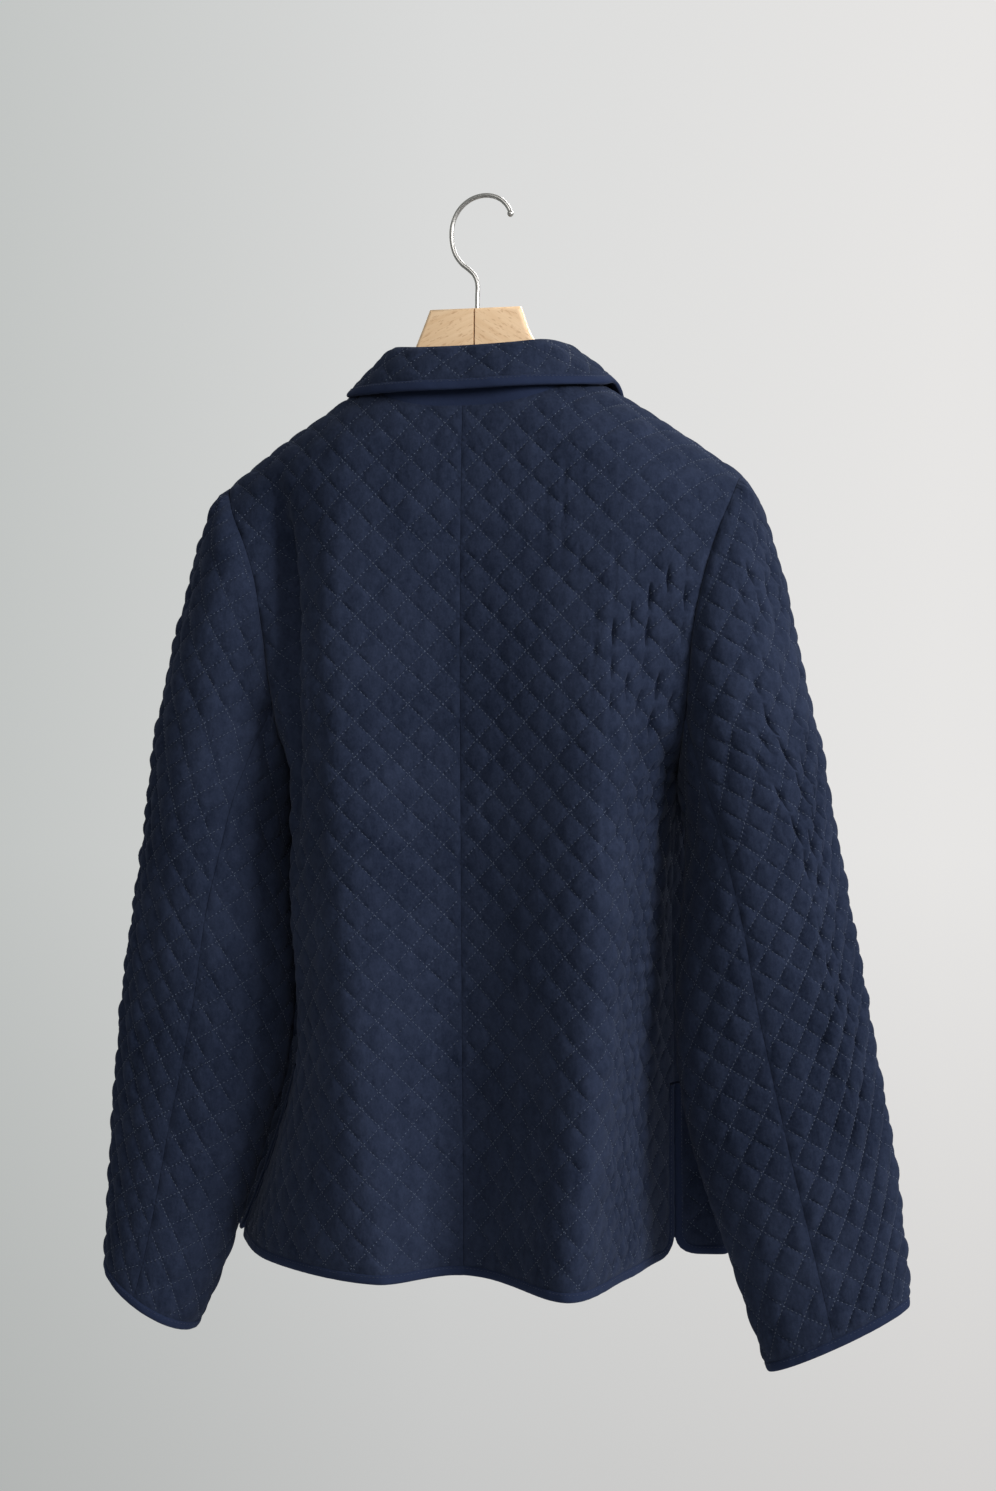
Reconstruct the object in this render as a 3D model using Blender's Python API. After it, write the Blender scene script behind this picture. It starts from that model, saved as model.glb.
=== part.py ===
"""Quilted jacket hung on a wooden hanger with a steel hook.

Frame: +Z up, origin at the inside top of the hook, where the hanger hangs. The jacket's back
faces -Y, its fronts face +Y and the wearer's right arm is at +X. Objects are in metres; the
tables of the pattern are in millimetres and MM turns them into metres.

Each cloth panel is cut from a sheet: a sheet knows the place in space of every point (u, v) of
the flat cloth, u round the garment and v up it. A panel is an outline on its sheet, filled with
the quilting's diamonds, raised at their middles, over a plain inner wall.
"""

import math
from collections import namedtuple

import bpy
import numpy as np
from mathutils import Vector, geometry

MM = 0.001

# Cloth
WALL = 2.6              # quilted cloth at its stitched lines
PUFF = 1.9              # how far the middle of a diamond stands above its stitches
DIAMOND = 27.0          # from stitch crossing to stitch crossing, up and across
SEAM_GAP = 0.3
SEAM_TURN = 0.07        # more room at a seam, for where its two rims lean towards each other
QUILT_MARGIN = 7.3      # the quilting's corners stay this far from a seam
PUFF_FADE = 26.0        # distance from a seam over which the puffs reach their full height
EDGE_STEP = 24.0        # length of a facet along a panel's outline
EDGE_STEP_LONG = 40.0   # and along the straight front edges
INNER_STEP_U = 60.0     # the plain inner wall's facets where it is flat
INNER_TURN = 0.42       # and how far they may turn from one to the next, in radians
INNER_STEP_V = 60.0
INNER_SCAN = 3.0        # step at which a row of the inner wall is looked along for its turns
INNER_MARGIN = 8.0      # least distance of its points from the outline
INNER_CLEAR = 22.0      # and from the lines that are added to it
FOLD_REACH = 8.0        # the wall thickens by FOLD_EXTRA where it turns by FOLD_TURN within this
FOLD_TURN = 0.5
FOLD_EXTRA = 1.2
UNDERARM_EXTRA = 1.0    # and by this at the underarm, where the seams meet
UNDERARM_REACH = 40.0
UNDERARM_RISE = 90.0    # height of the armhole in which its rims turn in
INNER_RIDGE_DROP = 14.0  # a line of inner points runs this far below the shoulder's ridge
INNER_UNDERARM = (28.0, -14.0, -46.0)   # and lines of them at these heights above the underarm
INNER_RING = 11.5       # how far inside a folded-in rim the inner wall has its full depth
INNER_LONG = 0.4        # the inner wall's triangles run up the garment, not across its folds
SEAM_EASE = 22.0        # reach of the easing of a sheet to the seam it is sewn to
BIND_WIDTH = 7.0
BIND_THICKNESS = 4.2
BIND_GAP = 0.4
BIND_EASE = 0.9         # what the turn of the binding's edge takes off its width

# Shoulders: the ridge runs from the neck point to the shoulder tip
NECK_POINT = (84.0, -145.0)
SHOULDER_TIP = (209.0, -227.0)
RIDGE_RISE = 3.0        # how far the ridge arches above the straight line
ROOF_DROP = 64.0        # height over which the cloth rounds down from the ridge
ROOF_REACH = 50.0       # how far it has moved out by then
HEM_Z = -849.0
VENT_TOP = -706.0
UNDERARM_Z = -457.0
FRONT_EDGE_X = 18.0     # the fronts pass the centre line by this much
CUFF_BIND = 7.0
VENT_ROUND = 14.0       # rounding of the hem's corners at the vents
FRONT_ROUND = 34.0      # at the front edges
COLLAR_ROUND = 9.0      # and at the collar's points
CORNER_LEAD = 60.0      # how far along its edges a corner takes its direction
MITRE = 1.8             # the bindings of a vent stop this short of its top

# Sections of the body, from the top down. Back: the centre seam's y, then the crest of the side
# fold, the flank behind it, and below the arm the side seam. x is measured from the middle.
BackRow = namedtuple("BackRow", "z centre_y crest_x crest_y flank_x flank_y side_x side_y")
BACK_RIGHT = (
    BackRow(-120, -60, 72, -60, 128, -52, 209, -44),
    BackRow(-200, -64, 92, -65, 150, -56, 209, -44),
    BackRow(-300, -66, 108, -74, 152, -66, 187, -52),
    BackRow(-400, -64, 114, -82, 147, -56, 171, -38),
    BackRow(-457, -61, 114, -85, 143, -40, 157, 14),
    BackRow(-560, -56, 112, -89, 138, -26, 150, 40),
    BackRow(-680, -49, 108, -94, 131, -16, 151, 50),
    BackRow(-780, -43, 100, -98, 127, -16, 151, 58),
    BackRow(-880, -38, 91, -100, 125, -22, 151, 67),
)
BACK_LEFT = (
    BackRow(-120, -60, 72, -60, 128, -52, 209, -44),
    BackRow(-200, -64, 90, -65, 146, -54, 205, -45),
    BackRow(-300, -66, 97, -77, 147, -50, 172, -52),
    BackRow(-400, -64, 97, -81, 141, -54, 161, -36),
    BackRow(-457, -61, 95, -82, 139, -44, 156, 14),
    BackRow(-560, -56, 88, -83, 139, -36, 150, 42),
    BackRow(-680, -49, 76, -84, 132, -40, 164, 56),
    BackRow(-780, -43, 66, -85, 149, -40, 190, 52),
    BackRow(-880, -39, 56, -85, 166, -34, 228, 46),
)
# Front: the centre front's y, the chest, the corner where the front turns to the side, and the
# hip, a swelling just in front of the side seam.
FrontRow = namedtuple("FrontRow", "z centre_y chest_x chest_y corner_x corner_y hip_x hip_y")
FRONT_RIGHT = (
    FrontRow(-120, 52, 60, 52, 110, 50, 160, 46),
    FrontRow(-200, 62, 74, 61, 126, 56, 168, 50),
    FrontRow(-300, 82, 84, 82, 134, 72, 164, 60),
    FrontRow(-400, 100, 88, 104, 134, 92, 154, 68),
    FrontRow(-457, 107, 88, 114, 136, 102, 156, 62),
    FrontRow(-560, 113, 86, 124, 138, 112, 158, 72),
    FrontRow(-680, 115, 90, 128, 148, 114, 168, 76),
    FrontRow(-780, 116, 98, 132, 164, 114, 182, 80),
    FrontRow(-880, 117, 108, 136, 180, 114, 195, 80),
)
FRONT_LEFT = (
    FrontRow(-120, 61, 60, 55, 110, 50, 160, 46),
    FrontRow(-200, 71, 74, 66, 126, 56, 168, 50),
    FrontRow(-300, 91, 84, 86, 134, 72, 158, 60),
    FrontRow(-400, 109, 88, 108, 134, 92, 152, 68),
    FrontRow(-457, 116, 88, 118, 138, 102, 157, 64),
    FrontRow(-500, 119, 87, 123, 143, 107, 165, 75),
    FrontRow(-560, 122, 86, 128, 149, 115, 175, 84),
    FrontRow(-680, 124, 90, 132, 162, 118, 185, 90),
    FrontRow(-780, 125, 98, 136, 184, 113, 209, 84),
    FrontRow(-880, 126, 108, 140, 204, 111, 231, 80),
)
# Armholes: where the body ends at each height, at the back and at the front.
ArmholeRow = namedtuple("ArmholeRow", "z back_x back_y front_x front_y")
ARMHOLE_RIGHT = (
    ArmholeRow(-227, 209, -44, 209, 42),
    ArmholeRow(-250, 203, -46, 201, 44),
    ArmholeRow(-273, 195, -49, 192, 47),
    ArmholeRow(-300, 187, -52, 184, 50),
    ArmholeRow(-342, 178, -51, 175, 52),
    ArmholeRow(-401, 171, -38, 165, 44),
    ArmholeRow(-437, 164, -18, 159, 32),
    ArmholeRow(-457, 157, 14, 157, 14),
)
ARMHOLE_LEFT = (
    ArmholeRow(-227, 209, -44, 209, 42),
    ArmholeRow(-250, 195, -45, 199, 44),
    ArmholeRow(-273, 183, -49, 188, 47),
    ArmholeRow(-300, 173, -52, 178, 50),
    ArmholeRow(-342, 166, -50, 170, 52),
    ArmholeRow(-401, 162, -36, 163, 44),
    ArmholeRow(-437, 159, -17, 158, 32),
    ArmholeRow(-457, 156, 14, 156, 14),
)
# Sleeves: rings from the shoulder tip to the cuff. A ring's plane holds its inner and its outer
# point; back and front are its half depths, inner_y the place of its inner point.
Ring = namedtuple("Ring", "inner_x inner_z outer_x outer_z back front inner_y")
SLEEVE_RIGHT = (
    Ring(206, -228, 213, -228, 5, 5, 0),
    Ring(196, -239, 221, -239, 28, 26, 0),
    Ring(188, -250, 223.5, -250, 38, 36, 0),
    Ring(172, -273, 229.5, -273, 50, 48, 0),
    Ring(160, -300, 237.5, -300, 56, 54, 0),
    Ring(156, -342, 246, -342, 60, 60, 2),
    Ring(158, -401, 258.5, -401, 60, 62, 8),
    Ring(157, -437, 266.5, -437, 60, 62, 13),
    Ring(157, -457, 270.5, -457, 60, 62, 14),
    Ring(166, -500, 278, -500, 57, 57, 9),
    Ring(165, -560, 288.5, -556, 51, 48, 4),
    Ring(161, -640, 301.5, -624, 44, 41, 0),
    Ring(165, -702, 311.5, -676, 39, 37, 0),
    Ring(179, -762, 321.5, -735, 37, 35, 0),
    Ring(197, -815, 330, -785, 35, 33, 0),
    Ring(215, -867, 335, -822, 33, 31, 0),
    Ring(233, -918, 339, -859, 31, 29, 0),
)
SLEEVE_LEFT = (
    Ring(206, -228, 213, -228, 5, 5, 0),
    Ring(194, -239, 218, -239, 28, 26, 0),
    Ring(183, -250, 222, -250, 38, 36, 0),
    Ring(166, -273, 231, -273, 50, 48, 0),
    Ring(153, -300, 238, -300, 56, 54, 0),
    Ring(150, -342, 248.5, -342, 60, 60, 2),
    Ring(153, -401, 262, -401, 59, 62, 8),
    Ring(155, -437, 269, -437, 59, 62, 13),
    Ring(156, -457, 271.5, -457, 59, 62, 14),
    Ring(161, -500, 278, -500, 56, 57, 9),
    Ring(158, -560, 287.5, -556, 51, 49, 4),
    Ring(154, -640, 297, -624, 46, 43, 0),
    Ring(161, -702, 302, -676, 43, 41, 0),
    Ring(179, -762, 306.5, -735, 42, 40, 0),
    Ring(196, -813, 309, -785, 42, 40, 0),
    Ring(214, -865, 311.5, -824, 42, 40, 0),
    Ring(238, -918, 313, -864, 42, 40, 0),
)
# Elbow seam at the back of the sleeve and the seam under it at the front, as angles round the
# ring: 0 at the outer point, 90 at the back, 180 at the inner point.
SeamRow = namedtuple("SeamRow", "z elbow front")
SLEEVE_SEAMS = (
    SeamRow(-401, 146, 196),
    SeamRow(-437, 130, 196),
    SeamRow(-460, 122, 199),
    SeamRow(-510, 113, 203),
    SeamRow(-560, 102, 206),
    SeamRow(-650, 92, 208),
    SeamRow(-930, 90, 208),
)
SLEEVE_GRAIN_TURN = 8.0     # degrees by which the quilting leans outwards on the sleeves

# Neckline, from the centre back over the neck point to the front edge
BACK_NECK = ((0, -175), (24, -174.5), (46, -171), (66, -163.5), (78, -154.5), (84, -145))
FRONT_NECK = ((84, -145), (81, -166), (70, -192), (50, -215), (24, -230), (3, -236), (-18, -238))

# Collar: the fold at its top, its outer edge, how far its middle bulges out, and how much further
# forward the left half stands, on the front that laps over, from the centre back to the front.
CollarRow = namedtuple("CollarRow", "fold_x fold_y fold_z edge_x edge_y edge_z bulge lap")
COLLAR = (
    CollarRow(0, -60, -128.5, 0, -72, -163.5, 3, 0),
    CollarRow(36, -58, -127.5, 44, -70, -162.5, 3, 0),
    CollarRow(58, -45, -124, 82, -53, -160, 2.5, 0),
    CollarRow(67, -16, -121, 105, -24, -155.8, 1.5, 0),
    CollarRow(70, 0, -121, 108, 2, -151, 1.5, 0),
    CollarRow(71, 16, -125, 110, 29, -160.2, 1.5, 1),
    CollarRow(75, 45, -147, 107, 64, -200, 3, 2),
    CollarRow(47, 70, -198, 83, 89, -254, 3, 6),
    CollarRow(7, 77, -222, 46, 98, -290, 3, 9),
)
COLLAR_TILT = 0.018     # rise of the collar towards +X
STAND_WALL = 2.4
STAND_IN = 4.5          # how far the stand's top lies inside the fold

# Buttons
BUTTON_COUNT = 5
BUTTON_RADIUS = 9.0
BUTTON_THICKNESS = 3.4
BUTTON_DISH = 0.9       # depth of the dished face
BUTTON_TOP_Z = -262.0
BUTTON_STEP = 128.0

# Hanger and hook
WOOD_THICKNESS = 12.0
WOOD_JOINT_X = -5.0
WOOD_EDGE = 1.6
HANGER_TOP = (
    (37.0, -88.0), (47.0, -113.0), (60.0, -131.0), (84.0, -150.2), (120.0, -172.2), (150.0, -191.8),
    (184.0, -214.8),
)
HANGER_END = ((192.0, -222.0), (195.0, -231.0), (191.0, -241.0), (183.0, -244.0))
HANGER_UNDER = ((120.0, -205.0), (70.0, -180.0), (30.0, -166.0))
HANGER_CENTRE_UNDER_Z = -162.0
HOOK_RADIUS = 1.9
HOOK_STEM_X = -4.0
HOOK_BALL = 2.7
HOOK_STEM_END_Z = -87.6
HOOK_SIDES = 8
HOOK_BALL_RINGS = np.array([0.055, 0.22, 0.56, 1.0, 1.56])   # along the ball, in its radii

MATERIALS = {
    "cloth": ((0.016, 0.022, 0.042, 1.0), 0.82, 0.0),
    "binding": ((0.014, 0.019, 0.036, 1.0), 0.78, 0.0),
    "button": ((0.012, 0.014, 0.024, 1.0), 0.35, 0.0),
    "beech": ((0.70, 0.49, 0.29, 1.0), 0.45, 0.0),
    "steel": ((0.55, 0.55, 0.54, 1.0), 0.28, 1.0),
}


def clear_scene():
    """Remove every object, so that only the jacket is left."""
    for thing in list(bpy.data.objects):
        bpy.data.objects.remove(thing, do_unlink=True)


def material(name):
    """One of the plain materials named in MATERIALS."""
    found = bpy.data.materials.get(name)
    if found:
        return found
    colour, roughness, metallic = MATERIALS[name]
    made = bpy.data.materials.new(name)
    made.use_nodes = True
    shader = made.node_tree.nodes["Principled BSDF"]
    shader.inputs["Base Color"].default_value = colour
    shader.inputs["Roughness"].default_value = roughness
    shader.inputs["Metallic"].default_value = metallic
    return made


def add_mesh(name, points_mm, faces, finish):
    """A named object from points in millimetres."""
    mesh = bpy.data.meshes.new(name)
    mesh.from_pydata([tuple(point * MM) for point in np.asarray(points_mm)], [], faces)
    mesh.materials.append(material(finish))
    mesh.validate()
    made = bpy.data.objects.new(name, mesh)
    bpy.context.collection.objects.link(made)
    return made


def through(knots, values, at):
    """Smooth curve through the values at the knots, read at each place of at."""
    knots = np.asarray(knots, float)
    values = np.asarray(values, float)
    if knots[0] > knots[-1]:
        knots = knots[::-1]
        values = values[::-1]
    at = np.asarray(at, float)
    step = np.diff(knots)
    shape = (-1,) + (1,) * (values.ndim - 1)
    slope = np.diff(values, axis=0) / step.reshape(shape)
    tangent = np.empty_like(values)
    tangent[0] = slope[0]
    tangent[-1] = slope[-1]
    weight = (step[1:] / (step[1:] + step[:-1])).reshape(shape)
    tangent[1:-1] = slope[:-1] * weight + slope[1:] * (1 - weight)
    index = np.clip(np.searchsorted(knots, at) - 1, 0, len(step) - 1)
    width = step[index]
    t = np.clip((at - knots[index]) / width, -0.5, 1.5)
    if values.ndim > 1:
        width = width.reshape(width.shape + (1,) * (values.ndim - 1))
        t = t.reshape(t.shape + (1,) * (values.ndim - 1))
    return (
        (2 * t**3 - 3 * t**2 + 1) * values[index]
        + (t**3 - 2 * t**2 + t) * width * tangent[index]
        + (3 * t**2 - 2 * t**3) * values[index + 1]
        + (t**3 - t**2) * width * tangent[index + 1]
    )


def column(rows, name):
    """One named column of a table of rows."""
    return np.array([getattr(row, name) for row in rows], float)


def spline(points, start, end, samples=20):
    """Points along a smooth plane curve with the given end directions."""
    points = np.asarray(points, float)
    chord = np.linalg.norm(np.diff(points, axis=0), axis=1)
    knots = np.concatenate([[0], np.cumsum(chord)])
    tangent = np.empty_like(points)
    tangent[0] = start / np.linalg.norm(start)
    tangent[-1] = end / np.linalg.norm(end)
    tangent[1:-1] = (points[2:] - points[:-2]) / (chord[1:] + chord[:-1])[:, None]
    found = []
    t = np.linspace(0, 1, samples, endpoint=False)[:, None]
    for i, width in enumerate(chord):
        found.append(
            (2 * t**3 - 3 * t**2 + 1) * points[i]
            + (t**3 - 2 * t**2 + t) * width * tangent[i]
            + (3 * t**2 - 2 * t**3) * points[i + 1]
            + (t**3 - t**2) * width * tangent[i + 1]
        )
    found.append(points[-1:])
    return np.concatenate(found)


def arc_lengths(points):
    """Distance along a run of points."""
    return np.concatenate([[0], np.cumsum(np.linalg.norm(np.diff(points, axis=0), axis=1))])


# The roof: how the cloth rounds over the shoulder's ridge
ROOF_ANGLE = np.linspace(0, math.pi / 2, 91)
ROOF_DEPTH = ROOF_DROP * (1 - np.cos(ROOF_ANGLE))
ROOF_OUT = np.sin(ROOF_ANGLE)
ROOF_ARC = arc_lengths(np.column_stack([ROOF_REACH * ROOF_OUT, ROOF_DEPTH]))
ROOF_EXTRA = ROOF_ARC[-1] - ROOF_DROP


def ridge_z(x):
    """Height of the shoulder's ridge at x from the middle."""
    along = (np.abs(x) - NECK_POINT[0]) / (SHOULDER_TIP[0] - NECK_POINT[0])
    rise = RIDGE_RISE * np.sin(math.pi * np.clip(along, 0, 1))
    return NECK_POINT[1] + (SHOULDER_TIP[1] - NECK_POINT[1]) * along + rise


def over_roof(x, y, v):
    """Place of a point of the flat sheet, bent over the ridge where it is near it."""
    cloth = np.clip(ridge_z(x) + ROOF_EXTRA - v, 0, None)
    bent = cloth < ROOF_ARC[-1]
    depth = np.interp(cloth, ROOF_ARC, ROOF_DEPTH)
    out = np.interp(cloth, ROOF_ARC, ROOF_OUT)
    return np.where(bent, y * out, y), np.where(bent, ridge_z(x) - depth, v)


def flat_height(x, z):
    """Height on the flat sheet of the point that hangs at height z."""
    depth = ridge_z(x) - z
    cloth = np.interp(depth, ROOF_DEPTH, ROOF_ARC)
    return np.where(depth < ROOF_DROP, ridge_z(x) + ROOF_EXTRA - cloth, z)


def read_grid(grid, uv, start, step):
    """Values between the points of an even grid (rows are v, columns are u)."""
    uv = np.asarray(uv, float)
    m = (uv[:, 0] - start[0]) / step[0]
    k = (uv[:, 1] - start[1]) / step[1]
    along = np.clip(m.astype(int), 0, grid.shape[1] - 2)
    row = np.clip(k.astype(int), 0, grid.shape[0] - 2)
    b = (m - along)[:, None]
    a = np.clip(k - row, -1, 2)[:, None]
    return (
        grid[row, along] * (1 - a) * (1 - b)
        + grid[row, along + 1] * (1 - a) * b
        + grid[row + 1, along] * a * (1 - b)
        + grid[row + 1, along + 1] * a * b
    )


class BodySheet:
    """Half of the body's back or front: u runs from the centre, v is the height."""

    V_STEP = 2.0
    U_STEP = 2.0

    def __init__(self, side, front, half_rows, armhole, other_rows):
        """side is 1 for +X and -1 for -X; other_rows is the half it meets at the side."""
        self.side = side
        self.front = front
        self.v = np.arange(-890.0, -90.0, self.V_STEP)
        edge = self.edge_rows(half_rows, armhole, other_rows)
        names = [name for name in half_rows[0]._fields if name != "z"]
        z = column(half_rows, "z")
        control = {name: through(z, column(half_rows, name), self.v) for name in names}
        near = ("hip_x", "hip_y") if not front else ("flank_x", "flank_y")
        beyond = [through(column(other_rows, "z"), column(other_rows, name), self.v) for name in near]
        self.u = np.arange(0.0, 420.0, self.U_STEP)
        self.x = np.empty((len(self.v), len(self.u)))
        self.y = np.empty_like(self.x)
        self.width = np.empty(len(self.v))
        for k, v in enumerate(self.v):
            start = -FRONT_EDGE_X if front else 0.0
            points = [(start, control["centre_y"][k])]
            inner = ("chest", "corner", "hip") if front else ("crest", "flank")
            points += [(control[name + "_x"][k], control[name + "_y"][k]) for name in inner]
            points.append((edge[0][k], edge[1][k]))
            last = np.array(points[-1]) - points[-2]
            if v < UNDERARM_Z:
                last = np.array([beyond[0][k], beyond[1][k]]) - points[-2]
            line = spline(points, np.array([1.0, 0.0]), last)
            last = last / np.linalg.norm(last)
            line = np.vstack([line, line[-1] + last * 60.0])
            run = arc_lengths(line)
            self.width[k] = run[-2]
            self.x[k] = np.interp(self.u, run, line[:, 0])
            self.y[k] = np.interp(self.u, run, line[:, 1])
        self.grid = np.dstack([self.x, self.y])
        self.armhole = self.armhole_outline(armhole)

    def edge_rows(self, half_rows, armhole, other_rows):
        """The x and y at which each row of the sheet ends: armhole, then side seam."""
        back_rows = other_rows if self.front else half_rows
        name = "front" if self.front else "back"
        x = column(armhole, name + "_x")
        y = column(armhole, name + "_y")
        height = np.concatenate([[-90.0], flat_height(x, column(armhole, "z"))])
        arm = np.column_stack([np.append(x[0], x), np.append(y[0], y)])
        below = [row for row in back_rows if row.z < UNDERARM_Z + 1]
        seam = np.column_stack([column(below, "side_x"), column(below, "side_y")])
        above = (self.v > UNDERARM_Z)[:, None]
        found = np.where(
            above, through(height, arm, self.v), through(column(below, "z"), seam, self.v)
        )
        return found[:, 0], found[:, 1]

    def armhole_outline(self, armhole):
        """Flat points (u, v) along the armhole, from the shoulder tip to the underarm."""
        name = "front" if self.front else "back"
        x = column(armhole, name + "_x")
        z = column(armhole, "z")
        station = np.arange(len(armhole), dtype=float)
        fine = np.linspace(0, station[-1], 15)
        x = through(station, x, fine)
        z = through(station, z, fine)
        height = flat_height(x, z)
        height[0] = ridge_z(x[0]) + ROOF_EXTRA
        return np.column_stack([self.edge_u(height), height])

    def edge_u(self, v):
        """Where the row at height v ends."""
        return np.interp(v, self.v, self.width)

    def u_at(self, x, v):
        """Place along the row at height v that lies x from the middle."""
        row = np.clip(np.round((v - self.v[0]) / self.V_STEP).astype(int), 0, len(self.v) - 1)
        return np.array([np.interp(a, self.x[k], self.u) for a, k in zip(x, row)])

    def place(self, uv):
        """Points in space of flat points (u, v)."""
        uv = np.asarray(uv, float)
        found = read_grid(self.grid, uv, (0.0, self.v[0]), (self.U_STEP, self.V_STEP))
        y, z = over_roof(found[:, 0], found[:, 1], uv[:, 1])
        return np.column_stack([found[:, 0] * self.side, y, z])

    def turn(self):
        """1 where u, v and the outer side are right-handed."""
        return self.side * (-1 if self.front else 1)


class SleeveSheet:
    """A sleeve: u runs round it from its outer line towards the back, v down it from the tip."""

    V_STEP = 2.0
    U_STEP = 2.0
    ANGLE = np.radians(np.arange(-182.0, 238.0, 2.0))

    def __init__(self, side, rings):
        self.side = side
        names = Ring._fields
        table = np.array([[getattr(ring, name) for name in names] for ring in rings], float)
        middle = (table[:, [0, 1]] + table[:, [2, 3]]) / 2
        down = arc_lengths(np.column_stack([table[:, 2] * 0.5 + middle[:, 0] * 0.5, middle[:, 1]]))
        self.ring_v = -down
        self.v = np.arange(-down[-1] - 8.0, 1.0, self.V_STEP)
        self.rows = through(self.ring_v, table, self.v)
        self.points = np.array([self.ring_points(row) for row in self.rows])
        lengths = np.linalg.norm(np.diff(self.points, axis=1), axis=2)
        run = np.concatenate([np.zeros((len(self.v), 1)), np.cumsum(lengths, axis=1)], axis=1)
        zero = int(np.argmin(np.abs(self.ANGLE)))
        self.run = run - run[:, zero : zero + 1]
        self.u = np.arange(self.run.min() - 4.0, self.run.max() + 4.0, self.U_STEP)
        self.grid = np.array(
            [
                np.column_stack([np.interp(self.u, one, ring[:, axis]) for axis in range(3)])
                for one, ring in zip(self.run, self.points)
            ]
        )

    def ring_points(self, row):
        """Points round one ring at each of ANGLE."""
        inner_x, inner_z, outer_x, outer_z, back, front, inner_y = row
        across = (np.cos(self.ANGLE) + 1) / 2
        depth = np.where(np.sin(self.ANGLE) > 0, back, front)
        x = inner_x + (outer_x - inner_x) * across
        z = inner_z + (outer_z - inner_z) * across
        y = -depth * np.sin(self.ANGLE) + inner_y * (1 - across) ** 3
        return np.column_stack([x * self.side, y, z])

    def u_of(self, angle, v):
        """Distance round the ring at v to an angle in degrees."""
        angle = np.radians(np.asarray(angle, float))
        row = np.clip(np.round((v - self.v[0]) / self.V_STEP).astype(int), 0, len(self.v) - 1)
        return np.array([np.interp(a, self.ANGLE, self.run[k]) for a, k in zip(angle, row)])

    def place(self, uv):
        """Points in space of flat points (u, v)."""
        return read_grid(self.grid, uv, (self.u[0], self.v[0]), (self.U_STEP, self.V_STEP))

    def turn(self):
        """1 where u, v and the outer side are right-handed."""
        return -self.side


class CollarSheet:
    """The turned-down fall: u runs round the neck from the centre back, v down from the fold."""

    def __init__(self, rows):
        half = np.array([list(row) for row in rows], float)
        mirrored = half[:0:-1] * np.array([-1, 1, 1, -1, 1, 1, 1, 1])
        mirrored[:, [1, 4]] += mirrored[:, 7:]
        table = np.vstack([mirrored, half])
        table[:, 2] += table[:, 0] * COLLAR_TILT
        table[:, 5] += table[:, 3] * COLLAR_TILT
        station = arc_lengths((table[:, :3] + table[:, 3:6]) / 2)
        station = station - station[len(rows) - 1]
        self.u = np.linspace(station[0], station[-1], 161)
        fine = through(station, table, self.u)
        self.fold = fine[:, :3]
        self.edge = fine[:, 3:6]
        self.bulge = fine[:, 6]
        self.height = np.linalg.norm(self.edge - self.fold, axis=1) + 6.0

    def height_at(self, u):
        """Depth of the fall at u."""
        return np.interp(u, self.u, self.height)

    def place(self, uv):
        """Points in space of flat points (u, v)."""
        uv = np.asarray(uv, float)
        fold = np.column_stack([np.interp(uv[:, 0], self.u, self.fold[:, a]) for a in range(3)])
        edge = np.column_stack([np.interp(uv[:, 0], self.u, self.edge[:, a]) for a in range(3)])
        bulge = np.interp(uv[:, 0], self.u, self.bulge)[:, None]
        t = (-uv[:, 1] / self.height_at(uv[:, 0]))[:, None]
        down = edge - fold
        flat = down * np.array([1, 1, 0])
        out = flat / np.linalg.norm(flat, axis=1)[:, None]
        up = np.array([0.0, 0.0, 1.0])
        swell = 3.17 * (1 - t) * np.clip(t, 0, None) ** 0.7
        return fold + down * t + out * bulge * swell * 0.75 + up * bulge * swell * 0.45

    def turn(self):
        """1 where u, v and the outer side are right-handed."""
        return 1


def normals(sheet, uv):
    """Unit outward normals of a sheet at flat points."""
    reach = 2.5
    uv = np.asarray(uv, float)
    ahead = sheet.place(uv + [reach, 0]) - sheet.place(uv - [reach, 0])
    above = sheet.place(uv + [0, reach]) - sheet.place(uv - [0, reach])
    found = np.cross(ahead, above) * sheet.turn()
    return found / np.maximum(np.linalg.norm(found, axis=1), 1e-9)[:, None]


Seam = namedtuple("Seam", "uv xyz normal")


def seam_on(sheet, uv, xyz=None, normal=None):
    """A stretch of outline: flat points, and the places in space that it is sewn to."""
    uv = np.asarray(uv, float)
    return Seam(
        uv,
        sheet.place(uv) if xyz is None else np.asarray(xyz, float),
        normals(sheet, uv) if normal is None else np.asarray(normal, float),
    )


def shared_normal(first, second):
    """The direction halfway between two sheets' normals along their seam."""
    found = first + second
    return found / np.linalg.norm(found, axis=1)[:, None]


def crotch_normals(body, sleeve):
    """Directions for the armhole's two rims, which turn downwards where the pieces face each other."""
    found = body + sleeve
    short = (2 - np.linalg.norm(found, axis=1))[:, None]
    found = found + short * np.array([0, 0, -0.9])
    found = found / np.linalg.norm(found, axis=1)[:, None]
    rims = [found + own * short * 0.25 for own in (body, sleeve)]
    return [rim / np.linalg.norm(rim, axis=1)[:, None] for rim in rims]


def joined(seams):
    """One closed outline from stretches, each starting where the one before it ends."""
    uv = np.concatenate([seam.uv[:-1] for seam in seams])
    xyz = np.concatenate([seam.xyz[:-1] for seam in seams])
    normal = np.concatenate([seam.normal[:-1] for seam in seams])
    return uv, xyz, normal


def signed_area(outline):
    """Twice the area of a closed outline, above zero where it runs anticlockwise."""
    ends = np.roll(outline, -1, axis=0)
    return np.sum(outline[:, 0] * ends[:, 1] - outline[:, 1] * ends[:, 0])


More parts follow.
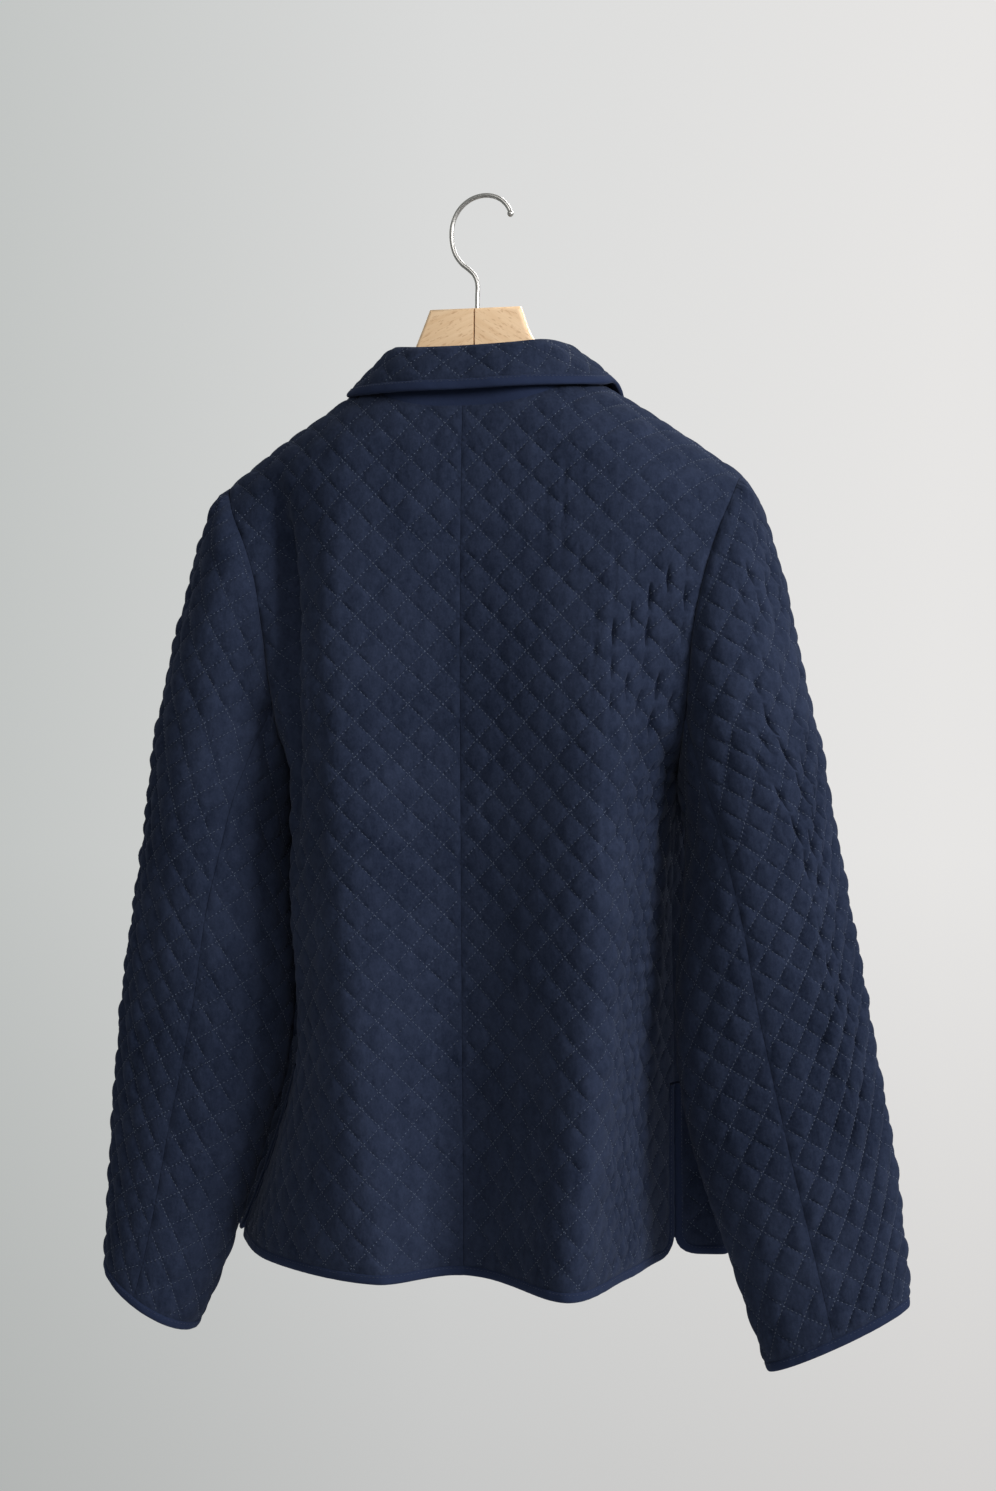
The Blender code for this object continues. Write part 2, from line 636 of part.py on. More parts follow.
def inset(uv, distance):
    """A closed outline moved inwards by a distance."""
    ahead = np.roll(uv, -1, axis=0) - uv
    ahead = ahead / np.linalg.norm(ahead, axis=1)[:, None]
    behind = np.roll(ahead, 1, axis=0)
    spin = 1 if signed_area(uv) > 0 else -1
    left = np.column_stack([-ahead[:, 1], ahead[:, 0]]) * spin
    left_behind = np.column_stack([-behind[:, 1], behind[:, 0]]) * spin
    mean = left + left_behind
    length = np.sum(mean * left, axis=1)
    return uv + mean / np.clip(length, 0.35, None)[:, None] * distance


def inside(outline, points):
    """Which points lie inside a closed outline."""
    x, y = points[:, 0], points[:, 1]
    found = np.zeros(len(points), bool)
    ends = np.roll(outline, -1, axis=0)
    for (ax, ay), (bx, by) in zip(outline, ends):
        if ay == by:
            continue
        crosses = (ay > y) != (by > y)
        found ^= crosses & (x < (bx - ax) * (y - ay) / (by - ay) + ax)
    return found


def distance_to(outline, points):
    """Distance from each point to a closed outline."""
    best = np.full(len(points), 1e9)
    ends = np.roll(outline, -1, axis=0)
    for a, b in zip(outline, ends):
        along = b - a
        t = np.clip(((points - a) @ along) / max(along @ along, 1e-12), 0, 1)
        best = np.minimum(best, np.linalg.norm(points - (a + t[:, None] * along), axis=1))
    return best


def lattice(outline, turn_degrees, origin, margin):
    """The quilting's crossings and diamond middles inside an outline, and its stitch lines."""
    half = DIAMOND / 2
    angle = math.radians(turn_degrees)
    axes = np.array([[math.cos(angle), math.sin(angle)], [-math.sin(angle), math.cos(angle)]])
    flat = (outline - origin) @ axes.T / half
    low = np.floor(flat.min(axis=0)).astype(int) - 1
    high = np.ceil(flat.max(axis=0)).astype(int) + 2
    index = np.array([(i, j) for i in range(low[0], high[0]) for j in range(low[1], high[1])])
    points = (index * half) @ axes + origin
    kept = inside(outline, points)
    index, points = index[kept], points[kept]
    clear = distance_to(outline, points) > margin
    index, points = index[clear], points[clear]
    middle = (index.sum(axis=1) % 2) != 0
    where = {tuple(one): k for k, one in enumerate(index)}
    stitches = []
    for (i, j), k in where.items():
        if (i + j) % 2 == 0:
            for other in ((i + 1, j + 1), (i + 1, j - 1)):
                if other in where:
                    stitches.append((k, where[other]))
    return points, middle, stitches


def fill(outline, points, edges):
    """Triangles over an outline's points and the points inside it."""
    count = len(outline)
    every = [Vector(p) for p in np.vstack([outline, np.reshape(points, (-1, 2))])]
    edges = [(a + count, b + count) for a, b in edges]
    made = geometry.delaunay_2d_cdt(every, edges, [list(range(count))], 1, 1e-7)
    source = [ids[0] for ids in made[3]]
    faces = []
    for face in made[2]:
        a, b, c = (source[i] for i in face)
        p, q, r = every[a], every[b], every[c]
        if (q - p).cross(r - p) < 0:
            b, c = c, b
        faces.append((a, b, c))
    return faces


def inner_grid(sheet, cut):
    """Points of the plain inner wall, closer together where the cloth turns."""
    low, high = cut.min(axis=0), cut.max(axis=0)
    found = [np.empty((0, 2))]
    u = np.arange(low[0], high[0], INNER_SCAN)
    for k, v in enumerate(np.arange(low[1] + INNER_STEP_V / 2, high[1], INNER_STEP_V)):
        row = np.column_stack([u, np.full(len(u), v)])
        direction = normals(sheet, row)
        cosine = np.clip(np.sum(direction[1:] * direction[:-1], axis=1), -1, 1)
        share = np.cumsum(np.arccos(cosine) / INNER_TURN + INNER_SCAN / INNER_STEP_U) + 0.5 * (k % 2)
        found.append(row[1:][np.diff(np.floor(share), prepend=0) > 0])
    grid = np.vstack(found)
    grid = grid[inside(cut, grid)]
    return grid[distance_to(cut, grid) > INNER_MARGIN]


def panel(name, sheet, seams, turn_degrees=0.0, origin=(0.0, 0.0), inner_lines=(), finish="cloth"):
    """One cut piece of cloth as a closed wall, quilted outside and plain inside."""
    uv, xyz, normal = joined(seams)
    if signed_area(uv) < 0:
        uv, xyz, normal = uv[::-1], xyz[::-1], normal[::-1]
    cut = inset(uv, SEAM_GAP / 2 + SEAM_TURN)
    edge_base = xyz + sheet.place(cut) - sheet.place(uv)
    pull = xyz - sheet.place(uv)

    def eased(points):
        """The sheet's places, pulled to the seams that it is sewn to."""
        place = sheet.place(points)
        gaps = np.linalg.norm(points[:, None] - cut[None], axis=2)
        near = gaps.argmin(axis=1)
        share = np.exp(-((gaps.min(axis=1) / SEAM_EASE) ** 2))
        return place + pull[near] * share[:, None]

    middles, raised, stitches = lattice(cut, turn_degrees, np.array(origin), QUILT_MARGIN)
    outer = [edge_base]
    if len(middles):
        fade = np.clip((distance_to(cut, middles) - QUILT_MARGIN / 2) / PUFF_FADE, 0, 1)
        lift = np.where(raised, PUFF * fade**0.6, 0.0)
        outer.append(eased(middles) + normals(sheet, middles) * lift[:, None])
    outer = np.vstack(outer)
    outer_faces = fill(cut, middles, stitches)

    grid = inner_grid(sheet, cut)
    if inner_lines:
        folded = np.sum(normals(sheet, uv) * normal, axis=1) < 0.9
        ring = inset(uv, INNER_RING)[folded & (xyz[:, 2] < UNDERARM_Z + UNDERARM_RISE)]
        ring = ring[inside(cut, ring)]
        ring = ring[distance_to(cut, ring) > INNER_RING * 0.7]
        inner_lines = [*inner_lines, ring]
    for line in inner_lines:
        far = np.linalg.norm(grid[:, None] - line[None], axis=2).min(axis=1) > INNER_CLEAR
        grid = np.vstack([grid[far], line])
    inner = [edge_base - normal * WALL]
    if len(grid):
        ahead = normals(sheet, grid + [FOLD_REACH, 0])
        behind = normals(sheet, grid - [FOLD_REACH, 0])
        fold = np.clip(np.linalg.norm(ahead - behind, axis=1) / FOLD_TURN, 0, 1)
        place = eased(grid)
        near = (place[:, 2] - UNDERARM_Z - UNDERARM_REACH / 2) / UNDERARM_REACH
        bulk = UNDERARM_EXTRA * np.exp(-(near**2))
        inner.append(place - normals(sheet, grid) * (WALL + FOLD_EXTRA * fold + bulk)[:, None])
    inner = np.vstack(inner)
    long = np.array([1.0, INNER_LONG])
    inner_faces = fill(cut * long, grid * long, [])

    count = len(cut)
    shift = len(outer)
    faces = [tuple(face) for face in outer_faces]
    faces += [(a + shift, c + shift, b + shift) for a, b, c in inner_faces]
    for i in range(count):
        j = (i + 1) % count
        if xyz[i][2] > xyz[j][2]:
            faces += [(j, i, i + shift), (j, i + shift, j + shift)]
        else:
            faces += [(j, i, j + shift), (i, i + shift, j + shift)]
    if sheet.turn() < 0:
        faces = [face[::-1] for face in faces]
    return add_mesh(name, np.vstack([outer, inner]), faces, finish)


def strip(name, centre, normal, across, finish, closed=False):
    """A binding: a band of BIND_WIDTH along centre, standing a little proud of the cloth."""
    half = BIND_WIDTH / 2
    top = (BIND_THICKNESS - WALL) / 2
    low = top - BIND_THICKNESS
    edge = half - BIND_EASE
    corners = ((-half, top), (edge, top), (edge, low), (-half, low))
    rings = [centre + across * out + normal * up for out, up in corners]
    count, sides = len(centre), len(corners)
    points = np.stack(rings, axis=1).reshape(-1, 3)
    faces = []
    last = count if closed else count - 1
    for i in range(last):
        j = (i + 1) % count
        for k in range(sides):
            m = (k + 1) % sides
            faces.append((i * sides + k, i * sides + m, j * sides + m, j * sides + k))
    if not closed:
        faces.append(tuple(range(sides))[::-1])
        faces.append(tuple((count - 1) * sides + k for k in range(sides)))
    tangent = centre[1] - centre[0]
    if np.dot(np.cross(across[0], normal[0]), tangent) > 0:
        faces = [face[::-1] for face in faces]
    return add_mesh(name, points, faces, finish)


def bound_edge(sheet, run, outward):
    """Centre line of the binding along a run of flat points, with its normals and directions."""
    run = np.asarray(run, float)
    tangent = np.gradient(run, axis=0)
    tangent = tangent / np.linalg.norm(tangent, axis=1)[:, None]
    away = np.column_stack([tangent[:, 1], -tangent[:, 0]]) * outward
    across = sheet.place(run + away * 3) - sheet.place(run)
    across = across / np.linalg.norm(across, axis=1)[:, None]
    centre = sheet.place(run) + across * (BIND_WIDTH / 2 + BIND_GAP)
    return centre, normals(sheet, run), across


def trimmed(run, first, last=0.0):
    """A run of flat points with its end points moved inwards along it."""
    run = run.copy()
    for end, following, cut in ((0, 1, first), (-1, -2, last)):
        along = run[following] - run[end]
        run[end] = run[end] + along / np.linalg.norm(along) * cut
    return run


def rounded(corner, before, after, radius, pieces=3):
    """An arc of flat points in place of a corner."""
    corner, before, after = (np.asarray(p, float) for p in (corner, before, after))
    first = corner + (before - corner) / np.linalg.norm(before - corner) * radius
    last = corner + (after - corner) / np.linalg.norm(after - corner) * radius
    t = np.linspace(0, 1, pieces + 1)[:, None]
    return first * (1 - t) ** 2 + corner * 2 * t * (1 - t) + last * t**2


def neck_run(sheet, table):
    """Flat points of a neckline given as (x, z), a few more than the table has."""
    table = np.asarray(table, float)
    station = np.arange(len(table), dtype=float)
    fine = np.linspace(0, station[-1], 2 * len(table) - 1)
    x = through(station, table[:, 0], fine)
    z = through(station, table[:, 1], fine)
    v = flat_height(x, z)
    v = np.where(x >= NECK_POINT[0] - 1e-6, ridge_z(x) + ROOF_EXTRA, v)
    return np.column_stack([sheet.u_at(x, v), v])


class Side:
    """The sheets and shared seams of one side of the jacket."""

    CENTRE_V = np.arange(-175.0, HEM_Z + BIND_WIDTH + 6.0, -DIAMOND)
    RIDGE_X = np.linspace(NECK_POINT[0], SHOULDER_TIP[0], 9)
    SIDE_V = np.linspace(UNDERARM_Z, VENT_TOP, 12)
    ELBOW_SPLIT = 10
    FRONT_SPLIT = 12

    def __init__(self, side, back_rows, front_rows, armhole, rings):
        self.side = side
        self.back = BodySheet(side, False, back_rows, armhole, front_rows)
        self.front = BodySheet(side, True, front_rows, armhole, back_rows)
        self.sleeve = SleeveSheet(side, rings)
        self.make_ridge()
        self.make_side_seam()
        self.make_armhole()

    def make_ridge(self):
        """The shoulder seam, neck point to tip, on both sheets."""
        v = ridge_z(self.RIDGE_X) + ROOF_EXTRA
        place = np.column_stack([self.RIDGE_X * self.side, 0 * v, ridge_z(self.RIDGE_X)])
        uv_back = np.column_stack([self.back.u_at(self.RIDGE_X, v), v])
        uv_front = np.column_stack([self.front.u_at(self.RIDGE_X, v), v])
        normal = shared_normal(normals(self.back, uv_back), normals(self.front, uv_front))
        self.ridge_back = Seam(uv_back, place, normal)
        self.ridge_front = Seam(uv_front, place, normal)

    def make_side_seam(self):
        """The side seam, underarm to the top of the vent, on both sheets."""
        uv_back = np.column_stack([self.back.edge_u(self.SIDE_V), self.SIDE_V])
        uv_front = np.column_stack([self.front.edge_u(self.SIDE_V), self.SIDE_V])
        place = self.back.place(uv_back)
        normal = shared_normal(normals(self.back, uv_back), normals(self.front, uv_front))
        self.side_back = Seam(uv_back, place, normal)
        self.side_front = Seam(uv_front, place, normal)

    def sleeve_flat(self, places, back):
        """Flat points on the sleeve of places along the armhole."""
        ring_z = self.sleeve.points[:, 0, 2]
        v = np.interp(places[:, 2], ring_z, self.sleeve.v)
        inner = np.interp(v, self.sleeve.v, self.sleeve.rows[:, 0])
        outer = np.interp(v, self.sleeve.v, self.sleeve.rows[:, 2])
        across = np.clip((np.abs(places[:, 0]) - inner) / (outer - inner), 0, 1)
        angle = np.degrees(np.arccos(2 * across - 1)) * (1 if back else -1)
        angle[-1] = 180.0 if back else -180.0
        flat = np.column_stack([self.sleeve.u_of(angle, v), v])
        flat[0] = (0.0, self.sleeve.v[-1] - 0.5)
        return flat

    def make_armhole(self):
        """The armhole seam, tip to underarm, at the back and at the front."""
        self.hole = {}
        for name, sheet, back in (("back", self.back, True), ("front", self.front, False)):
            uv = sheet.armhole
            place = sheet.place(uv)
            flat = self.sleeve_flat(place, back)
            body, sleeve = crotch_normals(normals(sheet, uv), normals(self.sleeve, flat))
            self.hole[name] = (Seam(uv, place, body), Seam(flat, place.copy(), sleeve))
        tip = self.hole["back"][0].normal[0] + self.hole["front"][0].normal[0]
        tip = tip / np.linalg.norm(tip)
        for layer in (0, 1):
            under = self.hole["back"][layer].normal[-1] + self.hole["front"][layer].normal[-1]
            under = under / np.linalg.norm(under)
            for name in self.hole:
                seam = self.hole[name][layer]
                seam.normal[0] = tip
                seam.normal[-1] = under
                seam.xyz[-1] = self.side_back.xyz[0]
        self.side_back.normal[0] = self.hole["back"][0].normal[-1]
        self.side_front.normal[0] = self.hole["back"][0].normal[-1]
        self.ridge_back.normal[-1] = tip
        self.ridge_front.normal[-1] = tip
        for layers in self.hole.values():
            for seam in layers:
                seam.xyz[0] = self.ridge_back.xyz[-1]

    def bound_back_run(self):
        """Flat points where the back meets its binding: down the vent and along the hem."""
        cut = BIND_WIDTH + SEAM_GAP
        v = np.linspace(VENT_TOP, HEM_Z + cut, 7)
        vent = np.column_stack([self.back.edge_u(v) - cut, v])
        corner = vent[-1]
        arc = rounded(corner, vent[-3], (corner[0] - CORNER_LEAD, corner[1]), VENT_ROUND)
        hem_u = np.linspace(corner[0] - VENT_ROUND, 0.0, int(corner[0] / EDGE_STEP) + 1)[1:]
        hem = np.column_stack([hem_u, np.full(len(hem_u), corner[1])])
        return np.vstack([vent[:-1], arc, hem])

    def bound_front_run(self):
        """Flat points where the front meets its binding: vent, hem and front edge."""
        cut = BIND_WIDTH + SEAM_GAP
        v = np.linspace(VENT_TOP, HEM_Z + cut, 7)
        vent = np.column_stack([self.front.edge_u(v) - cut, v])
        corner = vent[-1]
        arc = rounded(corner, vent[-3], (corner[0] - CORNER_LEAD, corner[1]), VENT_ROUND)
        front_corner = np.array([cut, corner[1]])
        radius = FRONT_ROUND
        hem_start, hem_count = corner[0] - VENT_ROUND, int(corner[0] / EDGE_STEP)
        hem_u = np.linspace(hem_start, cut + radius, hem_count)[1:-1]
        hem = np.column_stack([hem_u, np.full(len(hem_u), corner[1])])
        turn = rounded(front_corner, corner, (cut, corner[1] + CORNER_LEAD), radius, 4)
        top = neck_run(self.front, FRONT_NECK)[-1][1]
        up_v = np.linspace(corner[1] + radius, top, int((top - corner[1]) / EDGE_STEP_LONG))[1:]
        edge = np.column_stack([np.full(len(up_v), cut), up_v])
        return np.vstack([vent[:-1], arc, hem, turn, edge])

    def build_back(self, name):
        """The back's half, from its centre seam to the armhole, side seam and vent."""
        sheet = self.back
        run = self.bound_back_run()
        centre = np.column_stack([0 * self.CENTRE_V, self.CENTRE_V])
        centre = np.vstack([centre, [0.0, run[-1][1]]])[::-1]
        normal = normals(sheet, centre)
        normal[:, 0] = 0.0
        normal = normal / np.linalg.norm(normal, axis=1)[:, None]
        neck = neck_run(sheet, BACK_NECK)
        step = np.vstack([self.side_back.uv[-1], run[0]])
        seams = [
            seam_on(sheet, centre, normal=normal),
            seam_on(sheet, neck),
            self.ridge_back,
            self.hole["back"][0],
            self.side_back,
            seam_on(sheet, step),
            seam_on(sheet, run),
        ]
        return panel(name, sheet, seams, origin=(0.0, -175.0), inner_lines=self.inner_lines(sheet))

    def build_front(self, name):
        """A front, from its bound edge round to the side seam."""
        sheet = self.front
        run = self.bound_front_run()
        neck = neck_run(sheet, FRONT_NECK)
        neck = neck[neck[:, 0] > run[-1][0] + 4.0]
        neck = np.vstack([neck, run[-1]])
        step = np.vstack([self.side_front.uv[-1], run[0]])
        seams = [
            seam_on(sheet, neck[::-1]),
            self.ridge_front,
            self.hole["front"][0],
            self.side_front,
            seam_on(sheet, step),
            seam_on(sheet, run),
        ]
        return panel(name, sheet, seams, origin=(18.0, -175.0), inner_lines=self.inner_lines(sheet))

    def inner_lines(self, sheet):
        """Lines of points of the inner wall below the shoulder's ridge and about the underarm."""
        x = np.linspace(NECK_POINT[0] + 8, SHOULDER_TIP[0] - 12, 6)
        v = ridge_z(x) + ROOF_EXTRA - INNER_RIDGE_DROP
        lines = [np.column_stack([sheet.u_at(x, v), v])]
        for above in INNER_UNDERARM:
            v = np.full(5, UNDERARM_Z + above)
            u = sheet.edge_u(v) - np.linspace(13, 77, 5)
            lines.append(np.column_stack([u, v]))
        return lines

    def seam_down(self, name, start, split_uv, full_turn):
        """A seam down the sleeve from the armhole to the cuff, in flat points."""
        end = self.sleeve.ring_v[-1] + CUFF_BIND
        v = np.linspace(start, end, 17)[1:]
        z = np.interp(v, self.sleeve.v, (self.sleeve.rows[:, 1] + self.sleeve.rows[:, 3]) / 2)
        angle = through(column(SLEEVE_SEAMS, "z"), column(SLEEVE_SEAMS, name), z)
        flat = np.column_stack([self.sleeve.u_of(angle - (0 if full_turn else 360), v), v])
        return np.vstack([split_uv, flat]), angle[-1]

    def build_sleeve(self, name):
        """The upper and the under sleeve."""
        sheet = self.sleeve
        back, front = self.hole["back"][1], self.hole["front"][1]
        elbow, elbow_end = self.seam_down(
            "elbow", back.uv[self.ELBOW_SPLIT][1], back.uv[self.ELBOW_SPLIT], True
        )
        split = front.uv[self.FRONT_SPLIT]
        outer_front, front_end = self.seam_down("front", split[1], split, False)
        angle = 360.0 + np.degrees(np.interp(split[0], sheet.run[self.row(split[1])], sheet.ANGLE))
        split_under = np.array([sheet.u_of([angle], np.array([split[1]]))[0], split[1]])
        inner_front, _ = self.seam_down("front", split[1], split_under, True)
        v = elbow[-1][1]
        upper_cuff = self.cuff_run(elbow_end, front_end - 360, v, 14)
        under_cuff = self.cuff_run(elbow_end, front_end, v, 8)
        self.cuff = (upper_cuff, under_cuff)
        shared_front = shared_normal(normals(sheet, outer_front), normals(sheet, inner_front))
        place = sheet.place(inner_front)
        place[0] = front.xyz[self.FRONT_SPLIT]
        elbow_seam = seam_on(sheet, elbow)
        elbow_seam.xyz[0] = back.xyz[self.ELBOW_SPLIT]
        elbow_seam.normal[0] = back.normal[self.ELBOW_SPLIT]
        shared_front[0] = front.normal[self.FRONT_SPLIT]
        upper_front = Seam(outer_front, place, shared_front)
        under_front = Seam(inner_front, place, shared_front)
        head = [
            flip(part_of(back, 0, self.ELBOW_SPLIT)),
            part_of(front, 0, self.FRONT_SPLIT),
        ]
        upper = [*head, upper_front, flip(seam_on(sheet, upper_cuff)), flip(elbow_seam)]
        count = len(back.uv) - 1
        lower_front = part_of(front, self.FRONT_SPLIT, count)
        shifted = lower_front.uv.copy()
        full = sheet.u_of(np.full(len(shifted), 180.0), shifted[:, 1])
        wrapped = sheet.u_of(np.full(len(shifted), -180.0), shifted[:, 1])
        shifted[:, 0] += full - wrapped
        armpit = [
            part_of(back, self.ELBOW_SPLIT, count),
            flip(Seam(shifted, lower_front.xyz, lower_front.normal)),
        ]
        under = [*armpit, under_front, flip(seam_on(sheet, under_cuff)), flip(elbow_seam)]
        turn = SLEEVE_GRAIN_TURN
        return [
            panel(name + "_upper", sheet, upper, turn),
            panel(name + "_under", sheet, under, turn),
        ]

    def row(self, v):
        """Index of the sleeve's row nearest to v."""
        return int(round((v - self.sleeve.v[0]) / self.sleeve.V_STEP))

    def cuff_run(self, start, end, v, pieces):
        """Flat points round the cuff between two angles."""
        angle = np.linspace(start, end, pieces + 1)
        flat_v = np.full(len(angle), v)
        return np.column_stack([self.sleeve.u_of(angle, flat_v), flat_v])

    def build_cuff_binding(self, name):
        """The band round the cuff, on the same stations as the sleeve's two pieces."""
        upper, under = self.cuff
        run = np.vstack([upper[::-1], under[1:-1]])
        place = self.sleeve.place(run)
        across = self.sleeve.place(run - [0, 3]) - place
        across = across / np.linalg.norm(across, axis=1)[:, None]
        centre = place + across * (BIND_WIDTH / 2 + BIND_GAP)
        return strip(name, centre, normals(self.sleeve, run), across, "binding", closed=True)


def part_of(seam, first, last):
    """The points of a seam from one index to another."""
    return Seam(seam.uv[first : last + 1], seam.xyz[first : last + 1], seam.normal[first : last + 1])


def flip(seam):
    """A seam run the other way."""
    return Seam(seam.uv[::-1], seam.xyz[::-1], seam.normal[::-1])


def collar_outline(sheet):
    """Outline of the fall within its binding: along the fold, then round the three bound edges."""
    cut = BIND_WIDTH + SEAM_GAP
    first, last = sheet.u[0] + cut, sheet.u[-1] - cut
    fold_u = np.linspace(first, last, 33)
    fold = np.column_stack([fold_u, 0 * fold_u])
    edge_u = np.linspace(last, first, 31)[1:-1]
    edge = np.column_stack([edge_u, -(sheet.height_at(edge_u) - cut)])
    right_end = np.array([last, -(sheet.height_at(last) - cut)])
    left_end = np.array([first, -(sheet.height_at(first) - cut)])
    right_arc = rounded(right_end, fold[-1], edge[0], COLLAR_ROUND)
    left_arc = rounded(left_end, edge[-1], fold[0], COLLAR_ROUND)
    right = np.vstack([fold[-1], [last, right_end[1] * 0.5], right_arc])
    left = np.vstack([left_arc, [first, left_end[1] * 0.5], fold[0]])
    return fold, np.vstack([right, edge[1:-1], left])


def build_collar(neck_line):
    """The stand on the neckline, the fall turned down from it, and the fall's binding."""
    sheet = CollarSheet(COLLAR)
    fold, bound = collar_outline(sheet)
    seams = [seam_on(sheet, fold), seam_on(sheet, bound)]
    panel("collar_fall", sheet, seams, origin=(0.0, -6.0))
    centre, normal, across = bound_edge(sheet, bound, 1)
    inward = (centre - sheet.place(bound)) @ np.array([0, 0, 1.0])
    if inward[len(inward) // 2] > 0:
        centre, normal, across = bound_edge(sheet, bound, -1)
    strip("binding_collar", centre, normal, across, "binding")

    share = arc_lengths(neck_line) / arc_lengths(neck_line)[-1]
    middle = share[len(share) // 2]
    spread = np.where(share < middle, (share - middle) / middle, (share - middle) / (1 - middle))
    fold_u = spread * (sheet.u[-1] - 4.0)
    top = np.column_stack([np.interp(fold_u, sheet.u, sheet.fold[:, a]) for a in range(3)])
    edge = np.column_stack([np.interp(fold_u, sheet.u, sheet.edge[:, a]) for a in range(3)])
    outward = (edge - top) * np.array([1, 1, 0])
    outward = outward / np.linalg.norm(outward, axis=1)[:, None]
    top = top - outward * STAND_IN - np.array([0, 0, 0.8])
    bottom = neck_line + np.array([0, 0, 0.45])
    levels = np.linspace(0, 1, 3)[:, None, None]
    outer = bottom * (1 - levels) + top * levels + outward * (np.sin(levels * math.pi) * 1.0)
    inner = outer - outward * STAND_WALL
    wall_from_rows("collar_stand", outer, inner, "cloth")


def wall_from_rows(name, outer, inner, finish):
    """A wall between an outer and an inner grid of points (rows, stations)."""
    rows, count = outer.shape[:2]
    shift = rows * count
    points = np.vstack([outer.reshape(-1, 3), inner.reshape(-1, 3)])
    faces = []
    for r in range(rows - 1):
        for i in range(count - 1):
            a, b = r * count + i, r * count + i + 1
            c, d = b + count, a + count
            faces.append((a, b, c, d))
            faces.append((d + shift, c + shift, b + shift, a + shift))
    rim = [i for i in range(count)]
    rim += [r * count + count - 1 for r in range(1, rows)]
    rim += [(rows - 1) * count + i for i in range(count - 2, -1, -1)]
    rim += [r * count for r in range(rows - 2, 0, -1)]
    for a, b in zip(rim, rim[1:] + rim[:1]):
        faces.append((b, a, a + shift, b + shift))
    side = np.cross(outer[0][1] - outer[0][0], outer[1][0] - outer[0][0])
    if np.dot(side, outer[0][0] - inner[0][0]) < 0:
        faces = [face[::-1] for face in faces]
    return add_mesh(name, points, faces, finish)


def turned(name, profile, centre, axis, finish, sides=12):
    """A solid of revolution from (radius, height) pairs between two points on its axis."""
    axis = Vector(axis).normalized()
    frame = np.array(axis.to_track_quat("Z", "Y").to_matrix())
    angles = np.linspace(0, 2 * math.pi, sides, endpoint=False)
    ring = np.column_stack([np.cos(angles), np.sin(angles), 0 * angles])
    points = [np.array([[0, 0, profile[0][1]]])]
    for radius, height in profile[1:-1]:
        points.append(ring * radius + [0, 0, height])
    points.append(np.array([[0, 0, profile[-1][1]]]))
    points = np.vstack(points) @ frame.T + np.asarray(centre, float)
    faces = []
    rings = len(profile) - 2
    last = 1 + rings * sides
    for k in range(sides):
        m = (k + 1) % sides
        faces.append((0, 1 + m, 1 + k))
        for r in range(rings - 1):
            low, high = 1 + r * sides, 1 + (r + 1) * sides
            faces.append((low + k, low + m, high + m, high + k))
        top = 1 + (rings - 1) * sides
        faces.append((last, top + k, top + m))
    return add_mesh(name, points, faces, finish)


def build_buttons(sheet):
    """Flat sewn-on buttons down the upper front."""
    radius, rim = BUTTON_RADIUS, BUTTON_THICKNESS
    floor = rim - BUTTON_DISH
    profile = (
        (0, 0), (radius - 1.0, 0), (radius, 0.9), (radius, rim - 0.8), (radius - 0.9, rim),
        (radius - 2.4, floor), (0, floor),
    )
    for number in range(BUTTON_COUNT):
        v = BUTTON_TOP_Z - number * BUTTON_STEP
        flat = np.array([[FRONT_EDGE_X, v]])
        normal = normals(sheet, flat)[0]
        centre = sheet.place(flat)[0] + normal * (PUFF * 0.72)
        turned(f"button_{number + 1}", profile, centre, normal, "button")


def slab(name, outline, thickness, edge, finish):
    """A board of an (x, z) outline, with its long edges eased."""
    outline = np.asarray(outline, float)
    if signed_area(outline) < 0:
        outline = outline[::-1]
    eased = inset(outline, edge)
    half = thickness / 2
    layers = ((-half, eased), (-half + edge, outline), (half - edge, outline), (half, eased))
    points = np.vstack([np.insert(flat, 1, y, axis=1) for y, flat in layers])
    count = len(outline)
    faces = []
    for layer in range(3):
        for i in range(count):
            j = (i + 1) % count
            a, b = layer * count + i, layer * count + j
            faces.append((a, a + count, b + count, b))
    cap = fill(eased, np.empty((0, 2)), [])
    faces += [tuple(face) for face in cap]
    faces += [tuple(i + 3 * count for i in face[::-1]) for face in cap]
    return add_mesh(name, points, faces, finish)


def build_hanger():
    """Two beech halves, jointed beside the middle, whose arms carry the shoulders."""
    under = [*HANGER_END, *HANGER_UNDER]
    joint = WOOD_JOINT_X
    for side, name in ((1, "hanger_right"), (-1, "hanger_left")):
        top = [(x + joint * side if x < 60 else x, z) for x, z in HANGER_TOP]
        start = joint + side * SEAM_GAP / 2
        outline = [(start, HANGER_TOP[0][1])]
        outline += [(x * side, z) for x, z in top]
        outline += [(x * side, z) for x, z in under]
        outline.append((start, HANGER_CENTRE_UNDER_Z))
        slab(name, outline, WOOD_THICKNESS, WOOD_EDGE, "beech")


# The hook's wire from its ball end over the top and down to the stem, in the hanger's plane
HOOK_ROUTE = (
    (23.2, -16.0), (20.8, -8.6), (14.6, -1.8), (6.0, 1.7), (-3.0, 1.6), (-12.0, -1.8), (-20.0, -9.2),
    (-24.8, -20.0), (-25.4, -32.0), (-22.8, -43.0), (-17.4, -51.2), (-11.0, -56.6), (-6.4, -61.6),
    (HOOK_STEM_X, -68.5), (HOOK_STEM_X, -78.0), (HOOK_STEM_X, HOOK_STEM_END_Z),
)


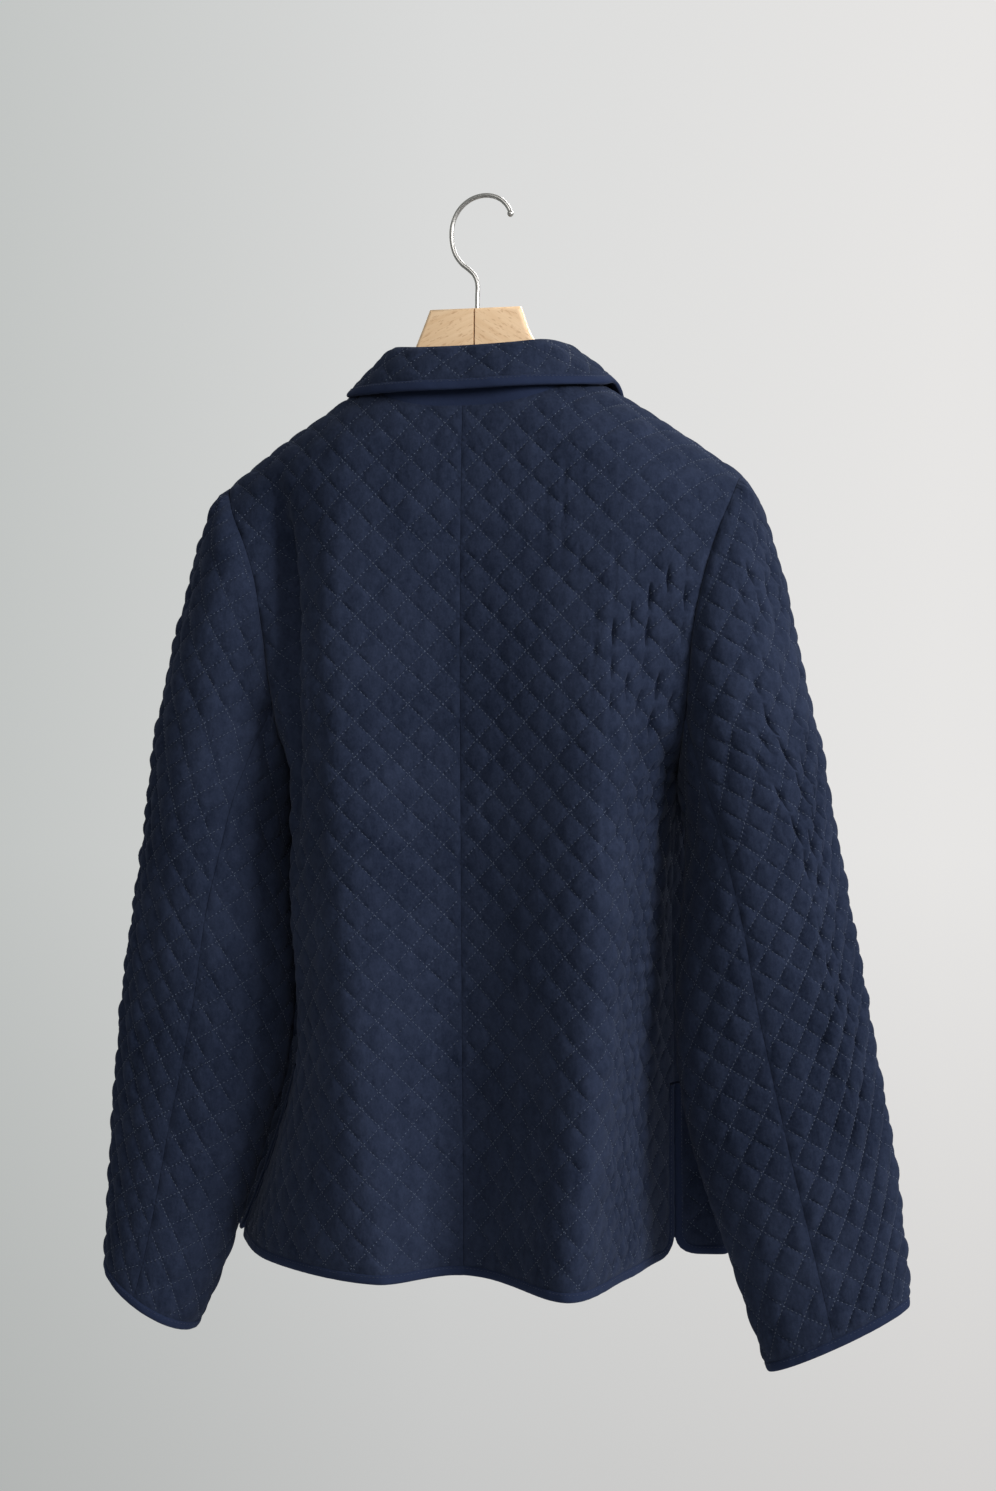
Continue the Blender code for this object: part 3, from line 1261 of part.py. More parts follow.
def build_hook():
    """The steel wire, swelling to a ball at its free end."""
    route = np.array(HOOK_ROUTE)
    station = np.arange(len(route), dtype=float)
    fine = np.linspace(0, station[-1], 28)
    line = through(station, route, fine)
    run = arc_lengths(line)
    at = np.concatenate([HOOK_BALL * HOOK_BALL_RINGS, run[run > HOOK_BALL * 2.2]])
    line = np.column_stack([np.interp(at, run, line[:, 0]), 0 * at, np.interp(at, run, line[:, 1])])
    swell = HOOK_BALL * np.sqrt(np.clip(1 - (at / HOOK_BALL - 1) ** 2, 0, 1))
    radius = np.maximum(swell, np.where(at < HOOK_BALL, 0.0, HOOK_RADIUS))
    sides = HOOK_SIDES
    angles = np.linspace(0, 2 * math.pi, sides, endpoint=False)
    tangent = np.gradient(line, axis=0)
    tangent = tangent / np.linalg.norm(tangent, axis=1)[:, None]
    up = np.array([0.0, 1.0, 0.0])
    out = np.cross(tangent, up)
    points = np.concatenate(
        [p + (o * np.cos(angles)[:, None] + up * np.sin(angles)[:, None]) * r
         for p, o, r in zip(line, out, radius)]
    )
    faces = []
    for i in range(len(line) - 1):
        for k in range(sides):
            m = (k + 1) % sides
            faces.append((i * sides + k, (i + 1) * sides + k, (i + 1) * sides + m, i * sides + m))
    faces.append(tuple(range(sides)))
    faces.append(tuple((len(line) - 1) * sides + k for k in range(sides))[::-1])
    return add_mesh("hook", points, faces, "steel")


def main():
    """Build every piece of the jacket and its hanger."""
    clear_scene()
    right = Side(1, BACK_RIGHT, FRONT_RIGHT, ARMHOLE_RIGHT, SLEEVE_RIGHT)
    left = Side(-1, BACK_LEFT, FRONT_LEFT, ARMHOLE_LEFT, SLEEVE_LEFT)
    hem = {}
    for half, word in ((right, "right"), (left, "left")):
        half.build_back("back_" + word)
        half.build_front("front_" + word)
        half.build_sleeve("sleeve_" + word)
        half.build_cuff_binding("binding_cuff_" + word)
        run = half.bound_front_run()
        strip("binding_front_" + word, *bound_edge(half.front, trimmed(run, MITRE, 1.0), -1), "binding")
        hem[word] = bound_edge(half.back, trimmed(half.bound_back_run(), MITRE), -1)
    across = [np.vstack([a, b[::-1][1:]]) for a, b in zip(hem["right"], hem["left"])]
    strip("binding_back_hem", *across, "binding")
    neck = [half.back.place(neck_run(half.back, BACK_NECK)) for half in (left, right)]
    fronts = []
    for half in (left, right):
        run = neck_run(half.front, FRONT_NECK)
        place = half.front.place(run)
        fronts.append(place[np.abs(place[:, 0]) * np.sign(place[:, 0] * half.side) > 2.0])
    neck_line = np.vstack([fronts[0][::-1][:-1], neck[0][::-1], neck[1][1:], fronts[1][1:]])
    build_collar(neck_line)
    build_buttons(left.front)
    build_hanger()
    build_hook()


main()
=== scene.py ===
"""Looks of a quilted jacket hung on a wooden hanger with a steel hook.

Frame: metres, +Z up, origin at the inside top of the hook. The jacket's back faces -Y and the
wearer's right arm is at +X. The pattern's tables are in millimetres. Each quilted panel is laid on
the same sheets as its solid and gets its diamonds, creases and stitches there.
"""

from __future__ import annotations

import logging
import math
from dataclasses import dataclass, field
from enum import Enum
from typing import NamedTuple, Sequence

import bpy
import numpy as np
from mathutils import Matrix, Vector, geometry


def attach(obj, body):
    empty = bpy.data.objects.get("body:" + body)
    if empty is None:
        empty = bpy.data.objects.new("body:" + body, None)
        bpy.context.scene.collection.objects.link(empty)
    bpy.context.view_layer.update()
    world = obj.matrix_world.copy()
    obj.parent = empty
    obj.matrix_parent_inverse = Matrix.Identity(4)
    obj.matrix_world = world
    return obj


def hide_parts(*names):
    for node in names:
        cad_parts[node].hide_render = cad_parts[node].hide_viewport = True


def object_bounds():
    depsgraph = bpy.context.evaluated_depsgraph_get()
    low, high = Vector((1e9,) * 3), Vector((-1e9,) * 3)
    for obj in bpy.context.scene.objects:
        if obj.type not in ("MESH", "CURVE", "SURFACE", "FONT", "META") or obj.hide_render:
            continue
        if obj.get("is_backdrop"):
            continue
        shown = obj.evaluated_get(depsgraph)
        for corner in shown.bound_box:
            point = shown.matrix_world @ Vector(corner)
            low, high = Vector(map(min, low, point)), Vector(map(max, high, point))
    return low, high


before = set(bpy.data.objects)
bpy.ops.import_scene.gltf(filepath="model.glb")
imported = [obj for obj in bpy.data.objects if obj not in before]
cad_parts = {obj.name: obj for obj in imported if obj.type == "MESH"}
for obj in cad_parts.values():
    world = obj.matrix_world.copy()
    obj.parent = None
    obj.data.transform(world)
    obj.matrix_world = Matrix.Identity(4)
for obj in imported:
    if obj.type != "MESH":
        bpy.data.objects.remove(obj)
CAD_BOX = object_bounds()

LOG = logging.getLogger("jacket")
Array = np.ndarray

MM = 0.001
WALL = 2.6              # quilted cloth at its stitched lines
DIAMOND = 27.0          # from stitch crossing to stitch crossing, up and across
SEAM_GAP = 0.3
STEPS = 12              # of the grid between crossings
FINE = DIAMOND / STEPS  # grid of the quilted face
PLAIN = 9.0             # grid of the lining
SEAM_EASE = 22.0        # reach of the easing of a sheet to the seam it is sewn to
SEAM_ROLL = 6.5         # the puffs flatten over this distance from a seam
CREASE_EASE = 12.0      # and the creases over this
BIND_WIDTH = 7.0
BIND_GAP = 0.4
CUT = BIND_WIDTH + SEAM_GAP

NECK_POINT = (84.0, -145.0)     # x and z
SHOULDER_TIP = (209.0, -227.0)
RIDGE_RISE = 3.0
ROOF_DROP = 64.0        # depth within which the cloth rounds over the ridge
ROOF_REACH = 50.0       # and how far it does so
HEM_Z = -849.0
VENT_TOP = -706.0
UNDERARM_Z = -457.0
FRONT_EDGE_X = 18.0
BUTTON_Z = (-262.0, -390.0, -518.0, -646.0, -774.0)

OVERRUN = 0.5           # share of its end piece by which a curve is read past its ends
CHUNK = 4000            # points handled at a time
PROBE = 3.0             # step by which an edge's way out is felt
SHARPEST = 0.35         # keeps an inset from running off at sharp corners
CROTCH_DROP = 0.9
CROTCH_OWN = 0.25
TABLE_SIZE = 64
CHANCE_MIX = (127.1, 311.7, 74.7, 43758.5453)
SHEEN_TINT = (0.62, 0.70, 0.92, 1.0)
SHEEN_ROUGHNESS = 0.45


class BackRow(NamedTuple):
    """A section of the back: centre seam, crest of the side fold, flank and side seam."""

    z: float
    centre_y: float
    crest_x: float
    crest_y: float
    flank_x: float
    flank_y: float
    side_x: float
    side_y: float


class FrontRow(NamedTuple):
    """A section of the front: centre, chest, corner to the side, and hip, just before its seam."""

    z: float
    centre_y: float
    chest_x: float
    chest_y: float
    corner_x: float
    corner_y: float
    hip_x: float
    hip_y: float


class ArmholeRow(NamedTuple):
    """Where the body ends at a height, at the back and at the front."""

    z: float
    back_x: float
    back_y: float
    front_x: float
    front_y: float


class Ring(NamedTuple):
    """A ring of a sleeve: its inner and outer points, half depths and the inner point's place."""

    inner_x: float
    inner_z: float
    outer_x: float
    outer_z: float
    back: float
    front: float
    inner_y: float


class SeamRow(NamedTuple):
    """Angles round the sleeve of its elbow seam and its front seam at a height."""

    z: float
    elbow: float
    front: float


class CollarRow(NamedTuple):
    """The collar's fold, its outer edge, its bulge and how far the left half stands forward."""

    fold_x: float
    fold_y: float
    fold_z: float
    edge_x: float
    edge_y: float
    edge_z: float
    bulge: float
    lap: float


def table_of(kind: type, *values: tuple[float, ...]) -> tuple[NamedTuple, ...]:
    """Rows of one kind."""
    return tuple(kind(*row) for row in values)


BACK_RIGHT = table_of(
    BackRow,
    (-120, -60, 72, -60, 128, -52, 209, -44),
    (-200, -64, 92, -65, 150, -56, 209, -44),
    (-300, -66, 108, -74, 152, -66, 187, -52),
    (-400, -64, 114, -82, 147, -56, 171, -38),
    (-457, -61, 114, -85, 143, -40, 157, 14),
    (-560, -56, 112, -89, 138, -26, 150, 40),
    (-680, -49, 108, -94, 131, -16, 151, 50),
    (-780, -43, 100, -98, 127, -16, 151, 58),
    (-880, -38, 91, -100, 125, -22, 151, 67),
)
BACK_LEFT = table_of(
    BackRow,
    (-120, -60, 72, -60, 128, -52, 209, -44),
    (-200, -64, 90, -65, 146, -54, 205, -45),
    (-300, -66, 97, -77, 147, -50, 172, -52),
    (-400, -64, 97, -81, 141, -54, 161, -36),
    (-457, -61, 95, -82, 139, -44, 156, 14),
    (-560, -56, 88, -83, 139, -36, 150, 42),
    (-680, -49, 76, -84, 132, -40, 164, 56),
    (-780, -43, 66, -85, 149, -40, 190, 52),
    (-880, -39, 56, -85, 166, -34, 228, 46),
)
FRONT_RIGHT = table_of(
    FrontRow,
    (-120, 52, 60, 52, 110, 50, 160, 46),
    (-200, 62, 74, 61, 126, 56, 168, 50),
    (-300, 82, 84, 82, 134, 72, 164, 60),
    (-400, 100, 88, 104, 134, 92, 154, 68),
    (-457, 107, 88, 114, 136, 102, 156, 62),
    (-560, 113, 86, 124, 138, 112, 158, 72),
    (-680, 115, 90, 128, 148, 114, 168, 76),
    (-780, 116, 98, 132, 164, 114, 182, 80),
    (-880, 117, 108, 136, 180, 114, 195, 80),
)
FRONT_LEFT = table_of(
    FrontRow,
    (-120, 61, 60, 55, 110, 50, 160, 46),
    (-200, 71, 74, 66, 126, 56, 168, 50),
    (-300, 91, 84, 86, 134, 72, 158, 60),
    (-400, 109, 88, 108, 134, 92, 152, 68),
    (-457, 116, 88, 118, 138, 102, 157, 64),
    (-500, 119, 87, 123, 143, 107, 165, 75),
    (-560, 122, 86, 128, 149, 115, 175, 84),
    (-680, 124, 90, 132, 162, 118, 185, 90),
    (-780, 125, 98, 136, 184, 113, 209, 84),
    (-880, 126, 108, 140, 204, 111, 231, 80),
)
ARMHOLE_RIGHT = table_of(
    ArmholeRow,
    (-227, 209, -44, 209, 42),
    (-250, 203, -46, 201, 44),
    (-273, 195, -49, 192, 47),
    (-300, 187, -52, 184, 50),
    (-342, 178, -51, 175, 52),
    (-401, 171, -38, 165, 44),
    (-437, 164, -18, 159, 32),
    (-457, 157, 14, 157, 14),
)
ARMHOLE_LEFT = table_of(
    ArmholeRow,
    (-227, 209, -44, 209, 42),
    (-250, 195, -45, 199, 44),
    (-273, 183, -49, 188, 47),
    (-300, 173, -52, 178, 50),
    (-342, 166, -50, 170, 52),
    (-401, 162, -36, 163, 44),
    (-437, 159, -17, 158, 32),
    (-457, 156, 14, 156, 14),
)
# Rings from the shoulder tip to the cuff
SLEEVE_RIGHT = table_of(
    Ring,
    (206, -228, 213, -228, 5, 5, 0),
    (196, -239, 221, -239, 28, 26, 0),
    (188, -250, 223.5, -250, 38, 36, 0),
    (172, -273, 229.5, -273, 50, 48, 0),
    (160, -300, 237.5, -300, 56, 54, 0),
    (156, -342, 246, -342, 60, 60, 2),
    (158, -401, 258.5, -401, 60, 62, 8),
    (157, -437, 266.5, -437, 60, 62, 13),
    (157, -457, 270.5, -457, 60, 62, 14),
    (166, -500, 278, -500, 57, 57, 9),
    (165, -560, 288.5, -556, 51, 48, 4),
    (161, -640, 301.5, -624, 44, 41, 0),
    (165, -702, 311.5, -676, 39, 37, 0),
    (179, -762, 321.5, -735, 37, 35, 0),
    (197, -815, 330, -785, 35, 33, 0),
    (215, -867, 335, -822, 33, 31, 0),
    (233, -918, 339, -859, 31, 29, 0),
)
SLEEVE_LEFT = table_of(
    Ring,
    (206, -228, 213, -228, 5, 5, 0),
    (194, -239, 218, -239, 28, 26, 0),
    (183, -250, 222, -250, 38, 36, 0),
    (166, -273, 231, -273, 50, 48, 0),
    (153, -300, 238, -300, 56, 54, 0),
    (150, -342, 248.5, -342, 60, 60, 2),
    (153, -401, 262, -401, 59, 62, 8),
    (155, -437, 269, -437, 59, 62, 13),
    (156, -457, 271.5, -457, 59, 62, 14),
    (161, -500, 278, -500, 56, 57, 9),
    (158, -560, 287.5, -556, 51, 49, 4),
    (154, -640, 297, -624, 46, 43, 0),
    (161, -702, 302, -676, 43, 41, 0),
    (179, -762, 306.5, -735, 42, 40, 0),
    (196, -813, 309, -785, 42, 40, 0),
    (214, -865, 311.5, -824, 42, 40, 0),
    (238, -918, 313, -864, 42, 40, 0),
)
# Angles round the ring: 0 at the outer point, 90 at the back, 180 at the inner point
SLEEVE_SEAMS = table_of(
    SeamRow,
    (-401, 146, 196),
    (-437, 130, 196),
    (-460, 122, 199),
    (-510, 113, 203),
    (-560, 102, 206),
    (-650, 92, 208),
    (-930, 90, 208),
)

# Neckline, from the centre back over the neck point to the front edge
BACK_NECK = ((0, -175), (24, -174.5), (46, -171), (66, -163.5), (78, -154.5), (84, -145))
FRONT_NECK = ((84, -145), (81, -166), (70, -192), (50, -215), (24, -230), (3, -236), (-18, -238))

# From the centre back to the front, where the left half laps over
COLLAR = table_of(
    CollarRow,
    (0, -60, -128.5, 0, -72, -163.5, 3, 0),
    (36, -58, -127.5, 44, -70, -162.5, 3, 0),
    (58, -45, -124, 82, -53, -160, 2.5, 0),
    (67, -16, -121, 105, -24, -155.8, 1.5, 0),
    (70, 0, -121, 108, 2, -151, 1.5, 0),
    (71, 16, -125, 110, 29, -160.2, 1.5, 1),
    (75, 45, -147, 107, 64, -200, 3, 2),
    (47, 70, -198, 83, 89, -254, 3, 6),
    (7, 77, -222, 46, 98, -290, 3, 9),
)
COLLAR_TILT = 0.018     # rise of the collar towards +X
STAND_WALL = 2.4
STAND_IN = 4.5          # how far the stand's top lies inside the fold


def unit(vectors: Array) -> Array:
    """Rows of vectors made one long."""
    return vectors / np.maximum(np.linalg.norm(vectors, axis=1), 1e-9)[:, None]


def column(rows: Sequence[NamedTuple], name: str) -> Array:
    """One named column of a table of rows."""
    return np.array([getattr(row, name) for row in rows], float)


def arc_lengths(points: Array) -> Array:
    """Distance along a run of points."""
    return np.concatenate([[0], np.cumsum(np.linalg.norm(np.diff(points, axis=0), axis=1))])


def read_line(at: Array, run: Array, points: Array) -> Array:
    """Points at distances along a line, whose own points lie at the distances of run."""
    return np.column_stack([np.interp(at, run, part) for part in points.T])


def hermite(t: Array, width: Array, start: Array, end: Array, leave: Array, arrive: Array) -> Array:
    """Cubic pieces between start and end values with the slopes leave and arrive."""
    return (
        (2 * t**3 - 3 * t**2 + 1) * start
        + (t**3 - 2 * t**2 + t) * width * leave
        + (3 * t**2 - 2 * t**3) * end
        + (t**3 - t**2) * width * arrive
    )


def through(knots: Array, values: Array, at: Array) -> Array:
    """Smooth curve through the values at the knots, read at each place of at."""
    knots, values, at = (np.asarray(one, float) for one in (knots, values, at))
    if knots[0] > knots[-1]:
        knots, values = knots[::-1], values[::-1]
    step = np.diff(knots)
    shape = (-1,) + (1,) * (values.ndim - 1)
    slope = np.diff(values, axis=0) / step.reshape(shape)
    tangent = np.empty_like(values)
    tangent[0], tangent[-1] = slope[0], slope[-1]
    weight = (step[1:] / (step[1:] + step[:-1])).reshape(shape)
    tangent[1:-1] = slope[:-1] * weight + slope[1:] * (1 - weight)
    index = np.clip(np.searchsorted(knots, at) - 1, 0, len(step) - 1)
    width = step[index]
    t = np.clip((at - knots[index]) / width, -OVERRUN, 1 + OVERRUN)
    if values.ndim > 1:
        spread = (1,) * (values.ndim - 1)
        width, t = width.reshape(width.shape + spread), t.reshape(t.shape + spread)
    return hermite(t, width, values[index], values[index + 1], tangent[index], tangent[index + 1])


def smooth(points: Array, samples: int) -> Array:
    """Even samples of a smooth curve that takes as long from each point to the next."""
    knots = np.arange(len(points), dtype=float)
    return through(knots, points, np.linspace(0, knots[-1], samples))


def spline(points: Array, start: Array, end: Array, samples: int = 20) -> Array:
    """Points along a smooth plane curve with the given end directions."""
    points = np.asarray(points, float)
    chord = np.linalg.norm(np.diff(points, axis=0), axis=1)
    tangent = np.empty_like(points)
    tangent[0] = start / np.linalg.norm(start)
    tangent[-1] = end / np.linalg.norm(end)
    tangent[1:-1] = (points[2:] - points[:-2]) / (chord[1:] + chord[:-1])[:, None]
    t = np.linspace(0, 1, samples, endpoint=False)[:, None]
    found = [
        hermite(t, width, points[i], points[i + 1], tangent[i], tangent[i + 1])
        for i, width in enumerate(chord)
    ]
    return np.concatenate([*found, points[-1:]])


# The roof: how the cloth rounds over the shoulder's ridge
ROOF_ANGLE = np.linspace(0, math.pi / 2, 91)
ROOF_DEPTH = ROOF_DROP * (1 - np.cos(ROOF_ANGLE))
ROOF_OUT = np.sin(ROOF_ANGLE)
ROOF_ARC = arc_lengths(np.column_stack([ROOF_REACH * ROOF_OUT, ROOF_DEPTH]))
ROOF_EXTRA = ROOF_ARC[-1] - ROOF_DROP


def ridge_z(x: Array) -> Array:
    """Height of the shoulder's ridge at x from the middle."""
    along = (np.abs(x) - NECK_POINT[0]) / (SHOULDER_TIP[0] - NECK_POINT[0])
    rise = RIDGE_RISE * np.sin(math.pi * np.clip(along, 0, 1))
    return NECK_POINT[1] + (SHOULDER_TIP[1] - NECK_POINT[1]) * along + rise


def flat_height(x: Array, z: Array) -> Array:
    """Height on the flat sheet of the point that hangs at height z."""
    depth = ridge_z(x) - z
    cloth = np.interp(depth, ROOF_DEPTH, ROOF_ARC)
    return np.where(depth < ROOF_DROP, ridge_z(x) + ROOF_EXTRA - cloth, z)


def read_grid(grid: Array, uv: Array, start: tuple[float, float], step: float) -> Array:
    """Values between the points of an even grid (rows are v, columns are u)."""
    uv = np.asarray(uv, float)
    m, k = (uv[:, 0] - start[0]) / step, (uv[:, 1] - start[1]) / step
    along = np.clip(m.astype(int), 0, grid.shape[1] - 2)
    row = np.clip(k.astype(int), 0, grid.shape[0] - 2)
    b, a = (m - along)[:, None], np.clip(k - row, -1, 2)[:, None]
    low = grid[row, along] * (1 - b) + grid[row, along + 1] * b
    high = grid[row + 1, along] * (1 - b) + grid[row + 1, along + 1] * b
    return low * (1 - a) + high * a


class Sheet:
    """Flat cloth that knows the place in space of each of its points (u, v)."""

    STEP = 2.0

    def place(self, uv: Array) -> Array:
        """Points in space of flat points."""
        raise NotImplementedError

    def turn(self) -> int:
        """1 where u, v and the outer side are right-handed, otherwise -1."""
        return 1

    def normals(self, uv: Array) -> Array:
        """Unit outward normals at flat points."""
        reach = 2.5
        uv = np.asarray(uv, float)
        ahead = self.place(uv + [reach, 0]) - self.place(uv - [reach, 0])
        above = self.place(uv + [0, reach]) - self.place(uv - [0, reach])
        return unit(np.cross(ahead, above) * self.turn())


class BodySheet(Sheet):
    """Half of the body's back or front: u runs from the centre, v is the height."""

    FOOT, HEAD, LONGEST = -890.0, -90.0, 420.0
    OVERHANG = 60.0             # cloth laid out past the side seam
    GATHER_TOP = -440.0         # cloth is bunched up below this height,
    GATHER_FADE = 80.0          # fully from this much lower on,
    GATHER_U = 120.0            # at this place along the row,
    GATHER_LEAN = 0.1           # which moves out by this share of the height,
    GATHER_REACH = 26.0         # over this reach

    def __init__(
        self,
        side: int,
        front: bool,
        half_rows: Sequence[NamedTuple],
        armhole: Sequence[ArmholeRow],
        other_rows: Sequence[NamedTuple],
        gather: float = 0.0,
    ) -> None:
        """Lay out the half.

        Args:
            side: 1 for +X and -1 for -X.
            front: whether it is a front.
            half_rows: its own sections.
            armhole: the armhole's places.
            other_rows: the sections of the half that it meets at the side.
            gather: extra cloth that is bunched up along its flank.
        """
        self.side, self.front = side, front
        self.v = np.arange(self.FOOT, self.HEAD, self.STEP)
        edge = self.edge_rows(half_rows, armhole, other_rows)
        names = [name for name in half_rows[0]._fields if name != "z"]
        z = column(half_rows, "z")
        control = {name: through(z, column(half_rows, name), self.v) for name in names}
        near = ("hip_x", "hip_y") if not front else ("flank_x", "flank_y")
        other_z = column(other_rows, "z")
        met = [through(other_z, column(other_rows, name), self.v) for name in near]
        beyond = np.column_stack(met)
        inner = ("chest", "corner", "hip") if front else ("crest", "flank")
        self.u = np.arange(0.0, self.LONGEST, self.STEP)
        x = np.empty((len(self.v), len(self.u)))
        y = np.empty_like(x)
        self.width = np.empty(len(self.v))
        for k, v in enumerate(self.v):
            points = [(-FRONT_EDGE_X if front else 0.0, control["centre_y"][k])]
            points += [(control[name + "_x"][k], control[name + "_y"][k]) for name in inner]
            points.append(tuple(edge[k]))
            last = (beyond[k] if v < UNDERARM_Z else edge[k]) - points[-2]
            line = spline(np.array(points), np.array([1.0, 0.0]), last)
            line = np.vstack([line, line[-1] + last / np.linalg.norm(last) * self.OVERHANG])
            run = self.gathered(arc_lengths(line), v, gather)
            self.width[k] = run[-2]
            x[k] = np.interp(self.u, run, line[:, 0])
            y[k] = np.interp(self.u, run, line[:, 1])
        self.grid = np.dstack([x, y])

    def gathered(self, run: Array, v: float, gather: float) -> Array:
        """Lengths along the row at height v, with the bunched cloth let in."""
        bunched = gather * np.clip((self.GATHER_TOP - v) / self.GATHER_FADE, 0, 1)
        past = run - self.GATHER_U + self.GATHER_LEAN * v
        return run + bunched * (1 + np.tanh(past / self.GATHER_REACH)) / 2

    def edge_rows(
        self,
        half_rows: Sequence[NamedTuple],
        armhole: Sequence[ArmholeRow],
        other_rows: Sequence[NamedTuple],
    ) -> Array:
        """Where each row of the sheet ends: at the armhole, then at the side seam."""
        back_rows = other_rows if self.front else half_rows
        name = "front" if self.front else "back"
        x, y = column(armhole, name + "_x"), column(armhole, name + "_y")
        height = np.concatenate([[self.HEAD], flat_height(x, column(armhole, "z"))])
        arm = np.column_stack([np.append(x[0], x), np.append(y[0], y)])
        below = [row for row in back_rows if row.z < UNDERARM_Z + 1]
        seam = np.column_stack([column(below, "side_x"), column(below, "side_y")])
        above = (self.v > UNDERARM_Z)[:, None]
        arm_line = through(height, arm, self.v)
        return np.where(above, arm_line, through(column(below, "z"), seam, self.v))

    def armhole_outline(self, armhole: Sequence[ArmholeRow], stations: int) -> Array:
        """Flat points along the armhole, from the shoulder tip to the underarm."""
        name = "front" if self.front else "back"
        rows = np.column_stack([column(armhole, name + "_x"), column(armhole, "z")])
        x, z = smooth(rows, stations).T
        height = flat_height(x, z)
        height[0] = ridge_z(x[0]) + ROOF_EXTRA
        return np.column_stack([self.edge_u(height), height])

    def edge_u(self, v: Array) -> Array:
        """Where the row at height v ends."""
        return np.interp(v, self.v, self.width)

    def u_at(self, x: Array, v: Array) -> Array:
        """Place along the row at height v that lies x from the middle."""
        row = np.clip(np.round((v - self.v[0]) / self.STEP).astype(int), 0, len(self.v) - 1)
        return np.array([np.interp(a, self.grid[k, :, 0], self.u) for a, k in zip(x, row)])

    def place(self, uv: Array) -> Array:
        """Points in space of flat points, bent over the shoulder's ridge where they are near it."""
        uv = np.asarray(uv, float)
        x, y = read_grid(self.grid, uv, (0.0, self.v[0]), self.STEP).T
        cloth = np.clip(ridge_z(x) + ROOF_EXTRA - uv[:, 1], 0, None)
        bent = cloth < ROOF_ARC[-1]
        y = np.where(bent, y * np.interp(cloth, ROOF_ARC, ROOF_OUT), y)
        z = np.where(bent, ridge_z(x) - np.interp(cloth, ROOF_ARC, ROOF_DEPTH), uv[:, 1])
        return np.column_stack([x * self.side, y, z])

    def turn(self) -> int:
        """The hand of this half."""
        return self.side * (-1 if self.front else 1)


class SleeveSheet(Sheet):
    """A sleeve: u runs round it from its outer line towards the back, v down it from the tip."""

    ANGLE = np.radians(np.arange(-182.0, 238.0, 2.0))
    BUNCHED_AT, BUNCHED_REACH = math.radians(38.0), math.radians(32.0)
    GATHER_TOP, GATHER_FADE = -195.0, 90.0
    CUFF_MARGIN, SIDE_MARGIN = 8.0, 4.0

    def __init__(self, side: int, rings: Sequence[Ring], gather: float = 0.0) -> None:
        """Lay the sleeve out from its rings on the side 1 or -1, with a share of it bunched up."""
        self.side = side
        table = np.array(rings, float)
        middle = (table[:, [0, 1]] + table[:, [2, 3]]) / 2
        path = np.column_stack([table[:, 2] * 0.5 + middle[:, 0] * 0.5, middle[:, 1]])
        self.ring_v = -arc_lengths(path)
        self.v = np.arange(self.ring_v[-1] - self.CUFF_MARGIN, 1.0, self.STEP)
        self.rows = through(self.ring_v, table, self.v)
        self.points = np.array([self.ring_points(row) for row in self.rows])
        lengths = np.linalg.norm(np.diff(self.points, axis=1), axis=2)
        bunched = np.exp(-(((self.ANGLE[1:] - self.BUNCHED_AT) / self.BUNCHED_REACH) ** 2))
        below = np.clip((self.GATHER_TOP - self.v) / self.GATHER_FADE, 0, 1)[:, None]
        lengths = lengths * (1 + gather * bunched * below)
        run = np.concatenate([np.zeros((len(self.v), 1)), np.cumsum(lengths, axis=1)], axis=1)
        zero = int(np.argmin(np.abs(self.ANGLE)))
        self.run = run - run[:, zero : zero + 1]
        low, high = self.run.min() - self.SIDE_MARGIN, self.run.max() + self.SIDE_MARGIN
        self.u = np.arange(low, high, self.STEP)
        rows = zip(self.run, self.points)
        self.grid = np.array([read_line(self.u, run, ring) for run, ring in rows])

    def ring_points(self, row: Array) -> Array:
        """Points round one ring at each of ANGLE."""
        inner_x, inner_z, outer_x, outer_z, back, front, inner_y = row
        across = (np.cos(self.ANGLE) + 1) / 2
        depth = np.where(np.sin(self.ANGLE) > 0, back, front)
        x = inner_x + (outer_x - inner_x) * across
        z = inner_z + (outer_z - inner_z) * across
        y = -depth * np.sin(self.ANGLE) + inner_y * (1 - across) ** 3
        return np.column_stack([x * self.side, y, z])

    def row_at(self, v: Array) -> Array:
        """Indices of the rows nearest to v."""
        row = np.round((np.asarray(v, float) - self.v[0]) / self.STEP).astype(int)
        return np.clip(row, 0, len(self.v) - 1)

    def u_of(self, angle: Array, v: Array) -> Array:
        """Distance round the ring at v to an angle in degrees."""
        turned = np.radians(np.asarray(angle, float))
        pairs = zip(turned, self.row_at(v))
        return np.array([np.interp(a, self.ANGLE, self.run[k]) for a, k in pairs])

    def place(self, uv: Array) -> Array:
        """Points in space of flat points."""
        return read_grid(self.grid, uv, (self.u[0], self.v[0]), self.STEP)

    def turn(self) -> int:
        """The hand of this sleeve."""
        return -self.side


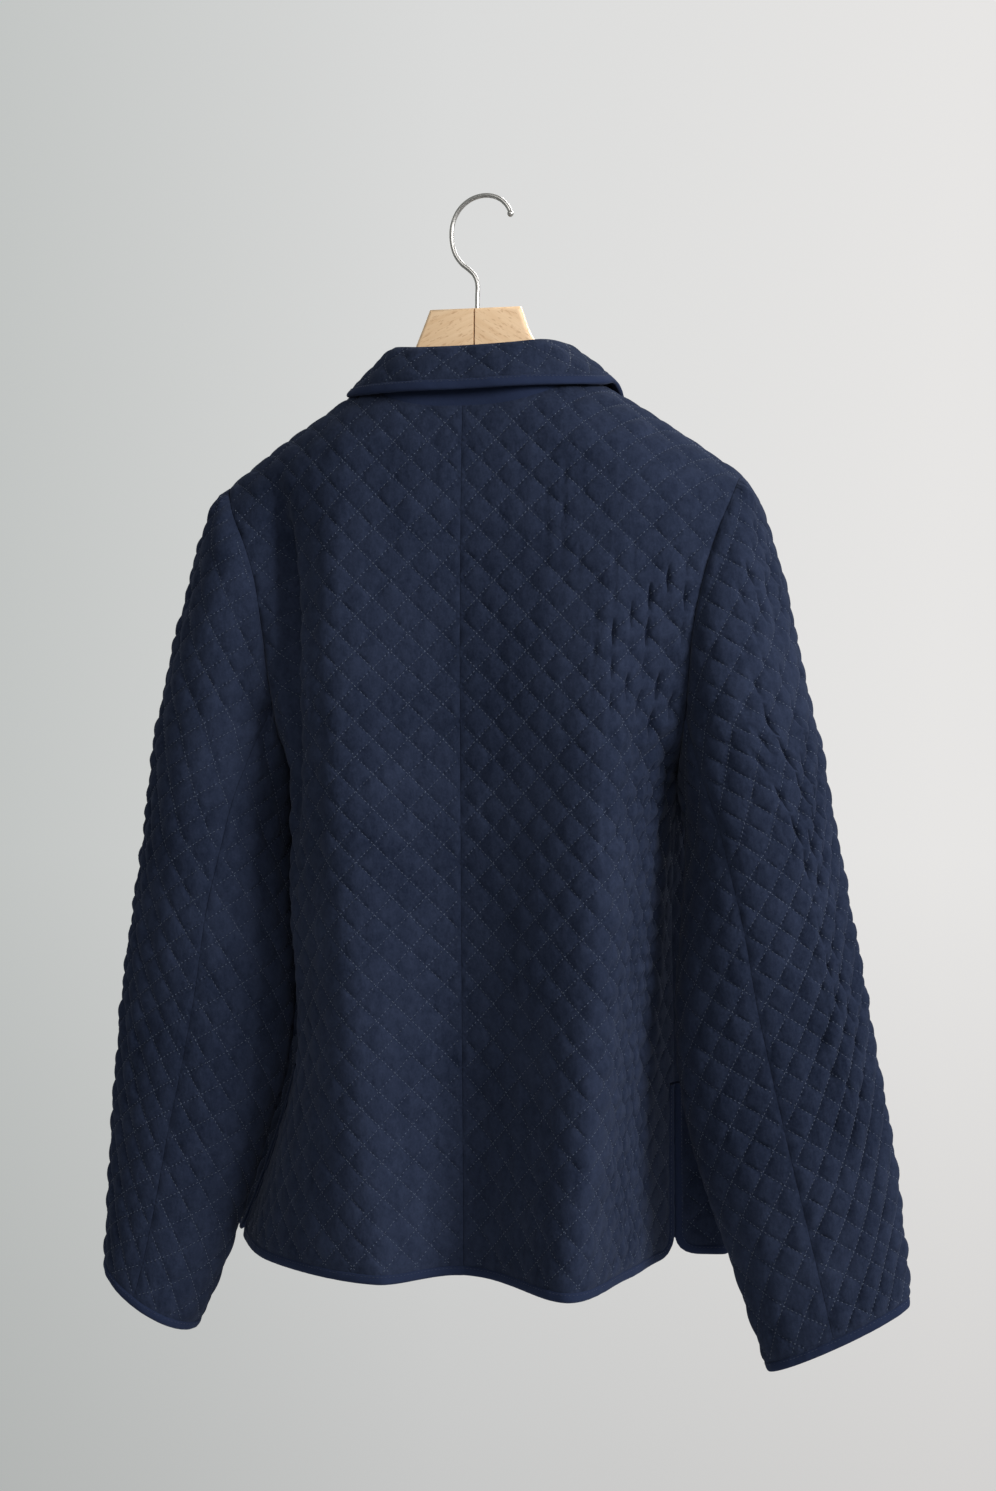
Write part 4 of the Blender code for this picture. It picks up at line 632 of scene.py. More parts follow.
class CollarSheet(Sheet):
    """The turned-down fall: u runs round the neck from the centre back, v down from the fold."""

    SAMPLES = 161
    FOLD_CLOTH = 6.0                    # taken up by the turn of the fold
    SWELL, SWELL_POWER = 3.17, 0.7      # a swelling whose highest point is 1
    SWELL_OUT, SWELL_UP = 0.75, 0.45

    def __init__(self, rows: Sequence[CollarRow]) -> None:
        """Lay out both halves from the rows of one."""
        half = np.array(rows, float)
        mirrored = half[:0:-1] * np.array([-1, 1, 1, -1, 1, 1, 1, 1])
        mirrored[:, [1, 4]] += mirrored[:, 7:]
        table = np.vstack([mirrored, half])
        table[:, 2] += table[:, 0] * COLLAR_TILT
        table[:, 5] += table[:, 3] * COLLAR_TILT
        station = arc_lengths((table[:, :3] + table[:, 3:6]) / 2)
        station = station - station[len(rows) - 1]
        self.u = np.linspace(station[0], station[-1], self.SAMPLES)
        fine = through(station, table, self.u)
        self.fold, self.edge, self.bulge = fine[:, :3], fine[:, 3:6], fine[:, 6]
        self.height = np.linalg.norm(self.edge - self.fold, axis=1) + self.FOLD_CLOTH

    def height_at(self, u: Array) -> Array:
        """Depth of the fall at u."""
        return np.interp(u, self.u, self.height)

    def rails(self, u: Array) -> tuple[Array, Array, Array]:
        """The fold's and the edge's points at u, and the level direction from one to the other."""
        fold, edge = (read_line(u, self.u, rail) for rail in (self.fold, self.edge))
        return fold, edge, unit((edge - fold) * np.array([1, 1, 0]))

    def place(self, uv: Array) -> Array:
        """Points in space of flat points."""
        uv = np.asarray(uv, float)
        fold, edge, out = self.rails(uv[:, 0])
        bulge = np.interp(uv[:, 0], self.u, self.bulge)[:, None]
        t = (-uv[:, 1] / self.height_at(uv[:, 0]))[:, None]
        swell = self.SWELL * (1 - t) * np.clip(t, 0, None) ** self.SWELL_POWER * bulge
        flat = fold + (edge - fold) * t
        up = np.array([0, 0, 1.0])
        return flat + out * swell * self.SWELL_OUT + up * swell * self.SWELL_UP


class Seam(NamedTuple):
    """A stretch of outline: flat points, their places in space and their outward directions."""

    uv: Array
    xyz: Array
    normal: Array

    def flip(self) -> "Seam":
        """The same seam run the other way."""
        return Seam(self.uv[::-1], self.xyz[::-1], self.normal[::-1])

    def part(self, first: int, last: int) -> "Seam":
        """The points from one index to another."""
        return Seam(*(one[first : last + 1] for one in self))


def seam_on(sheet: Sheet, uv: Array) -> Seam:
    """A seam that lies where its sheet does."""
    uv = np.asarray(uv, float)
    return Seam(uv, sheet.place(uv), sheet.normals(uv))


def crotch_normals(body: Array, sleeve: Array) -> list[Array]:
    """Directions for the armhole's two rims, which turn down where the pieces face each other."""
    found = body + sleeve
    short = (2 - np.linalg.norm(found, axis=1))[:, None]
    found = unit(found + short * np.array([0, 0, -CROTCH_DROP]))
    return [unit(found + own * short * CROTCH_OWN) for own in (body, sleeve)]


def signed_area(outline: Array) -> float:
    """Twice the area of a closed outline, above zero where it runs anticlockwise."""
    ends = np.roll(outline, -1, axis=0)
    return float(np.sum(outline[:, 0] * ends[:, 1] - outline[:, 1] * ends[:, 0]))


def inset(uv: Array, distance: float) -> Array:
    """A closed outline moved inwards by a distance."""
    ahead = unit(np.roll(uv, -1, axis=0) - uv)
    behind = np.roll(ahead, 1, axis=0)
    spin = 1 if signed_area(uv) > 0 else -1
    left = np.column_stack([-ahead[:, 1], ahead[:, 0]]) * spin
    mean = left + np.column_stack([-behind[:, 1], behind[:, 0]]) * spin
    length = np.sum(mean * left, axis=1)
    return uv + mean / np.clip(length, SHARPEST, None)[:, None] * distance


def inside(outline: Array, points: Array) -> Array:
    """Which points lie inside a closed outline."""
    x, y = points[:, 0], points[:, 1]
    found = np.zeros(len(points), bool)
    for (ax, ay), (bx, by) in zip(outline, np.roll(outline, -1, axis=0)):
        if ay != by:
            crosses = (ay > y) != (by > y)
            found ^= crosses & (x < (bx - ax) * (y - ay) / (by - ay) + ax)
    return found


def clearance(outline: Array, points: Array) -> Array:
    """Distance from each point to the nearest outline point."""
    index = np.empty(len(points), int)
    size = np.sum(outline**2, axis=1)
    for low in range(0, len(points), CHUNK):
        some = slice(low, low + CHUNK)
        index[some] = (size - 2 * points[some] @ outline.T).argmin(axis=1)
    return np.linalg.norm(points - outline[index], axis=1)


def anticlockwise(a: Array, b: Array, c: Array) -> bool:
    """Whether three flat points run anticlockwise."""
    return (b[0] - a[0]) * (c[1] - a[1]) - (b[1] - a[1]) * (c[0] - a[0]) > 0


def band(first: int, second: int, sides: int, turned: bool = False) -> list[tuple[int, ...]]:
    """Faces between two rings of points, given the index of each ring's first point."""
    found = []
    for k in range(sides):
        m = (k + 1) % sides
        a, b, c, d = first + k, first + m, second + m, second + k
        found.append((a, d, c, b) if turned else (a, b, c, d))
    return found


def loft(rings: int, sides: int, start: int = 0, turned: bool = False) -> list[tuple[int, ...]]:
    """Faces of a closed body through rings of points, the first of which begins at start."""
    faces = []
    for low in range(start, start + (rings - 1) * sides, sides):
        faces += band(low, low + sides, sides, turned)
    last = start + (rings - 1) * sides
    ends = [tuple(range(low, low + sides)) for low in (start, last)]
    return [*faces, ends[0], ends[1][::-1]] if turned else [*faces, ends[0][::-1], ends[1]]


def wire(
    line: Array, aside: Sequence[float], radius: Array, sides: int, start: int = 0
) -> tuple[Array, list[tuple[int, ...]]]:
    """A round wire.

    Args:
        line: the points of its middle line.
        aside: a direction that its line never takes.
        radius: its radius at each point.
        sides: how many points a ring has.
        start: index of its first point.

    Returns:
        Its points and its faces.
    """
    angle = np.linspace(0, 2 * math.pi, sides, endpoint=False)[:, None]
    ahead = unit(np.gradient(line, axis=0))
    out = unit(np.cross(ahead, aside))
    up = np.cross(out, ahead)
    rings = [
        place + (a * np.cos(angle) + b * np.sin(angle)) * size
        for place, a, b, size in zip(line, out, up, radius)
    ]
    return np.concatenate(rings), loft(len(line), sides, start, turned=True)


def rounded(corner: Array, before: Array, after: Array, radius: float, pieces: int) -> Array:
    """An arc of flat points in place of a corner."""
    corner, before, after = (np.asarray(p, float) for p in (corner, before, after))
    first = corner + (before - corner) / np.linalg.norm(before - corner) * radius
    last = corner + (after - corner) / np.linalg.norm(after - corner) * radius
    t = np.linspace(0, 1, pieces + 1)[:, None]
    return first * (1 - t) ** 2 + corner * 2 * t * (1 - t) + last * t**2


def trimmed(run: Array, first: float, last: float = 0.0) -> Array:
    """A run of flat points with its ends moved inwards along it."""
    length = arc_lengths(run)
    at = np.concatenate([[first], length[(length > first) & (length < length[-1] - last)]])
    at = np.append(at, length[-1] - last)
    return read_line(at, length, run)


def neck_run(sheet: BodySheet, table: Sequence[tuple[float, float]], fine: int = 9) -> Array:
    """Flat points of a neckline given as (x, z)."""
    x, z = smooth(table, fine * (len(table) - 1) + 1).T
    v = np.where(x >= NECK_POINT[0] - 1e-6, ridge_z(x) + ROOF_EXTRA, flat_height(x, z))
    return np.column_stack([sheet.u_at(x, v), v])


Colour = tuple[float, float, float]


@dataclass
class Value:
    """A node's output, on which sums are written as plain expressions."""

    shader: "Shader"
    socket: bpy.types.NodeSocket

    def _sum(self, operation: str, first: object, second: object) -> "Value":
        """One Math node."""
        return self.shader.node("ShaderNodeMath", {"operation": operation}, [first, second])

    def __add__(self, other: object) -> "Value":
        """self + other."""
        return self._sum("ADD", self, other)

    def __mul__(self, other: object) -> "Value":
        """self * other."""
        return self._sum("MULTIPLY", self, other)

    def __sub__(self, other: object) -> "Value":
        """self - other."""
        return self._sum("SUBTRACT", self, other)

    def __rsub__(self, other: object) -> "Value":
        """other - self."""
        return self._sum("SUBTRACT", other, self)

    def fraction(self) -> "Value":
        """What is over the whole number."""
        return self._sum("FRACT", self, 0.0)

    def wave(self) -> "Value":
        """Its sine."""
        return self._sum("SINE", self, 0.0)

    def absolute(self) -> "Value":
        """Its size without its sign."""
        return self._sum("ABSOLUTE", self, 0.0)

    def clamped(self) -> "Value":
        """Itself, kept between 0 and 1."""
        return self.shader.node("ShaderNodeClamp", {}, [self])


class Shader:
    """A material and its node tree."""

    def __init__(self, name: str) -> None:
        """Start the material with a bare Principled shader."""
        self.material = bpy.data.materials.new(name)
        self.material.use_nodes = True
        self.tree = self.material.node_tree
        self.principled = self.tree.nodes["Principled BSDF"]

    def node(
        self, kind: str, settings: dict, inputs: "dict | list", output: "int | str" = 0
    ) -> Value:
        """Add one node.

        Args:
            kind: the node's type.
            settings: its own settings; "stops" holds a ramp's (position, colour) pairs.
            inputs: values or links of its sockets, by name or by place.
            output: the socket that is handed on.

        Returns:
            The output, as a Value.
        """
        made = self.tree.nodes.new(kind)
        for name, value in settings.items():
            if name == "stops":
                ramp = made.color_ramp.elements
                while len(ramp) < len(value):
                    ramp.new(0.5)
                for element, (position, colour) in zip(ramp, value):
                    element.position, element.color = position, (*colour, 1.0)
            else:
                setattr(made, name, value)
        pairs = inputs.items() if isinstance(inputs, dict) else enumerate(inputs)
        for name, value in pairs:
            self.feed(made.inputs[name], value)
        return Value(self, made.outputs[output])

    def feed(self, socket: bpy.types.NodeSocket, value: object) -> None:
        """Link or set one socket."""
        if isinstance(value, Value):
            self.tree.links.new(value.socket, socket)
        elif hasattr(value, "__len__") and len(value) == 3 and socket.type == "RGBA":
            socket.default_value = (*value, 1.0)
        else:
            socket.default_value = value

    def surface(self, **sockets: object) -> None:
        """Set the Principled shader's sockets, named with _ for a blank."""
        for name, value in sockets.items():
            self.feed(self.principled.inputs[name.replace("_", " ")], value)

    def place(self, name: str = "Object") -> Value:
        """Texture coordinates of a kind."""
        return self.node("ShaderNodeTexCoord", {}, {}, name)

    def mapped(
        self, place: Value, scale: Sequence[float], turn: Sequence[float] = (0, 0, 0)
    ) -> Value:
        """Coordinates turned and scaled."""
        sockets = {"Vector": place, "Scale": scale, "Rotation": turn}
        return self.node("ShaderNodeMapping", {}, sockets)

    def noise(self, place: Value, scale: float, detail: float = 3.0, rough: float = 0.55) -> Value:
        """Soft noise from 0 to 1."""
        sockets = {"Vector": place, "Scale": scale, "Detail": detail, "Roughness": rough}
        return self.node("ShaderNodeTexNoise", {"noise_dimensions": "3D"}, sockets)

    def parts(self, vector: Value) -> list[Value]:
        """The three parts of a vector."""
        return [self.node("ShaderNodeSeparateXYZ", {}, [vector], axis) for axis in range(3)]

    def ranged(self, value: Value, given: Sequence[float], wanted: Sequence[float]) -> Value:
        """A value carried, within its limits, from one range to another."""
        return self.node("ShaderNodeMapRange", {}, [value, *given, *wanted])

    def blend(self, share: object, first: object, second: object, way: str = "MIX") -> Value:
        """A mix of two colours."""
        settings = {"data_type": "RGBA", "blend_type": way}
        return self.node("ShaderNodeMix", settings, {0: share, 6: first, 7: second}, 2)

    def bump(
        self, height: Value, distance: float, strength: float = 1.0, after: Value | None = None
    ) -> Value:
        """A bump from a height from 0 to 1, distance metres high."""
        sockets = {"Height": height, "Distance": distance, "Strength": strength}
        if after is not None:
            sockets["Normal"] = after
        return self.node("ShaderNodeBump", {}, sockets)


class Sky(Shader):
    """The world's light and its node tree."""

    def __init__(self, name: str) -> None:
        """Start the world."""
        world = bpy.data.worlds.new(name)
        world.use_nodes = True
        bpy.context.scene.world = world
        self.tree = world.node_tree


class Look:
    """A finish with a name, which lays out the nodes of its material."""

    def paint(self, s: Shader) -> None:
        """Lay out its nodes."""
        raise NotImplementedError

    def build(self) -> bpy.types.Material:
        """Make the material."""
        shader = Shader(self.name)
        self.paint(shader)
        return shader.material


@dataclass(frozen=True)
class QuiltedCloth(Look):
    """Microfibre cloth, quilted in diamonds; its UV map counts the stitch lines both ways."""

    name: str = "quilted_cloth"
    shade: Colour = (0.0074, 0.0108, 0.0222)
    light: Colour = (0.0250, 0.0330, 0.0600)
    weave: float = 46.0         # threads to a quilting square
    ripples: float = 31.0       # radians of pucker along a square's side
    fade: float = 5.5           # how fast the puckers end beside a stitch line
    roughness: float = 0.78

    def paint(self, s: Shader) -> None:
        """Lay out its nodes."""
        cells = s.place("UV")
        a, b, _ = s.parts(cells)
        rises = []
        for along, across in ((a, b), (b, a)):
            off = ((across + 0.5).fraction() - 0.5).absolute()
            near = (1.0 - off * self.fade).clamped()
            ripple = (along * self.ripples + (across * 0.9).wave() * 2.5).wave()
            rises.append(near * near * ripple)
        pucker = rises[0] + rises[1]
        place = s.place()
        cloud = s.noise(place, 9.0, 4.0)
        rumple = s.noise(s.mapped(place, (1.0, 1.0, 0.55)), 75.0, 3.0, 0.6)
        turns = 6.2832 * self.weave
        warp = (a * turns).wave() * (b * turns).wave()
        fleck = s.noise(place, 620.0, 2.0)
        crinkle = s.noise(s.mapped(place, (1.0, 1.0, 0.7)), 230.0, 3.0, 0.6)
        tone = (cloud * 0.8 + rumple * 0.7 + crinkle * 0.8 + fleck * 0.7 - 1.02).clamped()
        soft = s.bump(crinkle, 0.0006, 0.7, s.bump(rumple, 0.0013, 0.8))
        puckered = s.bump(pucker * 0.5 + 0.5, 0.00042, 0.8, soft)
        woven = s.bump(warp * 0.5 + fleck * 0.5, 0.00009, 0.6, puckered)
        s.surface(
            Base_Color=s.blend(tone, self.shade, self.light),
            Roughness=fleck * 0.12 + (self.roughness - 0.06),
            Normal=woven,
            Sheen_Weight=0.07,
            Sheen_Roughness=SHEEN_ROUGHNESS,
            Sheen_Tint=SHEEN_TINT,
            Specular_IOR_Level=0.0,
        )


@dataclass(frozen=True)
class PlainCloth(Look):
    """Plain woven cloth: the bindings' tape, or the lining."""

    name: str
    shade: Colour
    light: Colour
    roughness: float
    threads: float      # to a metre
    sheen: float

    def paint(self, s: Shader) -> None:
        """Lay out its nodes."""
        place = s.place()
        cloud = s.noise(place, 14.0, 4.0)
        rumple = s.noise(place, 120.0, 3.0)
        rib = s.noise(s.mapped(place, (1.0, 1.0, 0.35)), self.threads, 1.0)
        tone = (cloud * 0.6 + rib * 0.5 - 0.1).clamped()
        soft = s.bump(rumple, 0.0006, 0.6)
        s.surface(
            Base_Color=s.blend(tone, self.shade, self.light),
            Roughness=rib * 0.14 + (self.roughness - 0.07),
            Normal=s.bump(rib, 0.00012, 0.7, soft),
            Sheen_Weight=self.sheen,
            Sheen_Roughness=SHEEN_ROUGHNESS,
            Sheen_Tint=SHEEN_TINT,
            Specular_IOR_Level=0.0,
        )


@dataclass(frozen=True)
class Thread(Look):
    """Sewing thread, a little shiny."""

    name: str
    colour: Colour

    def paint(self, s: Shader) -> None:
        """Lay out its nodes."""
        shade = s.noise(s.place(), 260.0, 2.0)
        dark = tuple(0.72 * part for part in self.colour)
        s.surface(
            Base_Color=s.blend(shade, dark, self.colour),
            Roughness=shade * 0.2 + 0.42,
            Normal=s.bump(s.noise(s.place(), 2600.0, 1.0), 0.00005),
        )


@dataclass(frozen=True)
class Beech(Look):
    """Lacquered beech whose grain runs along a hanger arm."""

    name: str
    lean: float         # degrees that the grain rises towards +X
    pale: Colour = (0.78, 0.57, 0.36)
    deep: Colour = (0.62, 0.40, 0.215)
    fleck: Colour = (0.42, 0.23, 0.11)

    def paint(self, s: Shader) -> None:
        """Lay out its nodes."""
        along = s.mapped(s.place(), (1, 1, 1), (0.0, math.radians(self.lean), 0.0))
        rings = s.noise(s.mapped(along, (4.0, 60.0, 60.0)), 3.2, 5.0, 0.62)
        fine = s.noise(s.mapped(along, (26.0, 700.0, 700.0)), 1.6, 3.0)
        ray = s.noise(s.mapped(along, (90.0, 420.0, 420.0)), 2.2, 1.0)
        flecks = ((ray - 0.60) * 9.0).clamped()
        wood = s.blend((rings * 1.7 - 0.4).clamped(), self.pale, self.deep)
        wood = s.blend((fine * 0.9 - 0.22).clamped() * 0.35, wood, self.deep)
        grain = s.bump(fine, 0.00008, 0.5)
        s.surface(
            Base_Color=s.blend(flecks * 0.55, wood, self.fleck),
            Roughness=fine * 0.14 + 0.34,
            Normal=s.bump(flecks, 0.00005, 0.5, grain),
            Coat_Weight=rings * 0.2 + 0.12,
            Coat_Roughness=0.22,
        )


@dataclass(frozen=True)
class PlatedSteel(Look):
    """Plated wire with drawing marks and a little tarnish."""

    name: str = "plated_steel"
    bright: Colour = (0.50, 0.49, 0.47)
    dull: Colour = (0.34, 0.33, 0.31)

    def paint(self, s: Shader) -> None:
        """Lay out its nodes."""
        place = s.place()
        tarnish = (s.noise(place, 60.0, 3.0) * 1.6 - 0.45).clamped()
        marks = s.noise(place, 160.0, 2.0)
        s.surface(
            Base_Color=s.blend(tarnish, self.bright, self.dull),
            Metallic=1.0,
            Roughness=tarnish * 0.12 + marks * 0.06 + 0.22,
            Normal=s.bump(marks, 0.00002, 0.4),
        )


@dataclass(frozen=True)
class Moulded(Look):
    """Moulded button with a soft marble."""

    name: str = "button_moulding"
    shade: Colour = (0.011, 0.013, 0.022)
    light: Colour = (0.040, 0.046, 0.070)

    def paint(self, s: Shader) -> None:
        """Lay out its nodes."""
        place = s.place()
        swirl = s.noise(s.mapped(place, (1.0, 0.4, 1.6)), 190.0, 4.0, 0.6)
        s.surface(
            Base_Color=s.blend((swirl * 2.0 - 0.6).clamped(), self.shade, self.light),
            Roughness=swirl * 0.14 + 0.20,
            Normal=s.bump(s.noise(place, 420.0, 2.0), 0.00006, 0.6),
            Coat_Weight=0.25,
            Coat_Roughness=0.14,
        )


class Finish(Enum):
    """Every finish of the jacket and its hanger."""

    QUILTED = QuiltedCloth()
    TAPE = PlainCloth(
        "binding_tape", (0.0115, 0.0165, 0.0360), (0.0185, 0.0265, 0.0560), 0.74, 1500.0, 0.07
    )
    LINING = PlainCloth(
        "lining", (0.0085, 0.0115, 0.0240), (0.0140, 0.0185, 0.0360), 0.46, 2400.0, 0.03
    )
    QUILT_THREAD = Thread("quilting_thread", (0.115, 0.145, 0.205))
    TAPE_THREAD = Thread("binding_thread", (0.030, 0.040, 0.070))
    BEECH_RIGHT = Beech("beech_right", -34.0)
    BEECH_LEFT = Beech("beech_left", 24.0)
    STEEL = PlatedSteel()
    BUTTON = Moulded()

    def material(self) -> bpy.types.Material:
        """Its material, made when it is first asked for."""
        return bpy.data.materials.get(self.value.name) or self.value.build()


def add_object(name: str, data: bpy.types.ID) -> bpy.types.Object:
    """An object in the scene."""
    made = bpy.data.objects.new(name, data)
    bpy.context.collection.objects.link(made)
    return made


def add_mesh(
    name: str,
    points: Array,
    faces: Sequence[Sequence[int]],
    finishes: Sequence[Finish],
    which: Array | None = None,
    uv: Array | None = None,
    crease: float = 50.0,
) -> bpy.types.Object:
    """Make a piece.

    Args:
        name: its name.
        points: its points in millimetres.
        faces: its faces, as indices of points.
        finishes: its finishes.
        which: for each face, the index of its finish.
        uv: for each point, its place in the UV map.
        crease: edges that turn more than this many degrees stay sharp.

    Returns:
        The object, riding on the jacket's body.
    """
    mesh = bpy.data.meshes.new(name)
    mesh.from_pydata((np.asarray(points) * MM).tolist(), [], faces)
    for finish in finishes:
        mesh.materials.append(finish.material())
    if which is not None:
        mesh.polygons.foreach_set("material_index", np.asarray(which, np.int32))
    if uv is not None:
        layer = mesh.uv_layers.new(name="cloth")
        corner = np.empty(len(mesh.loops), np.int32)
        mesh.loops.foreach_get("vertex_index", corner)
        layer.data.foreach_set("uv", np.asarray(uv, np.float32)[corner].reshape(-1))
    mesh.shade_smooth()
    mesh.set_sharp_from_angle(angle=math.radians(crease))
    made = add_object(name, mesh)
    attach(made, "root")
    return made


@dataclass
class StitchRows:
    """Runs of stitches that lie on the cloth, made by one Geometry Nodes tree."""

    name: str
    finish: Finish
    pitch: float = 3.3
    length: float = 2.15
    width: float = 0.42
    seed: int = 7
    lines: list[Array] = field(default_factory=list)

    SHORTEST, LONGEST = 0.78, 1.12      # shares of the length
    INPUTS = {
        "Geometry": "Geometry",
        **dict.fromkeys(("Pitch", "Length", "Width"), "Float"),
        "Seed": "Int",
        "Thread": "Material",
    }

    def tree(self) -> bpy.types.NodeTree:
        """The tree: curves from edges, even points on them, and a stitch at each."""
        found = bpy.data.node_groups.get("stitch_rows")
        if found:
            return found
        tree = bpy.data.node_groups.new("stitch_rows", "GeometryNodeTree")
        for label, kind in self.INPUTS.items():
            tree.interface.new_socket(label, in_out="INPUT", socket_type="NodeSocket" + kind)
        tree.interface.new_socket(
            "Geometry", in_out="OUTPUT", socket_type="NodeSocketGeometry"
        )
        add = tree.nodes.new
        given, out = add("NodeGroupInput"), add("NodeGroupOutput")
        curve, points = add("GeometryNodeMeshToCurve"), add("GeometryNodeCurveToPoints")
        points.mode = "LENGTH"
        grain = add("GeometryNodeMeshUVSphere")
        for label, value in (("Segments", 4), ("Rings", 2), ("Radius", 0.5)):
            grain.inputs[label].default_value = value
        draw = add("FunctionNodeRandomValue")
        draw.data_type = "FLOAT"
        draw.inputs[2].default_value = self.SHORTEST
        draw.inputs[3].default_value = self.LONGEST
        longer = add("ShaderNodeMath")
        longer.operation = "MULTIPLY"
        size, spread = add("ShaderNodeCombineXYZ"), add("GeometryNodeInstanceOnPoints")
        real, paint = add("GeometryNodeRealizeInstances"), add("GeometryNodeSetMaterial")
        links = (
            (given, "Geometry", curve, 0),
            (curve, 0, points, "Curve"),
            (given, "Pitch", points, "Length"),
            (given, "Seed", draw, "Seed"),
            (draw, 1, longer, 0),
            (given, "Length", longer, 1),
            (given, "Width", size, 0),
            (given, "Width", size, 1),
            (longer, 0, size, 2),
            (points, "Points", spread, "Points"),
            (grain, "Mesh", spread, "Instance"),
            (points, "Rotation", spread, "Rotation"),
            (size, 0, spread, "Scale"),
            (spread, 0, real, 0),
            (real, 0, paint, "Geometry"),
            (given, "Thread", paint, "Material"),
            (paint, 0, out, 0),
        )
        for source, output, target, entry in links:
            tree.links.new(source.outputs[output], target.inputs[entry])
        return tree

    def build(self, slot: str) -> bpy.types.Object:
        """Sew the rows, as one plain mesh."""
        points = np.vstack(self.lines) * MM
        edges, start = [], 0
        for line in self.lines:
            edges += [(start + i, start + i + 1) for i in range(len(line) - 1)]
            start += len(line)
        mesh = bpy.data.meshes.new(self.name)
        mesh.from_pydata(points.tolist(), edges, [])
        made = add_object(self.name, mesh)
        tree = self.tree()
        sewing = made.modifiers.new("stitches", "NODES")
        sewing.node_group = tree
        sizes = {
            "Pitch": self.pitch * MM,
            "Length": self.length * MM,
            "Width": self.width * MM,
            "Seed": self.seed,
            "Thread": self.finish.material(),
        }
        for item in tree.interface.items_tree:
            if item.in_out == "INPUT" and item.name in sizes:
                sewing[item.identifier] = sizes[item.name]
        graph = bpy.context.evaluated_depsgraph_get()
        sewn = bpy.data.meshes.new_from_object(made.evaluated_get(graph))
        made.modifiers.clear()
        made.data = sewn
        sewn.shade_smooth()
        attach(made, "root")
        LOG.info("%s: %d faces of stitching", self.name, len(sewn.polygons))
        return made


def soft_noise(uv: Array, reach: tuple[float, float], seed: int) -> Array:
    """Smooth chance from -1 to 1 over flat points, with bumps of about reach both ways."""
    size = TABLE_SIZE
    table = np.random.RandomState(seed).uniform(-1, 1, (size, size))
    at = np.asarray(uv, float) / reach
    low = np.floor(at).astype(int)
    t = at - low
    t = t * t * (3 - 2 * t)
    i, j = low.T
    first, second = (
        table[i % size, k % size] * (1 - t[:, 0]) + table[(i + 1) % size, k % size] * t[:, 0]
        for k in (j, j + 1)
    )
    return first * (1 - t[:, 1]) + second * t[:, 1]


def chance(first: Array, second: Array, seed: float) -> Array:
    """A fixed chance from 0 to 1 for each pair of whole numbers."""
    a, b, c, size = CHANCE_MIX
    return np.abs(np.sin(first * a + second * b + seed * c) * size) % 1.0


class Crease(NamedTuple):
    """A soft trough, or a ridge if its height is over 0, along a run of points of a sheet."""

    path: tuple[tuple[float, float], ...]
    width: float
    height: float

    PIECES = 16

    def relief(self, uv: Array) -> Array:
        """Its height at flat points."""
        line = smooth(self.path, self.PIECES + 1)
        best = np.full(len(uv), 1e9)
        share = np.zeros(len(uv))
        for k, (a, b) in enumerate(zip(line[:-1], line[1:])):
            along = b - a
            t = np.clip(((uv - a) @ along) / (along @ along), 0, 1)
            gap = np.linalg.norm(uv - (a + t[:, None] * along), axis=1)
            share = np.where(gap < best, (k + t) / self.PIECES, share)
            best = np.minimum(best, gap)
        taper = np.sin(math.pi * np.clip(share, 0.02, 0.98)) ** 0.6
        return self.height * np.exp(-((best / self.width) ** 2)) * taper


class Patch(NamedTuple):
    """A place where a panel has more or less of something: its middle, its reaches and how much."""

    u: float
    v: float
    reach_u: float
    reach_v: float
    amount: float

    def off(self, uv: Array) -> Array:
        """How far flat points lie from its middle, squared, counted in its reaches."""
        u, v = uv.T
        return ((u - self.u) / self.reach_u) ** 2 + ((v - self.v) / self.reach_v) ** 2

    def share(self, uv: Array) -> Array:
        """How much it adds at flat points."""
        return self.amount * np.exp(-self.off(uv))


@dataclass
class Hang:
    """How one panel hangs: its puffs, folds and nips."""

    puff: float = 1.6
    wave: float = 1.2
    fall: float = 0.0                   # how far the sleeve's head sinks
    wave_reach: tuple[float, float] = (34.0, 120.0)
    creases: Sequence[Crease] = ()
    fullness: Sequence[Patch] = ()      # higher puffs
    rolls: Sequence[Patch] = ()         # puffs that run together into rolls
    pinches: Sequence[Patch] = ()       # stitch crossings nipped into short upright creases
    seed: int = 1


